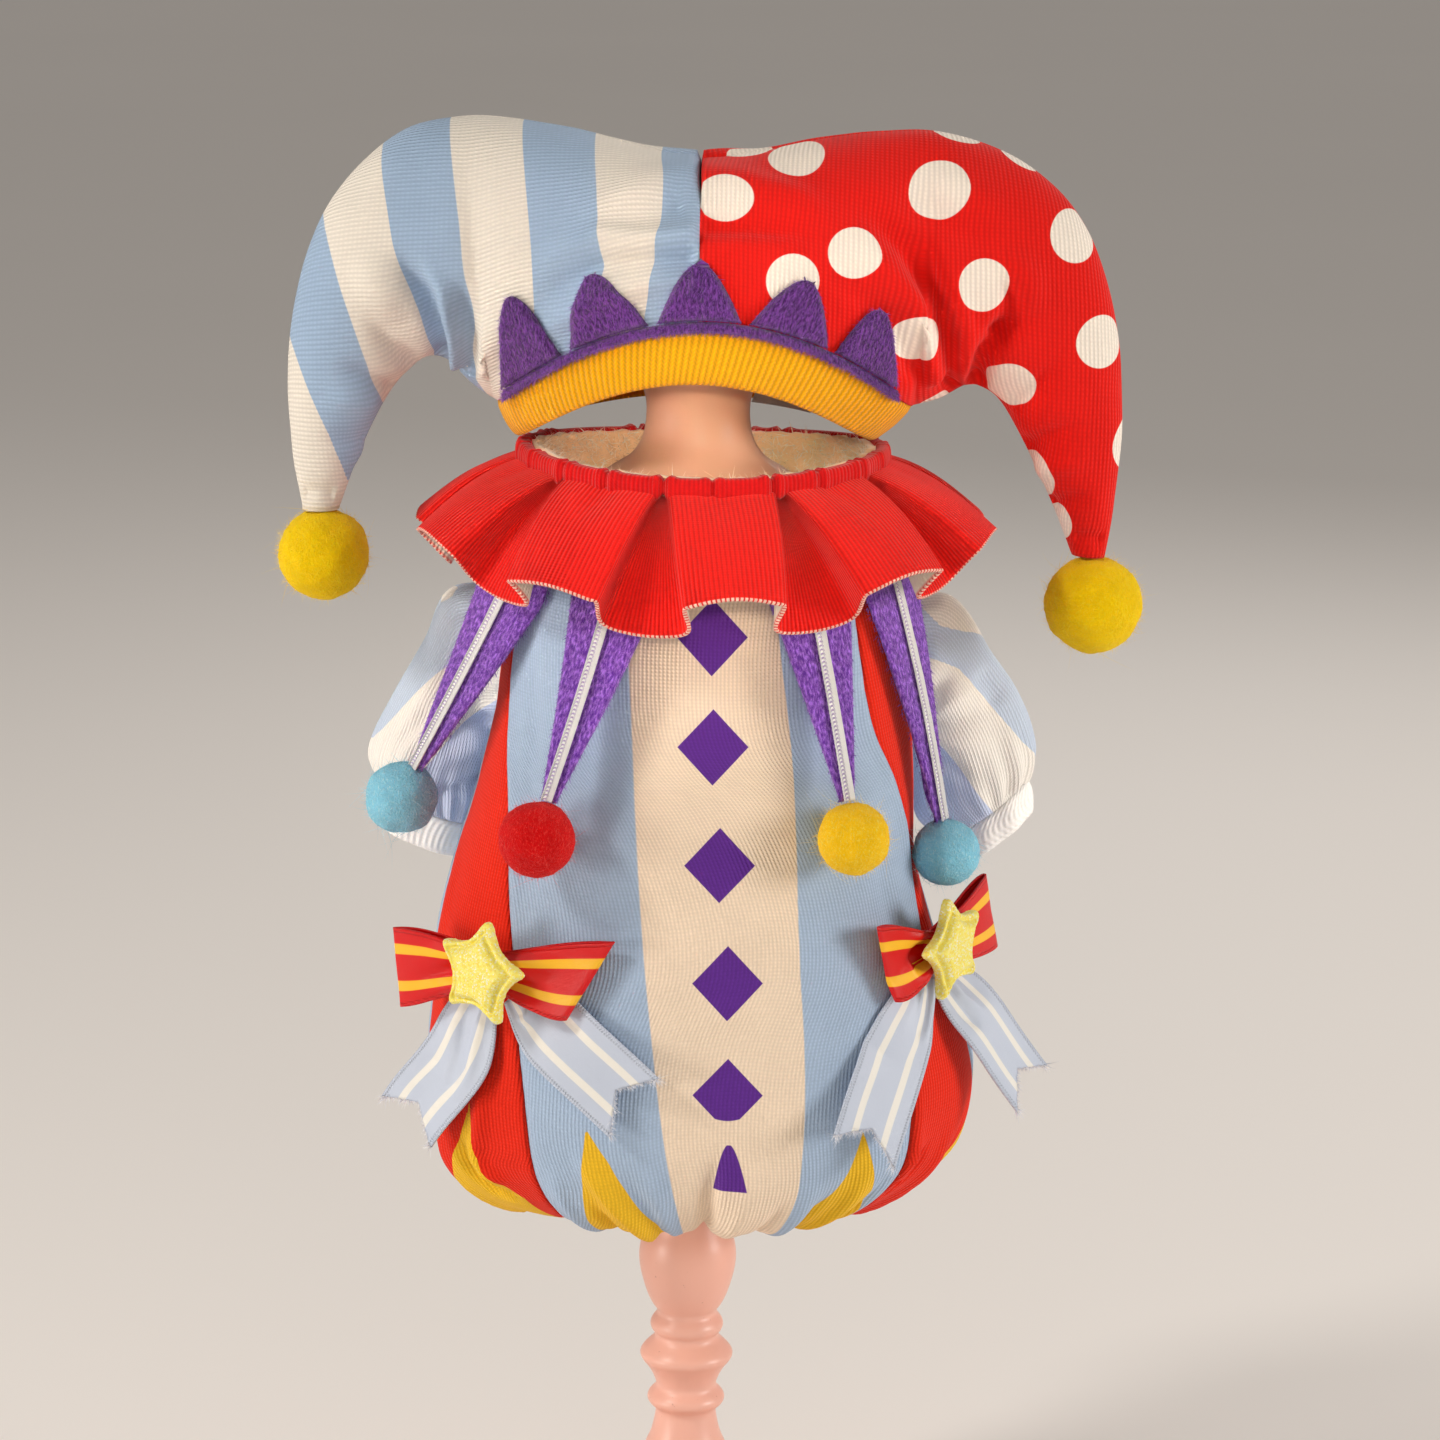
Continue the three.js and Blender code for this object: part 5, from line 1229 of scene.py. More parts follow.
# Edges of the left horn's stripes from the middle seam outward: points (x, height).
HAT_STRIPES = [
    [(-12.1, 476.4), (-10.4, 463), (-13.6, 454.2), (-14, 444.1), (-16.5, 432)],
    [(-32.3, 481.7), (-29.8, 456), (-28.9, 445.3), (-29.5, 428)],
    [(-54.3, 485.6), (-50.5, 454.3), (-49, 428)],
    [(-76.5, 486.3), (-71.7, 452.9), (-71.2, 441.9), (-67, 428.5), (-70.8, 415.3), (-69.3, 409.3),
     (-63.5, 402.5)],
    [(-96.9, 475), (-92.2, 449), (-91.2, 443.6), (-86.2, 434.2), (-80.5, 412)],
    [(-117, 466), (-111.7, 445.9), (-103, 419.2), (-96, 397)],
    [(-129, 428), (-121.2, 409.2), (-113.3, 391.7), (-107, 375)],
]
# Dots of the right horn: middle (x, height) and half sizes across and up.
DOTS_BOTH = [(78.3, 486.5, 8.2, 8.2), (98.5, 479.5, 7.6, 7.6), (13.5, 479, 8, 4.5), (130, 389.7, 8.2, 7.6)]
DOTS_FRONT = [
    (28.6, 478, 8.6, 8.4), (7.6, 466.3, 8.4, 5.2), (71.7, 469, 9, 8.6), (113.2, 454.6, 8.4, 8.3),
    (46.1, 451.3, 8.1, 7.6), (27.8, 443.6, 8.1, 8), (85.6, 440.7, 7.9, 8.1), (122.4, 422.4, 8.4, 8.1),
    (64.9, 424.7, 7.4, 7.4), (94.8, 408.6, 7.8, 7.6), (105.2, 377.7, 7, 8), (112, 361, 4.6, 6),
    (72.5, 399.5, 5, 5),
]
DOTS_BACK = [
    (17, 457, 8.3, 8.3), (46, 471, 8.3, 8.3), (38, 441, 8.3, 8.3), (64, 449, 8.3, 8.3),
    (57, 421, 8.3, 8.3), (94, 457, 8.3, 8.3), (84, 431, 8.3, 8.3), (112, 438, 8.3, 8.3),
    (104, 413, 8.3, 8.3), (117, 405, 7.8, 7.8), (114, 377, 7.6, 7.6), (10, 430, 8.3, 8.3),
]
HAT_CREASES = {
    "left": [
        (-3.2, 3.2, 0.02, 0.5, [(77.8, 409), (78.3, 420), (82.5, 434), (91.3, 447), (97, 452)]),
        (2.4, 2.8, 0.05, 0.5, [(74, 410), (74.8, 424), (77.4, 437), (84, 450)]),
        (-2.2, 2.8, 0.05, 0.5, [(70.6, 409), (68.8, 422), (70.4, 434), (72.2, 444)]),
        (1.6, 3, 0.1, 0.5, [(66, 409), (63.5, 420), (64, 432)]),
        (-0.9, 4, 0.3, 0.4, [(63.2, 408), (61.7, 414), (53, 425)]),
        (1.8, 3.2, 0.05, 0.45, [(0.6, 457.4), (14.3, 455.6), (29.6, 456.6), (42.4, 450.4), (50, 441)]),
        (-2, 2.8, 0.05, 0.45, [(0.5, 451), (16.8, 449.4), (32.1, 447), (43, 440), (50, 431)]),
        (1.6, 3, 0.05, 0.4, [(1.2, 443.2), (13.9, 443.4), (29.3, 438), (42.4, 429), (52, 421)]),
        (1.5, 4, 0.05, 0.5, [(0.6, 473.4), (14.7, 470.2), (28, 464.7), (38, 459)]),
        (-1.2, 4.5, 0.1, 0.4, [(4, 465), (18, 463), (30, 460)]),
        (2, 6, 0.4, 0.5, [(103, 450), (97.5, 438), (89.5, 424)]),
        (-1.3, 3.4, 0.1, 0.6, [(86, 412), (94, 420), (104, 432)]),
        (-1.2, 3, 0.1, 0.5, [(92, 404), (101, 409), (112, 414)]),
        (1.2, 4, 0.2, 0.5, [(97, 398), (106, 401), (116, 404)]),
        (-1, 3, 0.1, 0.5, [(101, 387), (108, 388), (117, 391)]),
        (-0.9, 2, 0.1, 0.1, [(111, 371), (117, 372), (122, 371)]),
    ],
    "right": [
        (-3.2, 4.2, 0.05, 0.35, [(78.5, 403), (75.5, 424.1), (70.5, 438.3), (63.4, 452), (53.7, 461.5),
                                 (40, 467)]),
        (2.2, 4, 0.05, 0.5, [(74.5, 408), (66.2, 434.3), (54, 448), (42, 459.6)]),
        (-1.2, 3.4, 0.1, 0.5, [(66.3, 410.2), (57.4, 430.8), (47.5, 438.8), (36.5, 446.4)]),
        (-1.6, 6, 0.3, 0.4, [(58, 474), (66, 464), (80, 458), (94, 452)]),
        (1.2, 6, 0.3, 0.4, [(70, 476), (80, 468), (94, 463)]),
        (-2.8, 3, 0.03, 0.5, [(84.5, 407), (86.4, 418.1), (91.4, 425.5), (103.1, 432.8)]),
        (2.2, 3, 0.05, 0.5, [(80.6, 406), (80.9, 424), (76.8, 438.6), (70.2, 449.3)]),
        (-1.8, 3.4, 0.1, 0.5, [(89.3, 422.2), (94.5, 435.2), (90.8, 448.3)]),
        (-2, 3.4, 0.02, 0.5, [(0.2, 459.6), (15.1, 459.8), (29, 458.7), (40, 452.5)]),
        (1.6, 3.6, 0.02, 0.5, [(0.2, 471.6), (14.1, 471), (30, 467), (44, 458)]),
        (1.6, 5, 0.3, 0.5, [(92, 452), (99, 442), (102, 428)]),
        (-1.2, 3.2, 0.1, 0.6, [(95, 402), (104, 410), (112, 420)]),
        (-1.3, 3.2, 0.1, 0.5, [(100, 388), (108, 393), (119, 398)]),
        (1.2, 3.6, 0.2, 0.5, [(103, 380), (112, 384), (123, 387)]),
        (-1.1, 2.8, 0.1, 0.5, [(108, 370), (115, 373), (124, 374)]),
        (-0.9, 2, 0.1, 0.1, [(116, 360), (121, 361), (126, 360)]),
    ],
}


def hat_wrinkle(side, ahead, places):
    """Height of the hat's creases over its smooth form; each back panel has the other front's."""
    name = "left" if side * ahead < 0 else "right"
    out, height = side * places[..., 0], places[..., 2]
    if ahead < 0:
        out, height = out * BACK_FOLDS["spread"] + BACK_FOLDS["out"], height - BACK_FOLDS["down"]
    return FOLD_DEPTH * creases(out, height, HAT_CREASES[name])


def hat_panel(side, ahead, spacing):
    """Fine grid of a hat panel, rows running down from the top outline; also its form and cloth distances."""
    at = even_rows(lambda rows: hat_point(side, ahead, rows, 0.75), 0, HAT_LAST, spacing)
    rises = even_rows(lambda fall: hat_point(side, ahead, np.full(fall.shape, 4.6), 1 - fall), 0, 1, spacing)
    rise = (1 - rises)[:, None]
    if side * ahead < 0:
        at = at[::-1]
    row = np.clip(at, WITHIN, HAT_LAST - WITHIN)[None, :]
    base = hat_point(side, ahead, row, np.clip(rise, WITHIN, 1 - WITHIN))
    ends = smooth(rise / 0.06) * smooth((1 - rise) / 0.05)
    ends = ends * smooth(row / 0.08) * smooth((HAT_LAST - row) / 0.15)
    height = (hat_wrinkle(side, ahead, base) + 0.45 * rough(base, 15.0, 4.0 + side)) * ends
    height -= HAT_DIP["top"] * (1 - smooth((1 - rise) / 0.025)) + HAT_DIP["middle"] * (1 - smooth(row / 0.06))
    grid = raised(base, height)
    grid[..., 0] -= side * HAT_DIP["inward"] * (1 - smooth(row / 0.4))
    grid[..., 1] = -ahead * np.maximum(-ahead * grid[..., 1], TOUCH)
    grid[..., 0] = side * np.maximum(side * grid[..., 0], TOUCH)
    # the knit's ribs run level, so a step down the panel counts as down or across as it leans
    step = np.diff(base, axis=0)
    share = step[..., 2] ** 2 / (step[..., 2] ** 2 + step[..., 0] ** 2 + 1e-6)
    down = np.sqrt(step[..., 2] ** 2 + share * step[..., 1] ** 2) * np.where(step[..., 2] > 0, -1, 1)
    across = np.sqrt(step[..., 0] ** 2 + (1 - share) * step[..., 1] ** 2) * np.sign(step[..., 0])
    return grid, base, (base[:1, :, 0] + running(across), running(down) - base[:1, :, 2])


def hat_place(ahead, x, z, out=0.0):
    """Point on the hat's front or back at a distance across and a height, lifted off the creased cloth."""
    x, z = np.broadcast_arrays(np.asarray(x, float), np.asarray(z, float))
    found = np.zeros(x.shape + (3,))
    for side in (-1, 1):
        mine = x < 0 if side < 0 else x >= 0
        if not mine.any():
            continue
        across, height = np.abs(x[mine]), z[mine]

        def row_at(rise):
            return halve(np.zeros(across.shape), np.full(across.shape, 11.9),
                         lambda row: side * hat_point(side, ahead, row, rise)[..., 0] < across, times=15)
        rise = halve(np.zeros(across.shape), np.full(across.shape, 0.97),
                     lambda middle: hat_point(side, ahead, row_at(middle), middle)[..., 2] < height,
                     times=12)
        row = np.maximum(row_at(rise), 0.003)
        rise = np.maximum(rise, 0.003)
        base = hat_point(side, ahead, row, rise)
        along_row = hat_point(side, ahead, row + 0.002, rise) - hat_point(side, ahead, row - 0.002, rise)
        downward = hat_point(side, ahead, row, rise - 0.002) - hat_point(side, ahead, row, rise + 0.002)
        normal = unit(np.cross(downward, along_row)) * side * ahead
        lift = np.broadcast_to(out, x.shape)[mine] + np.maximum(hat_wrinkle(side, ahead, base), -0.6)
        found[mine] = base + normal * lift[..., None]
    return found


def hat_dots(places, ahead):
    """How far each point is from the nearest dot, as a part of the dot's size."""
    dots = DOTS_FRONT if ahead > 0 else DOTS_BACK
    x, z = np.array(dots)[:, :2].T
    middles = [*hat_place(ahead, x, z), *(np.array([dot[0], 0, dot[1]]) for dot in DOTS_BOTH)]
    best = np.full(places.shape[:-1], 9.0)
    for number, (middle, dot) in enumerate(zip(middles, dots + DOTS_BOTH)):
        across, deep, up = np.moveaxis(places - middle, -1, 0)
        share = 0.4 if number < len(dots) else 1.0
        reach = (across / dot[2]) ** 2 + (up / dot[3]) ** 2 + share * (deep / max(dot[2:])) ** 2
        best = np.minimum(best, np.sqrt(reach))
    return best


def hat_knit(name, colour_of, ribs_across):
    """Hat knit: a fine waffle whose ribs run across or up the cloth."""
    finish = soft_cloth(name)
    place, s, t = finish.cloth()
    (along_ribs, wale), (over_ribs, course) = ((t, 1.35), (s, 1.4)) if ribs_across else ((s, 1.4), (t, 1.3))
    loops = finish.times(finish.wave(along_ribs, wale),
                         finish.math("MULTIPLY_ADD", finish.wave(over_ribs, course), 0.4, 0.6))
    height = finish.add(finish.times(loops, 0.8), finish.times(finish.noise(place, 1.3, 3.0, 0.6), 0.35))
    # painted shade: the knit is darker where it lies low between its ribs
    colour = finish.shaded(colour_of(finish), height, 0.8, 1.08)
    finish.paint_faces(finish.shaded(colour, finish.noise(place, 0.06, 3.0), 0.94, 1.06), CREAM)
    finish.bump(height, 0.3)
    return finish.material


def crown_top(x):
    across = (x - CUFF_TOP["x"]) / CUFF_TOP["half_x"]
    return CUFF_TOP["z"] + CUFF_TOP["front"] * (1 - across ** 2)


# Plush points of the crown: base from and to, and tip (x, height).
CROWN_POINTS = [(-59.2, -40.8, -56.6, 436.5), (-38.0, -14.8, -32.3, 444.5), (-12.2, 12.6, 0, 448.8),
                (15, 38.2, 32.3, 443.5), (40.5, 59.6, 54.9, 434)]
CROWN = dict(thick=2.4, lift=0.5, start=0.4, height=3.8, band=2.8, left=-58.8, right=60.0, least=0.12,
             stitch=0.6)


# The default colours are the crown's: a darker copy of the spikes' plush, as painted shade.
def plush(name, light=rgb(132, 66, 172), dark=rgb(56, 11, 84)):
    """Short plush: streaks of pile between a dark and a light colour, made darker and lighter in clumps; the
    light streaks and clumps are painted highlights of the pile's sheen and the dark ones painted shade.
    """
    finish = soft_cloth(name, sheen=0.3, roughness=0.8)
    place = finish.cloth()[0]
    streak = finish.noise(finish.stretched(place, (1.5, 0.5, 1.0)), 0.9, 4.0, 0.65)
    clump = finish.noise(place, 0.34, 3.0, 0.6)
    colour = finish.mixed(finish.over(streak, 0.54, 0.15), dark, light)
    finish.paint(finish.shaded(colour, clump, 0.6, 1.4))
    finish.bump(finish.add(streak, finish.times(clump, 0.7)), 1.2)
    return finish.material


def edge_room(grid):
    """Distance of each grid point to the nearest edge of its grid, and to the nearer one across it."""
    s, t = cloth_places(grid, False, True)
    beside = np.minimum(s - s[:, :1], s[:, -1:] - s)
    return np.minimum(beside, np.minimum(t, t[-1:] - t)), beside


def round_edge(room, width):
    """Rise from 0 at an edge to 1 a width inside it, as a quarter of a round."""
    part = np.clip(room / width, 0, 1)
    return np.sqrt(part * (2 - part))


def soft_slab(base_at, thick, rows, columns):
    """Outer grid and thickness of a soft slab with rounded edges, over a base grid given by a height."""
    room, _ = edge_room(base_at(np.zeros((len(rows), len(columns)))))
    height = thick * (0.28 + 0.72 * round_edge(room, thick * 0.8))
    return base_at(height), height


def stripe_line(height, line):
    """How far out a stripe's edge is at a height, with the corners of its path rounded."""
    x, z = np.array(line[::-1]).T
    return -np.mean([np.interp(height + nudge, z, x) for nudge in np.linspace(-6, 6, 7)], axis=0)


def build_hat():
    # The hat's stripes and red ground take the darker hat colours: painted shade.
    blue = hat_knit("hat_stripes", lambda finish: striped(
        finish, finish.value("stripe"), [SHADED_HAT_BLUE, SHADED_HAT_CREAM] * 4), ribs_across=True)
    red = hat_knit("hat_dots", lambda finish: finish.mixed(
        finish.over(finish.value("dot"), 1.0, 0.02), CREAM, SHADED_HAT_RED), ribs_across=False)
    for name, side in (("left", -1), ("right", 1)):
        for face, ahead in (("front", 1), ("back", -1)):
            grid, base, places = hat_panel(side, ahead, 1.55 if ahead > 0 else 2.0)
            if side < 0:
                edges = [stripe_line(base[..., 2], line) for line in HAT_STRIPES]
                edges = [np.zeros(base.shape[:2]), *edges, np.full(base.shape[:2], HAT_REACH)]
                values = {"stripe": stripe_between(-base[..., 0], edges)}
            else:
                values = {"dot": hat_dots(base, ahead)}
            shell(f"hat_{name}_{face}", grid, HAT_KNIT, blue if side < 0 else red, values=values,
                  places=places, rests=("hat_cuff",))
    build_hat_cuff()
    build_crown()


TAPE = dict(turns=(136, 160), drop=(0.5, 1.08), inset=2.8, thick=0.5)
HAT_CUFF = dict(thick=2.2, puff=0.7, top=0.5, hem=0.6)


def cuff_place(angle, part):
    return mix(oval(CUFF_TOP, angle), oval(CUFF_HEM, angle), part)


def build_hat_cuff():
    tape = build_tape()
    rib = soft_cloth("yellow_rib", sheen=0.15)
    ribbed(rib, RIB_YELLOW, 2.1, 0.6, back=rgb(244, 140, 20), low=0.7, vee=1.3)
    turns = np.arange(180, 180 + FULL_TURN, 0.9)
    parts = np.linspace(0, 1, 15)
    wall = np.stack([cuff_place(turns, part) for part in parts])
    puff = HAT_CUFF["puff"] * np.sin(np.pi * parts) - HAT_CUFF["top"] * (1 - smooth(parts / 0.12))
    puff = puff - HAT_CUFF["hem"] * smooth((parts - 0.9) / 0.1)
    height = puff[:, None] + 0.25 * rough(wall, 9.0, 2.2)
    shell("hat_cuff", raised(wall, height, wrap=True), HAT_CUFF["thick"], rib.material, held="stretched",
          wrap=True, smooth_form=wall, even=False, rests=("hat_left_front", "hat_right_front"),
          with_pieces=[tape])


def build_tape():
    tape = Finish("tape", Roughness=0.45, Sheen_Weight=0.2, Transmission_Weight=0.15)
    _, s, t = tape.cloth()
    weave = tape.times(tape.wave(s, 0.5), tape.wave(t, 0.5))
    tape.paint(tape.shaded(rgb(240, 238, 236), weave, 0.88, 1.05))
    tape.bump(weave, 0.08)
    turns = np.linspace(*TAPE["turns"], 40)
    wall = np.stack([cuff_place(turns, part) for part in np.linspace(*TAPE["drop"], 14)])
    sunk = raised(wall, np.full(wall.shape[:2], -TAPE["inset"]))
    return shell("hat_tape", sunk, TAPE["thick"], tape.material)


def build_crown():
    # The crown's plush and nap are painted darker than the spikes' same plush: painted shade.
    material = plush("crown_plush")
    nap = fibre("crown_nap", rgb(158, 96, 206), rgb(78, 26, 122))
    across = np.linspace(CROWN["left"], CROWN["right"], 150)
    rises = np.linspace(CROWN["height"], CROWN["start"], 9)

    def band_at(height):
        x = np.broadcast_to(across[None, :], height.shape)
        return hat_place(1, x, crown_top(x) + rises[:, None], CROWN["lift"] + height)
    grid, thick = soft_slab(band_at, CROWN["band"], rises, across)
    band = shell("crown_band", grid, thick, material)
    grow_nap("crown_band_nap", [grid], 3600, nap, 61, length=1.7, lean=0.9)
    grids = []
    columns, parts = np.linspace(-1, 1, 25), 1 - np.linspace(0, 1, 29) ** 1.7
    for number, (start, end, tip_x, tip_z) in enumerate(CROWN_POINTS, start=1):
        def point_at(height):
            part = np.broadcast_to(parts[:, None], height.shape)
            half = np.maximum((end - start) / 2 * (1 - part) ** 0.56, CROWN["least"])
            x = mix((start + end) / 2, tip_x, part) + columns[None, :] * half
            foot = CROWN["height"] + SEAM
            rise = (tip_z - crown_top(tip_x) - foot) * part
            return hat_place(1, x, crown_top(x) + foot + rise, CROWN["lift"] + height)
        grid, thick = soft_slab(point_at, CROWN["thick"], parts, columns)
        _, beside = edge_room(grid)
        stitched = bump(beside - 1.5, 0.4) * smooth(np.arange(len(parts)) / 6)[:, None]
        grid = raised(grid, -CROWN["stitch"] * stitched)
        shell(f"crown_point_{number}", grid, thick, material, rests=("hat_left_front",),
              with_pieces=[band] if number == 3 else ())
        grids.append(grid)
    grow_nap("crown_point_nap", grids, 6500, nap, 62, length=1.5, lean=1.2)


def grow_nap(name, grids, count, material, seed, length, lean):
    """Pile of short fibres over plush pieces, leaning down and across them."""
    pick = np.random.default_rng(seed)
    found = [scatter(grid, count // len(grids), seed + number) for number, grid in enumerate(grids)]
    roots, normal, down = (np.concatenate([one[part] for one in found]) for part in range(3))
    side = np.cross(normal, down)
    ways = unit(normal * 0.75 + down * lean * (0.6 + 0.8 * pick.random((len(roots), 1)))
                - side * 0.45 + 0.35 * pick.normal(size=roots.shape))
    lengths = length * (0.55 + 0.7 * pick.random(len(roots)))
    strands(name, roots - normal * 0.1, ways, lengths, 0.2, material, seed, bend=0.25)


# ------------------------------------------------------------------ plush points, braids and pompoms
SPIKE = dict(half_top=16.5, half_tip=2.4, waist=0.62, waist_end=0.2, thick=3.0, start=368.0, seat=0.6,
             clear=0.8, swell=3.2, curl=1.2)
BRAID = dict(width=3.6, lift=1.9, rung=1.3, ladder=(-1.45, 0.15))
BALL_GAP = 0.4
# Plush points: angle, tip, the way the face turns, sideways bow, pompom radius and colour.
SPIKES = [
    (-54, (-86, -10, 286), -44, 3, 11.4, "blue"),
    (-19, (-43, -64, 289), -20, 2, 11.5, "red"),
    (29, (46.5, -58, 289), 24, -1, 11.1, "orange"),
    (63, (76.5, -16, 273), 56, -2, 10.6, "blue"),
]


def facing(turn):
    """Level way out at an angle from the front."""
    across, ahead = sines(turn)
    return np.array([across, -ahead, 0.0])


def strip_frame(run, turn):
    """Ways across a hanging strip and out of its face, which looks the way of an angle from the front."""
    side = -unit(np.cross(run, facing(turn)))
    face = unit(np.cross(side, run))
    return side, face if face @ facing(turn) >= 0 else -face


class Spike:
    """One plush point as a surface of places across it and down it."""

    def __init__(self, angle, tip, turn, bow):
        row = body_row(SPIKE["start"])
        near = np.array([[row - 0.01], [row + 0.01]])
        beside = body_surface(np.array([[angle - 0.05, angle, angle + 0.05]]), near)
        self.start = beside[0, 1] + normals_of(beside)[0, 1] * (SPIKE["thick"] / 2 + SPIKE["seat"])
        self.run = np.array(tip) - self.start
        self.side, self.face = strip_frame(self.run, turn)
        self.bow = bow

    def half(self, part):
        gather = mix(SPIKE["waist"], 1, np.minimum(part / SPIKE["waist_end"], 1))
        return gather * mix(SPIKE["half_top"], SPIKE["half_tip"], part)

    def surface(self, across, part):
        across, part = np.broadcast_arrays(across, part)
        belly = np.sin(np.pi * part)
        out = SPIKE["swell"] * belly - SPIKE["curl"] * across ** 2 * (1 - part)
        sideways = across * self.half(part) + self.bow * belly
        points = (self.start + part[..., None] * self.run + sideways[..., None] * self.side
                  + out[..., None] * self.face)
        return keep_off(points, SPIKE["thick"] / 2 + SPIKE["clear"])


def build_spikes():
    material = plush("spike_plush", light=rgb(190, 130, 243), dark=rgb(98, 36, 160))
    nap = fibre("spike_nap", rgb(176, 124, 232), rgb(84, 32, 146))
    braid = braid_finish()
    grids = []
    for number, (angle, tip, turn, bow, ball, colour) in enumerate(SPIKES, start=1):
        spike = Spike(angle, tip, turn, bow)
        length = np.linalg.norm(spike.run)
        parts = np.linspace(0, 1, int(length / 1.3))[:, None]
        across = np.linspace(-1, 1, 29)[None, :]
        form = spike.surface(across, parts)
        crown = round_edge(edge_room(form)[0], 1.6)
        half = SPIKE["thick"] / 2 * (0.25 + 0.75 * crown)
        wave = 0.35 * rough(form, 9.0, number)
        # the braid's stitching pulls the plush down on both sides of it
        pull = -0.35 * bump(np.abs(across * spike.half(parts)) - BRAID["width"] / 2, 0.9) * (parts > 0)
        grid = raised(form, half + wave * crown + pull)
        strip = build_braid(number, spike, length, braid)
        shell(f"spike_{number}", grid, half * 2, material, with_pieces=[strip], rests=("neckband",))
        grids += [grid, raised(form, -half)[:, ::-1]]
        middle = np.array(tip) + unit(spike.run) * (ball + BALL_GAP)
        build_pompom(f"pompom_{number}", middle, ball, colour, number)
    grow_nap("spike_nap", grids, 15500, nap, 63, length=1.7, lean=1.1)


def braid_finish():
    """White ladder braid: open rungs down its left, a plain band down its right."""
    finish = Finish("braid", Roughness=0.6, Sheen_Weight=0.3, Specular_IOR_Level=0.3)
    _, s, t = finish.cloth()
    rung = finish.wave(t, BRAID["rung"])
    left, right = BRAID["ladder"]
    ladder = finish.times(finish.over(s, left + 0.1, 0.15),
                          finish.over(finish.math("MULTIPLY", s, -1.0), -right, 0.15))
    weave = finish.wave(finish.add(t, finish.times(s, 1.2)), 0.55)
    height = finish.mixed(ladder, weave, finish.times(rung, 1.4))
    gap = finish.times(ladder, finish.minus(1.0, finish.over(rung, 0.42, 0.25)))
    # painted shade: the weave is a little darker where it lies low
    colour = finish.shaded(rgb(255, 255, 255), weave, 0.94, 1.03)
    finish.paint(finish.mixed(finish.times(gap, 0.75), colour, rgb(160, 132, 196)))
    finish.bump(height, 0.22)
    return finish.material


def build_braid(number, spike, length, material):
    half = BRAID["width"] / 2
    across = np.linspace(-half, half, 13)[None, :]
    parts = np.linspace(0, 1, int(length / 0.43))[:, None]
    form = spike.surface(across / spike.half(parts), parts)
    floor = form + spike.face * (BRAID["lift"] + 0.1)
    rung = 0.5 - 0.5 * np.cos(2 * np.pi * parts * length / BRAID["rung"])
    left, right = BRAID["ladder"]
    ladder = smooth((across - left) / 0.3) * smooth((right - across) / 0.3)
    height = 0.5 + 0.2 * bump(np.abs(across) - half + 0.2, 0.25) + ladder * (0.25 * rung - 0.3)
    height = height + 0.12 * rough(form, 5.0, number + 0.5)
    return shell(f"braid_{number}", floor + spike.face * height[..., None], height, material)


def ball_mesh(detail):
    """Points and faces of a round ball of radius 1."""
    ball = bmesh.new()
    bmesh.ops.create_icosphere(ball, subdivisions=detail, radius=1.0)
    points = np.array([tuple(vertex.co) for vertex in ball.verts])
    faces = [[vertex.index for vertex in face.verts] for face in ball.faces]
    ball.free()
    return points, faces


def felt(name, dark, light):
    """Felted fibre: soft, mottled, with paler threads."""
    finish = Finish(name, Roughness=1.0, Sheen_Weight=0.08, Sheen_Roughness=0.4, Specular_IOR_Level=0.1,
                    Subsurface_Weight=0.08, Subsurface_Scale=0.002)
    place = finish.place()
    fuzz = finish.noise(place, 1100.0, 3.0, 0.7)
    cloud = finish.noise(place, 230.0, 3.0)
    threads = finish.noise(finish.stretched(place, (2.6, 0.5, 1.2)), 900.0, 4.0, 0.7)
    colour = finish.mixed(finish.over(threads, 0.62, 0.12), dark, light)
    finish.paint(finish.shaded(finish.shaded(colour, cloud, 0.88, 1.1), fuzz, 0.86, 1.1))
    finish.bump(finish.add(fuzz, finish.times(threads, 0.8), finish.times(cloud, 0.9)), 0.8)
    return finish.material


# Felt colours: the cloth's, and its paler threads'.
FELTS = {
    "blue": (rgb(142, 214, 240), rgb(202, 238, 250)), "red": (rgb(216, 10, 14), rgb(240, 70, 60)),
    "orange": (rgb(255, 204, 18), rgb(255, 234, 104)), "yellow": (rgb(255, 212, 0), rgb(255, 230, 50)),
}
FELT_MADE = {}
POMPOM = dict(fine_from=12, lump=0.55, pit=0.32, fuzz=13, strays=60)


def fuzz_ways(pick, count):
    """Random ways out from a ball, and ways along its face beside each."""
    way = unit(pick.normal(size=(count, 3)))
    return way, unit(np.cross(way, unit(pick.normal(size=(count, 3)))))


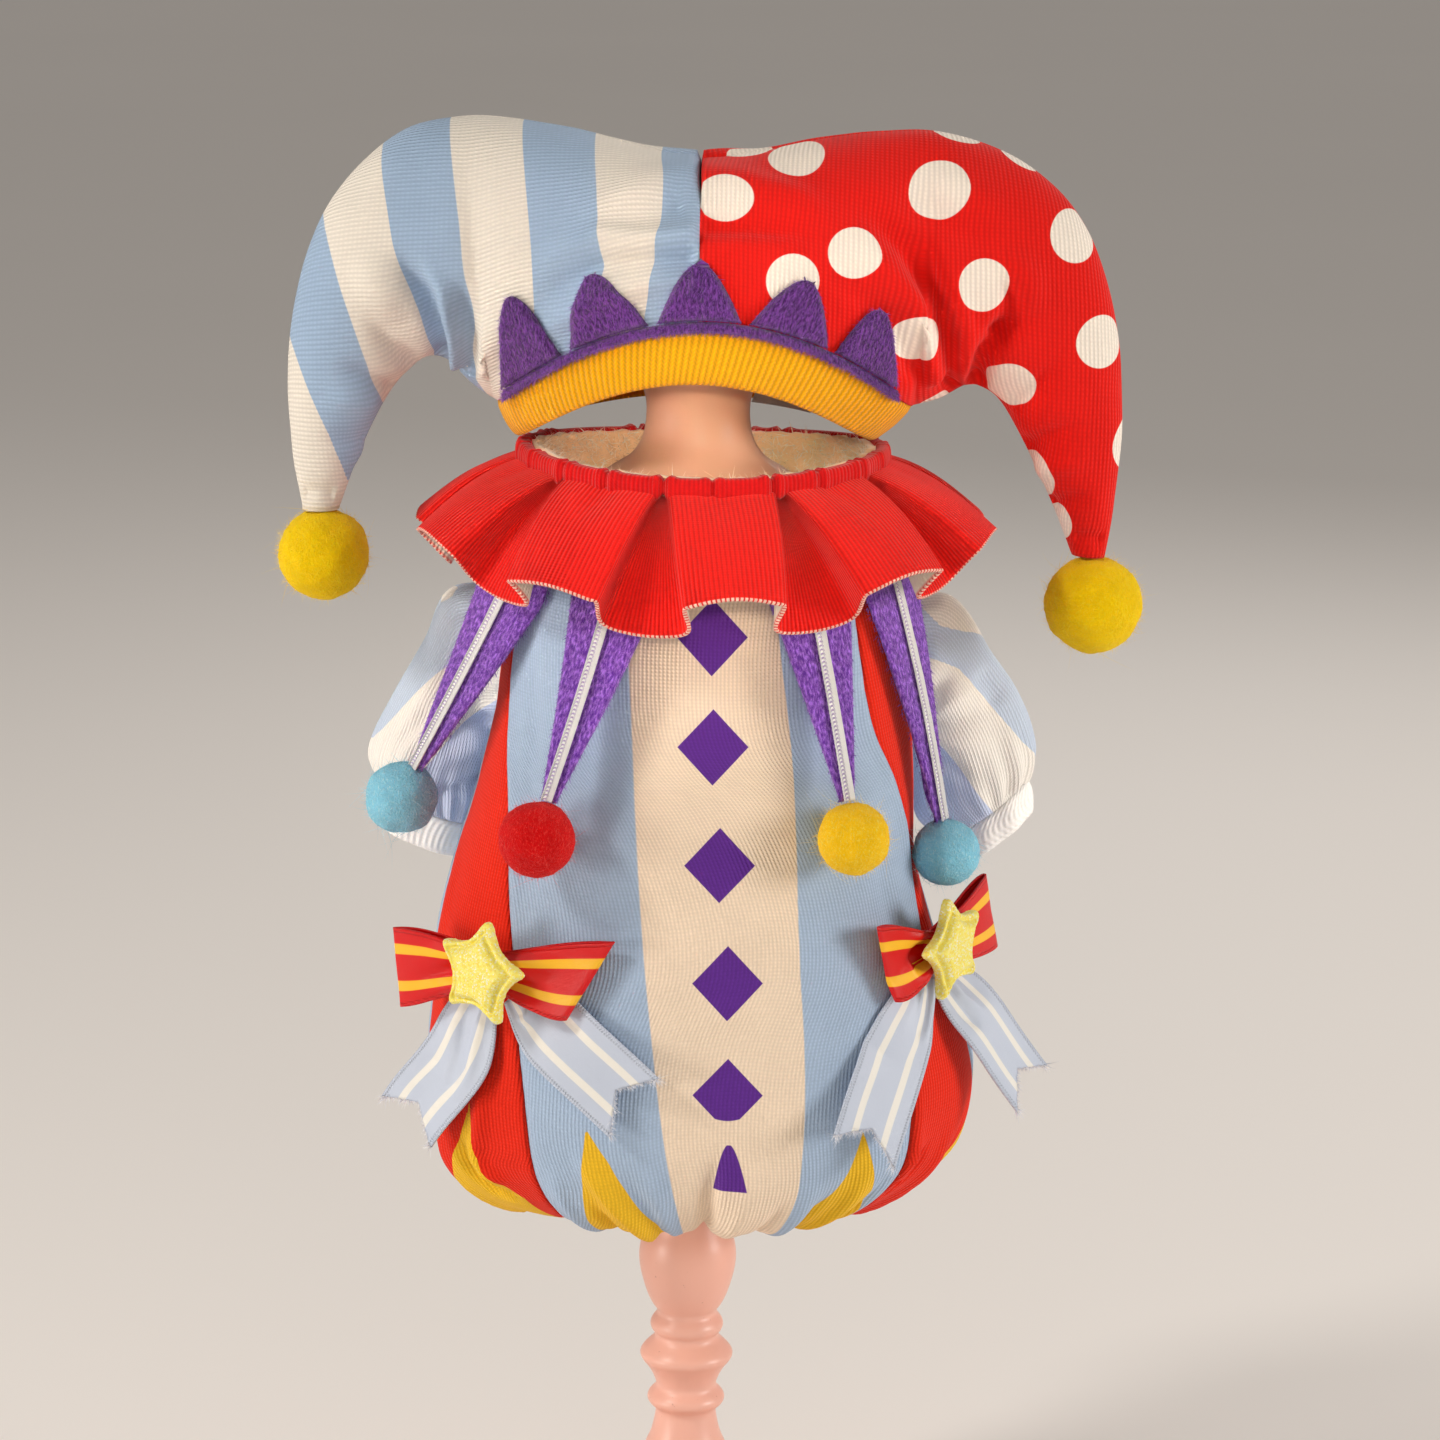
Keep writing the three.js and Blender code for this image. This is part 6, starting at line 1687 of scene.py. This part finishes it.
def build_pompom(node, middle, radius, colour, seed):
    points, faces = ball_mesh(5 if radius > POMPOM["fine_from"] else 4)
    lumps = (POMPOM["lump"] * rough(points * radius, 8.0, seed + 0.3)
             + POMPOM["pit"] * rough(points * radius, 2.6, seed + 0.7, 2))
    if colour not in FELT_MADE:
        dark, light = FELTS[colour]
        FELT_MADE[colour] = felt(f"felt_{colour}", dark, light), fibre(f"felt_fuzz_{colour}", light, dark)
    material, fuzz = FELT_MADE[colour]
    ball = make_mesh(node + "_felt", middle + points * (radius - 0.1 + lumps)[:, None], faces, material)
    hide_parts(node)
    pick = np.random.default_rng(100 + seed)
    count = int(POMPOM["fuzz"] * radius ** 2)
    way, lean = fuzz_ways(pick, count)
    out = pick.random((count, 1)) ** 2
    strands(node + "_fuzz", middle + way * (radius - 0.75), unit(lean + way * (0.25 + 0.9 * out)),
            1.3 + 2.0 * pick.random(count), 0.13, fuzz, 200 + seed, bend=0.8)
    way, lean = fuzz_ways(pick, POMPOM["strays"])
    strands(node + "_stray", middle + way * radius, unit(lean + way * 0.35),
            4 + 6 * pick.random(POMPOM["strays"]), 0.13, fuzz, 300 + seed, bend=0.7, parts=5)


# Hat pompoms: node, middle and radius.
HAT_BALLS = [("hat_pompom_left", (-115.6, 0, 351.2), 14.2), ("hat_pompom_right", (123.4, 0, 338.6), 15.2)]


def build_hat_balls():
    for number, (node, middle, radius) in enumerate(HAT_BALLS, start=7):
        build_pompom(node, np.array(middle), radius, "yellow", number)


# ------------------------------------------------------------------ bows
RIBBON, RIBBON_WIDTH = 0.7, 25.0
LOOP = dict(pinch=5.5, start=0.4, front=7.4, back=4.4, bulge=1.1, fullness=0.75, gather=0.8)
TAIL = dict(pinch=5.0, spacing=5.0, start=7.0, widen=2.4, swell=1.6, clear=0.7, notch=8.0, notch_from=0.6,
            lift=0.9, gather=0.7)
STAR = dict(outer=18.3, inner=11.8, roundness=0.42, rim=0.8, groove=1.25, belly=1.7, grain=0.12, most=5.6)
PAD = dict(scale=1.02, low=0.6, high=2.6, voxel=0.6, swell=1.7)  # the star before it is filled
PAD_SCALE = 10.0  # the cloth settles better on a star of hand size
# Bows: middle, the way they face, loops, tails and star. Folds in a loop are (depth, width, fade in, fade out,
# path) over (reach, height) in mm on its front; folds in a tail run over (across, down) in mm.
BOWS = {
    "left": dict(
        angle=-43, z=233, turn=-38, spin=-10, nudge=(2, 1), lift=11.4, shift=0,
        loops={
            "left": dict(reach=34, rise=-4, lean=0.04, turn=-27, folds=[
                (-1.9, 2.6, 0.02, 0.6, [(4, 0), (14, -1), (26, -3)]),
                (1, 3, 0.05, 0.5, [(4, 4), (14, 5), (24, 6)]),
                (1.1, 2.4, 0.05, 0.5, [(4, -4), (14, -6), (25, -9)]),
                (-0.9, 2, 0.1, 0.4, [(6, -7), (16, -9), (27, -11)])]),
            "right": dict(reach=33.5, rise=0.5, lean=0.2, turn=-20, folds=[
                (-1.6, 2.4, 0.02, 0.6, [(5, -1), (14, -3), (24, -6)]),
                (1.2, 3.2, 0.05, 0.6, [(4, 3), (15, 3), (28, 1)]),
                (0.9, 2.2, 0.05, 0.5, [(5, -5), (13, -8), (22, -10)]),
                (-0.7, 1.8, 0.1, 0.5, [(4, 6), (13, 8), (22, 9)])]),
        },
        tails={
            "left": dict(end=(-85.5, -35, 181.8), turn=-42, bow=4.2, folds=[
                (-2.3, 2.4, 0.02, 0.45, [(-1.5, 0), (-1, 14), (2.5, 26), (5, 42)]),
                (1.9, 2.4, 0.02, 0.45, [(3, 0), (4, 14), (7, 26), (8, 38)]),
                (1.2, 2.6, 0.02, 0.4, [(-5, 0), (-6, 16), (-4, 30)]),
                (-1.2, 4.5, 0.3, 0.5, [(-9, 26), (-3, 40), (2, 52)])]),
            "right": dict(end=(-19, -70, 198), turn=-12, folds=[
                (1.9, 1.9, 0.1, 0.2, [(-6, 9), (-1, 8), (3.5, 5), (5, 1)]),
                (-1.6, 1.6, 0.1, 0.2, [(-5, 5), (0, 4.5), (2.5, 1)]),
                (-0.7, 2.6, 0.1, 0.5, [(4, 8), (6, 18), (5, 30)])]),
        }),
    "right": dict(
        angle=65, z=236, turn=58, spin=13, nudge=(0.5, 1.2), lift=10.8, shift=4,
        loops={
            "left": dict(reach=26, rise=0.5, lean=0.16, turn=54, folds=[
                (-4.8, 3.2, 0, 0.5, [(3, 1), (9, 0), (16, -2.5)]),
                (1.4, 2.6, 0.05, 0.5, [(3, 5), (11, 6), (19, 7)]),
                (1.6, 2.6, 0.05, 0.5, [(3, -4), (9, -6), (15, -9)])]),
            "right": dict(reach=32.5, rise=5.5, lean=-0.12, turn=53, folds=[
                (-2, 2.4, 0.02, 0.5, [(4, 1), (12, 2), (20, 4)]),
                (1.2, 2.4, 0.05, 0.5, [(4, -4), (12, -4), (20, -4)])]),
        },
        tails={
            "left": dict(end=(54.5, -64, 184), turn=26, folds=[
                (-2.2, 2, 0.02, 0.4, [(2.5, 0), (4, 10), (7.5, 24)]),
                (1.7, 2, 0.02, 0.4, [(5.5, 0), (7.5, 12), (10, 26)]),
                (1, 3, 0.05, 0.4, [(-2, 0), (-2, 12), (-4, 24)])]),
            "right": dict(end=(104.5, -20, 190.5), turn=64, folds=[
                (-2.4, 1.9, 0.02, 0.4, [(-3, 0), (-5.5, 14), (-4, 28)]),
                (1.7, 2.2, 0.02, 0.4, [(0, 0), (-1.5, 14), (2, 28)]),
                (-0.9, 2.6, 0.05, 0.4, [(5, 0), (6, 14), (7, 26)])]),
        }),
}


class Bow:
    """Places on a bow, from its middle on the garment."""

    def __init__(self, plan):
        self.plan = plan
        self.middle = body_surface(plan["angle"], body_row(plan["z"]))
        self.out = facing(plan["turn"])

    def place(self, across, height, forward, turn):
        turned, straight = sines(turn)
        parts = np.stack(np.broadcast_arrays(across, height, forward), axis=-1)
        return self.middle + parts @ np.array([(straight, turned, 0), (0, 0, 1), self.out])


def satin(name, cloth, stripe, at, half, gleam):
    """Satin ribbon: two printed stripes, a corded edge with small loops, fine weft lines."""
    finish = Finish(name, Roughness=gleam, Specular_IOR_Level=0.42, Anisotropic=0.5)
    place, s, t = finish.cloth()
    edge = finish.math("ABSOLUTE", finish.value("across"))
    colour = finish.mixed(finish.over(finish.apart(edge, at), half, 0.012), stripe, cloth)
    weft, loops = finish.wave(s, 0.33), finish.wave(t, 0.95)
    border = finish.over(edge, 0.925, 0.015)
    groove = finish.times(finish.over(edge, 0.88, 0.02), finish.minus(1.0, border))
    # painted shade: the weft lines are darker where they lie low, and the groove inside the corded edge is
    # darker between its loops
    colour = finish.shaded(colour, weft, 0.95, 1.03)
    finish.paint(finish.shaded(colour, finish.minus(1.0, finish.times(groove, loops)), 0.8, 1.0))
    slub = finish.times(finish.noise(place, 0.9), 0.35)
    finish.bump(finish.add(finish.times(weft, 0.18), finish.times(border, 0.6, loops),
                           finish.times(groove, loops, -0.8), slub), 0.3)
    return finish.material


def build_loop(bow, name, side, loop, material):
    way = -1 if side == "left" else 1
    rows = np.linspace(1, -1, 33)[:, None]
    turns = even_rows(lambda turn: np.stack(loop_path(loop, turn)[:2], axis=1), 0, 1, 0.85)[None, ::way]
    reach, forward, spread = loop_path(loop, turns)
    half = mix(LOOP["pinch"], RIBBON_WIDTH / 2, np.sin(np.pi / 2 * spread))
    across = way * reach * (1 + loop["lean"] * rows * spread)
    form = keep_off(bow.place(across, rows * half + loop["rise"] * spread, forward, loop["turn"]),
                    np.broadcast_to(forward, across.shape))
    fold = creases(np.broadcast_to(reach, across.shape), np.broadcast_to(rows * half, across.shape),
                   loop["folds"])
    gather = LOOP["gather"] * np.cos(rows * 9.5 + 0.6) * bump(reach, 9.0) * smooth(reach / 2)
    height = np.where(turns < 0.5, (fold + gather) * smooth((0.5 - turns) / 0.1), -0.4 * gather)
    height = height + 0.25 * rough(form, 8.0, len(name)) * smooth(reach / 6)
    shell(f"bow_{name}_loop_{side}", raised(form, height), RIBBON, material, held="folded",
          rests=("body_front",), values={"across": np.broadcast_to(rows, across.shape)})


def loop_path(loop, turn):
    """Reach out, distance forward and spread at a part of the way round a loop."""
    spread = np.maximum(np.sin(np.pi * turn), 0)
    reach = mix(LOOP["start"], loop["reach"], spread ** LOOP["fullness"])
    forward = mix(LOOP["front"], LOOP["back"], turn) + LOOP["bulge"] * np.sin(2 * np.pi * turn)
    return reach, forward, spread


def build_tail(bow, name, side, tail, material, thread):
    way = -1 if side == "left" else 1
    start = bow.place(way * TAIL["spacing"] + bow.plan["shift"], -TAIL["start"], TAIL["clear"],
                      bow.plan["turn"])
    run = np.array(tail["end"]) - start
    sideways, face = strip_frame(run, tail["turn"])
    length = np.linalg.norm(run)
    parts = np.linspace(0, 1, int(length / 0.9))[:, None]
    across = np.linspace(-1, 1, 31)[None, :]
    half = mix(TAIL["pinch"], RIBBON_WIDTH / 2, np.sin(np.pi / 2 * np.minimum(parts * TAIL["widen"], 1)))
    late = np.maximum(parts - TAIL["notch_from"], 0) / (1 - TAIL["notch_from"])
    notch = TAIL["notch"] / length * late * (0.5 - np.abs(across))
    belly = np.sin(np.pi * parts) ** 2
    swell = TAIL["swell"] * belly
    form = (start + (parts - notch)[..., None] * run
            + (across * half + tail.get("bow", 0.0) * belly)[..., None] * sideways + swell[..., None] * face)
    form = keep_off(form, TAIL["clear"])
    down = np.broadcast_to(parts * length, notch.shape)
    wide = np.broadcast_to(across * half, notch.shape)
    height = creases(wide, down, tail["folds"]) + 0.3 * rough(form, 14.0, length)
    height += TAIL["gather"] * np.cos(across * 8 + way) * bump(down, 9.0)
    edge = 0.35 * rough(point(wide, 0, 0), 1.6, length) * smooth((down - length + 3) / 3)
    lift = np.maximum(height, -0.2 - swell * 0.5) + TAIL["lift"]
    grid = form + face * lift[..., None] + unit(run) * edge[..., None]
    node = f"bow_{name}_tail_{side}"
    shell(node, grid, RIBBON, material, rests=("body_front",),
          values={"across": np.broadcast_to(across, notch.shape)})
    fray(node, grid, thread, int(length * 10))


def fray(node, grid, material, seed):
    """Loose threads along a cut ribbon end, longer in a few tufts."""
    pick = np.random.default_rng(seed)
    count = 420
    at = pick.random(count) * (grid.shape[1] - 1)
    low = np.minimum(at.astype(int), grid.shape[1] - 2)
    part = (at - low)[:, None]
    roots = mix(grid[-1][low], grid[-1][low + 1], part) - normals_of(grid)[-1][low] * 0.35
    way = unit(mix(grid[-1][low] - grid[-3][low], grid[-1][low + 1] - grid[-3][low + 1], part))
    tuft = np.maximum(np.maximum(bump(at - 1, 1.6), bump(at - grid.shape[1] + 2, 1.6)),
                      0.6 * bump(at - 0.3 * grid.shape[1], 1.5))
    ways = unit(way + 0.45 * pick.normal(size=(count, 3)))
    strands(node + "_threads", roots - way * 0.4, ways, 0.9 + 1.3 * pick.random(count) + 2.2 * tuft, 0.24,
            material, seed + 1, bend=0.45, parts=3)


def star_outline():
    """Rounded outline of the star, going round it."""
    corners = []
    for corner in range(10):
        radius = STAR["inner"] if corner % 2 else STAR["outer"]
        turn = math.radians(corner * 36 + 90)
        corners.append(np.array([math.cos(turn) * radius, math.sin(turn) * radius]))
    line = []
    for before, corner, after in zip(corners[-1:] + corners[:-1], corners, corners[1:] + corners[:1]):
        enter, leave = mix(corner, before, STAR["roundness"] / 2), mix(corner, after, STAR["roundness"] / 2)
        for part in np.linspace(0, 1, 7):
            line.append(mix(mix(enter, corner, part), mix(corner, leave, part), part))
    return np.array(line)


def star_pad():
    """Points and faces of a stuffed star in mm, its flat back at height 0."""
    outline = star_outline() * PAD["scale"]
    count = len(outline)
    rings = [np.column_stack([outline, np.full(count, height)]) for height in (PAD["low"], PAD["high"])]
    points = np.concatenate(rings + [[[0, 0, PAD["low"]]], [[0, 0, PAD["high"]]]])
    ring = np.arange(count)
    after = np.roll(ring, -1)
    faces = np.stack([ring, after, after + count, ring + count], axis=1).tolist()
    faces += np.stack([after, ring, np.full(count, 2 * count)], axis=1).tolist()
    faces += np.stack([ring + count, after + count, np.full(count, 2 * count + 1)], axis=1).tolist()
    size = MM * PAD_SCALE
    mesh = bpy.data.meshes.new("star_pad")
    mesh.from_pydata((points * size).tolist(), [], faces)
    pad = new_object("star_pad", mesh)
    remesh = pad.modifiers.new("remesh", "REMESH")
    remesh.mode, remesh.voxel_size = "VOXEL", PAD["voxel"] * size
    apply_all(pad)
    before = mesh_points(pad)
    stuff(pad)
    move = mesh_points(pad) - before
    reach = np.linalg.norm(move, axis=1, keepdims=True)
    moved = before + move * np.minimum(1, PAD["swell"] * size / np.maximum(reach, 1e-9))
    pad.data.vertices.foreach_set("co", moved.astype(np.float32).ravel())
    pad.modifiers.new("smooth", "SUBSURF").levels = 1
    apply_all(pad)
    points = mesh_points(pad) / size
    faces = [list(face.vertices) for face in pad.data.polygons]
    bpy.data.objects.remove(pad)
    return points, faces


def apply_all(piece):
    """Bakes an object's modifiers into its mesh."""
    bpy.context.view_layer.update()
    graph = bpy.context.evaluated_depsgraph_get()
    mesh = bpy.data.meshes.new_from_object(piece.evaluated_get(graph))
    piece.modifiers.clear()
    piece.data = mesh


def mesh_points(piece):
    values = np.empty(len(piece.data.vertices) * 3, dtype=np.float32)
    piece.data.vertices.foreach_get("co", values)
    return values.reshape(-1, 3).astype(float)


def stuff(pad):
    """Swells a pad like a filled cushion, with Blender's cloth."""
    scene = bpy.context.scene
    cloth = pad.modifiers.new("cloth", "CLOTH")
    settings = cloth.settings
    settings.quality = 6
    settings.mass = 0.3
    settings.tension_stiffness = settings.compression_stiffness = settings.shear_stiffness = 18
    settings.bending_stiffness = 1.5
    settings.use_pressure = True
    settings.uniform_pressure_force = 4.0
    settings.effector_weights.gravity = 0
    for frame_number in range(1, 21):
        scene.frame_set(frame_number)
    apply_all(pad)
    scene.frame_set(1)


def glitter():
    """Coarse yellow glitter: tilted flakes, a few of them painted white as glints."""
    finish = Finish("glitter", Roughness=0.42, Specular_IOR_Level=0.6, Sheen_Weight=0.15)
    place = finish.place()
    flake = finish.node("TexVoronoi", {"feature": "F1"}, Vector=place, Scale=2000.0)
    tone = finish.node("SeparateColor", Color=flake.outputs["Color"])
    fine = finish.node("TexVoronoi", {"feature": "F1"}, Vector=place, Scale=3600.0)
    fine_tone = finish.node("SeparateColor", Color=fine.outputs["Color"])
    colour = finish.mixed(tone.outputs[0], rgb(255, 230, 60), rgb(255, 249, 130))
    rare = finish.over(tone.outputs[1], 0.78, 0.04)
    # painted glints: a few flakes are painted near white, and they are also made smoother
    painted_glint = finish.times(rare, finish.over(fine_tone.outputs[0], 0.35, 0.1))
    finish.paint(finish.mixed(painted_glint, colour, rgb(255, 254, 225)))
    finish.feed(finish.shader.inputs["Roughness"], finish.math("MULTIPLY_ADD", painted_glint, -0.22, 0.5))
    finish.bump(finish.add(tone.outputs[2], finish.times(fine_tone.outputs[1], 0.6)), 0.3)
    return finish.material


def build_star(bow, name, pad, material):
    points, faces = pad
    plan = bow.plan
    outline = star_outline()
    outline = outline * np.hypot(points[:, 0], points[:, 1]).max() / np.hypot(*outline.T).max()
    distance, _ = line_distance(points[:, 0], points[:, 1], np.concatenate([outline, outline[:1]]))
    rim = STAR["rim"] * bump(distance - 1.1, 0.9) - STAR["groove"] * bump(distance - 2.7, 0.5)
    belly = STAR["belly"] * smooth((distance - 2.6) / 3.2)
    grain = STAR["grain"] * rough(points, 0.9, 3.0)
    height = points[:, 2] + smooth(points[:, 2] - 1.4) * (rim + belly + grain)
    sine, cosine = sines(plan["spin"])
    x = points[:, 0] * cosine - points[:, 1] * sine + plan["nudge"][0]
    y = points[:, 0] * sine + points[:, 1] * cosine + plan["nudge"][1]
    placed = bow.place(x, y, plan["lift"] + np.clip(height, 0.0, STAR["most"]), plan["turn"])
    node = f"bow_{name}_star"
    star = make_mesh(node + "_pad", placed, faces, material)
    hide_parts(node)


def build_bows():
    red = satin("red_ribbon", rgb(218, 2, 6), rgb(254, 192, 40), 0.47, 0.13, 0.26)
    pale = satin("pale_ribbon", rgb(198, 208, 226), rgb(240, 238, 230), 0.46, 0.10, 0.34)
    thread = fibre("ribbon_thread", rgb(250, 250, 252), rgb(205, 210, 226))
    pad, sparkle = star_pad(), glitter()
    for name, plan in BOWS.items():
        bow = Bow(plan)
        for side, loop in plan["loops"].items():
            build_loop(bow, name, side, loop, red)
        for side, tail in plan["tails"].items():
            build_tail(bow, name, side, tail, pale, thread)
        build_star(bow, name, pad, sparkle)


# ------------------------------------------------------------------ stand
FOOT = [(0, 0), (72, 0), (75, 3), (75, 11), (72, 14), (0, 14)]
POST = [
    (0, 14.3), (24, 14.3), (24, 18), (20, 21), (14, 25), (10.5, 32), (9.6, 40), (10.6, 47), (13.2, 53),
    (14, 57), (12.6, 60.6), (11.2, 63.5), (10, 68.6), (9.55, 72.4), (12.4, 74.6), (12.4, 77), (9.7, 79.6),
    (9.7, 81.5), (11.9, 86.3), (15.2, 90.2), (14.4, 92.6), (9.5, 97.1), (11.7, 99.6), (11.7, 102), (9, 105.3),
    (11.3, 108), (13.5, 113), (15.8, 122), (15.2, 129), (12.6, 134.7), (11, 141), (10.6, 150), (10.6, 159.7),
    (0, 159.7),
]
FORM = [
    (0, 160), (24, 160), (31, 164), (35.6, 174), (37.6, 200), (37, 250), (37.6, 300), (38.6, 335),
    (39.1, 357), (38.2, 367), (34, 374.6), (26.5, 380), (21.3, 383), (18.8, 386), (16.7, 390), (15.7, 397.8),
    (16.6, 404), (20.5, 412), (26, 422.5), (30, 435), (31, 446), (29, 457), (23, 465.2), (13, 470.2),
    (0, 472.3),
]
# Turned pieces of the stand: name, node, profile and number of sides.
TURNED = [("stand_foot_turned", "stand_base", FOOT, 128), ("stand_post_turned", "stand_post", POST, 80),
          ("dress_form_turned", "dress_form", FORM, 96)]


def stand_paint():
    paint = Finish("stand_paint", Roughness=0.42, Coat_Weight=0.25, Coat_Roughness=0.3)
    place = paint.place()
    cloud, grain = paint.noise(place, 14.0, 3.0), paint.noise(place, 260.0, 4.0)
    speck = paint.over(paint.noise(place, 620.0, 2.0), 0.73, 0.02)
    # The pink is the stand's paint made a little darker and warmer: painted warm bounced light.
    colour = paint.shaded(rgb(236, 180, 162), cloud, 0.95, 1.05)
    paint.paint(paint.mixed(paint.times(speck, 0.5), colour, rgb(176, 120, 104)))
    paint.bump(paint.add(paint.times(grain, 0.5), paint.times(cloud, 0.5)), 0.12)
    return paint.material


def form_skin():
    skin = Finish("form_skin", Roughness=0.5, Subsurface_Weight=0.08, Coat_Weight=0.1)
    place = skin.place()
    cloud, fine = skin.noise(place, 16.0, 3.0), skin.noise(place, 420.0, 3.0)
    # The peach is the form's colour made a little darker and warmer: painted warm bounced light.
    skin.paint(skin.shaded(rgb(230, 174, 142), cloud, 0.95, 1.05))
    skin.bump(skin.add(skin.times(fine, 0.4), cloud), 0.1)
    return skin.material


def build_stand():
    materials = {"pink_paint": stand_paint(), "peach_form": form_skin()}
    for name, node, profile, sides in TURNED:
        lathe(name, rounded(profile, 2), sides, materials[SLOTS[node]], node)


BUILDERS = [build_body, build_sleeves, build_ruff, build_neckband, build_fleece, build_spikes, build_bows,
            build_hat, build_hat_balls, build_stand]


# ------------------------------------------------------------------ stage, light and camera
VIEW = dict(lens=116.0, distance=1450.0, tilt=13.0, roll=0.8, aim=(8.0, 0.0, 300.0))
FLOOR_REACH = 30.0  # metres


def build_camera():
    camera = bpy.data.cameras.new("camera")
    camera.lens, camera.sensor_width = VIEW["lens"], 36.0
    camera.clip_start, camera.clip_end = 0.05, 60.0
    holder = new_object("camera", camera)
    tilt, roll = math.radians(VIEW["tilt"]), math.radians(VIEW["roll"])
    back = Vector((0, -math.cos(tilt), math.sin(tilt)))
    up = Vector((0, math.sin(tilt), math.cos(tilt)))
    level = Vector((1, 0, 0))
    right = level * math.cos(roll) + up * math.sin(roll)
    above = up * math.cos(roll) - level * math.sin(roll)
    turn = Matrix((right, above, back)).transposed().to_4x4()
    holder.matrix_world = Matrix.Translation((Vector(VIEW["aim"]) + back * VIEW["distance"]) * MM) @ turn
    bpy.context.scene.camera = holder


def build_stage():
    floor = Finish("floor", Roughness=0.9)
    floor.paint(floor.shaded(rgb(242, 238, 234), floor.noise(floor.place(), 1.5, 2.0), 0.985, 1.015))
    mesh = bpy.data.meshes.new("floor")
    corners = [(x * FLOOR_REACH, y * FLOOR_REACH, 0) for x, y in ((-1, -1), (1, -1), (1, 1), (-1, 1))]
    mesh.from_pydata(corners, [], [(0, 1, 2, 3)])
    mesh.materials.append(floor.material)
    plane = new_object("floor", mesh)


def area_light(name, place, aim, size, power, colour, spread):
    light = bpy.data.lights.new(name, "AREA")
    light.spread = math.radians(spread)
    light.shape, light.size, light.energy, light.color = "DISK", size, power, colour
    holder = new_object(name, light)
    holder.location = place
    holder.rotation_euler = (Vector(place) - Vector(aim)).to_track_quat("Z", "Y").to_euler()


MIDDLE = (0.0, 0.0, 0.3)
# Round lights, in metres and watts: name, place, aim, size, power, colour and spread in degrees.
LIGHTS = [
    ("key", (-1.2, -0.72, 1.35), MIDDLE, 0.3, 12.0, (1.0, 0.94, 0.87), 180),
    ("side", (1.5, -0.5, 0.6), MIDDLE, 0.6, 14.5, (1.0, 0.95, 0.9), 180),
    ("low", (-1.4, -0.7, 0.3), MIDDLE, 0.5, 8.6, (1.0, 0.93, 0.86), 180),
    ("fill", (0.1, -1.55, 0.82), MIDDLE, 0.8, 1.2, (1.0, 0.87, 0.72), 180),
    ("neck", (0.02, -1.45, 0.78), (0.0, 0.0, 0.38), 0.1, 0.037, (1.0, 0.84, 0.66), 9),
    ("rim", (0.5, 1.4, 1.2), MIDDLE, 1.0, 6.0, (1.0, 0.96, 0.92), 180),
]
SKY = dict(colour=(1.0, 0.94, 0.88, 1.0), strength=0.31)


def build_lights():
    for light in LIGHTS:
        area_light(*light)
    world = bpy.data.worlds.new("studio")
    world.use_nodes = True
    sky = next(n for n in world.node_tree.nodes if n.type == "BACKGROUND")
    sky.inputs["Color"].default_value = SKY["colour"]
    sky.inputs["Strength"].default_value = SKY["strength"]
    bpy.context.scene.world = world


bpy.context.scene.view_settings.view_transform = "Standard"
build_camera()
build_stage()
build_lights()
for build in BUILDERS:
    build()
bpy.context.view_layer.update()
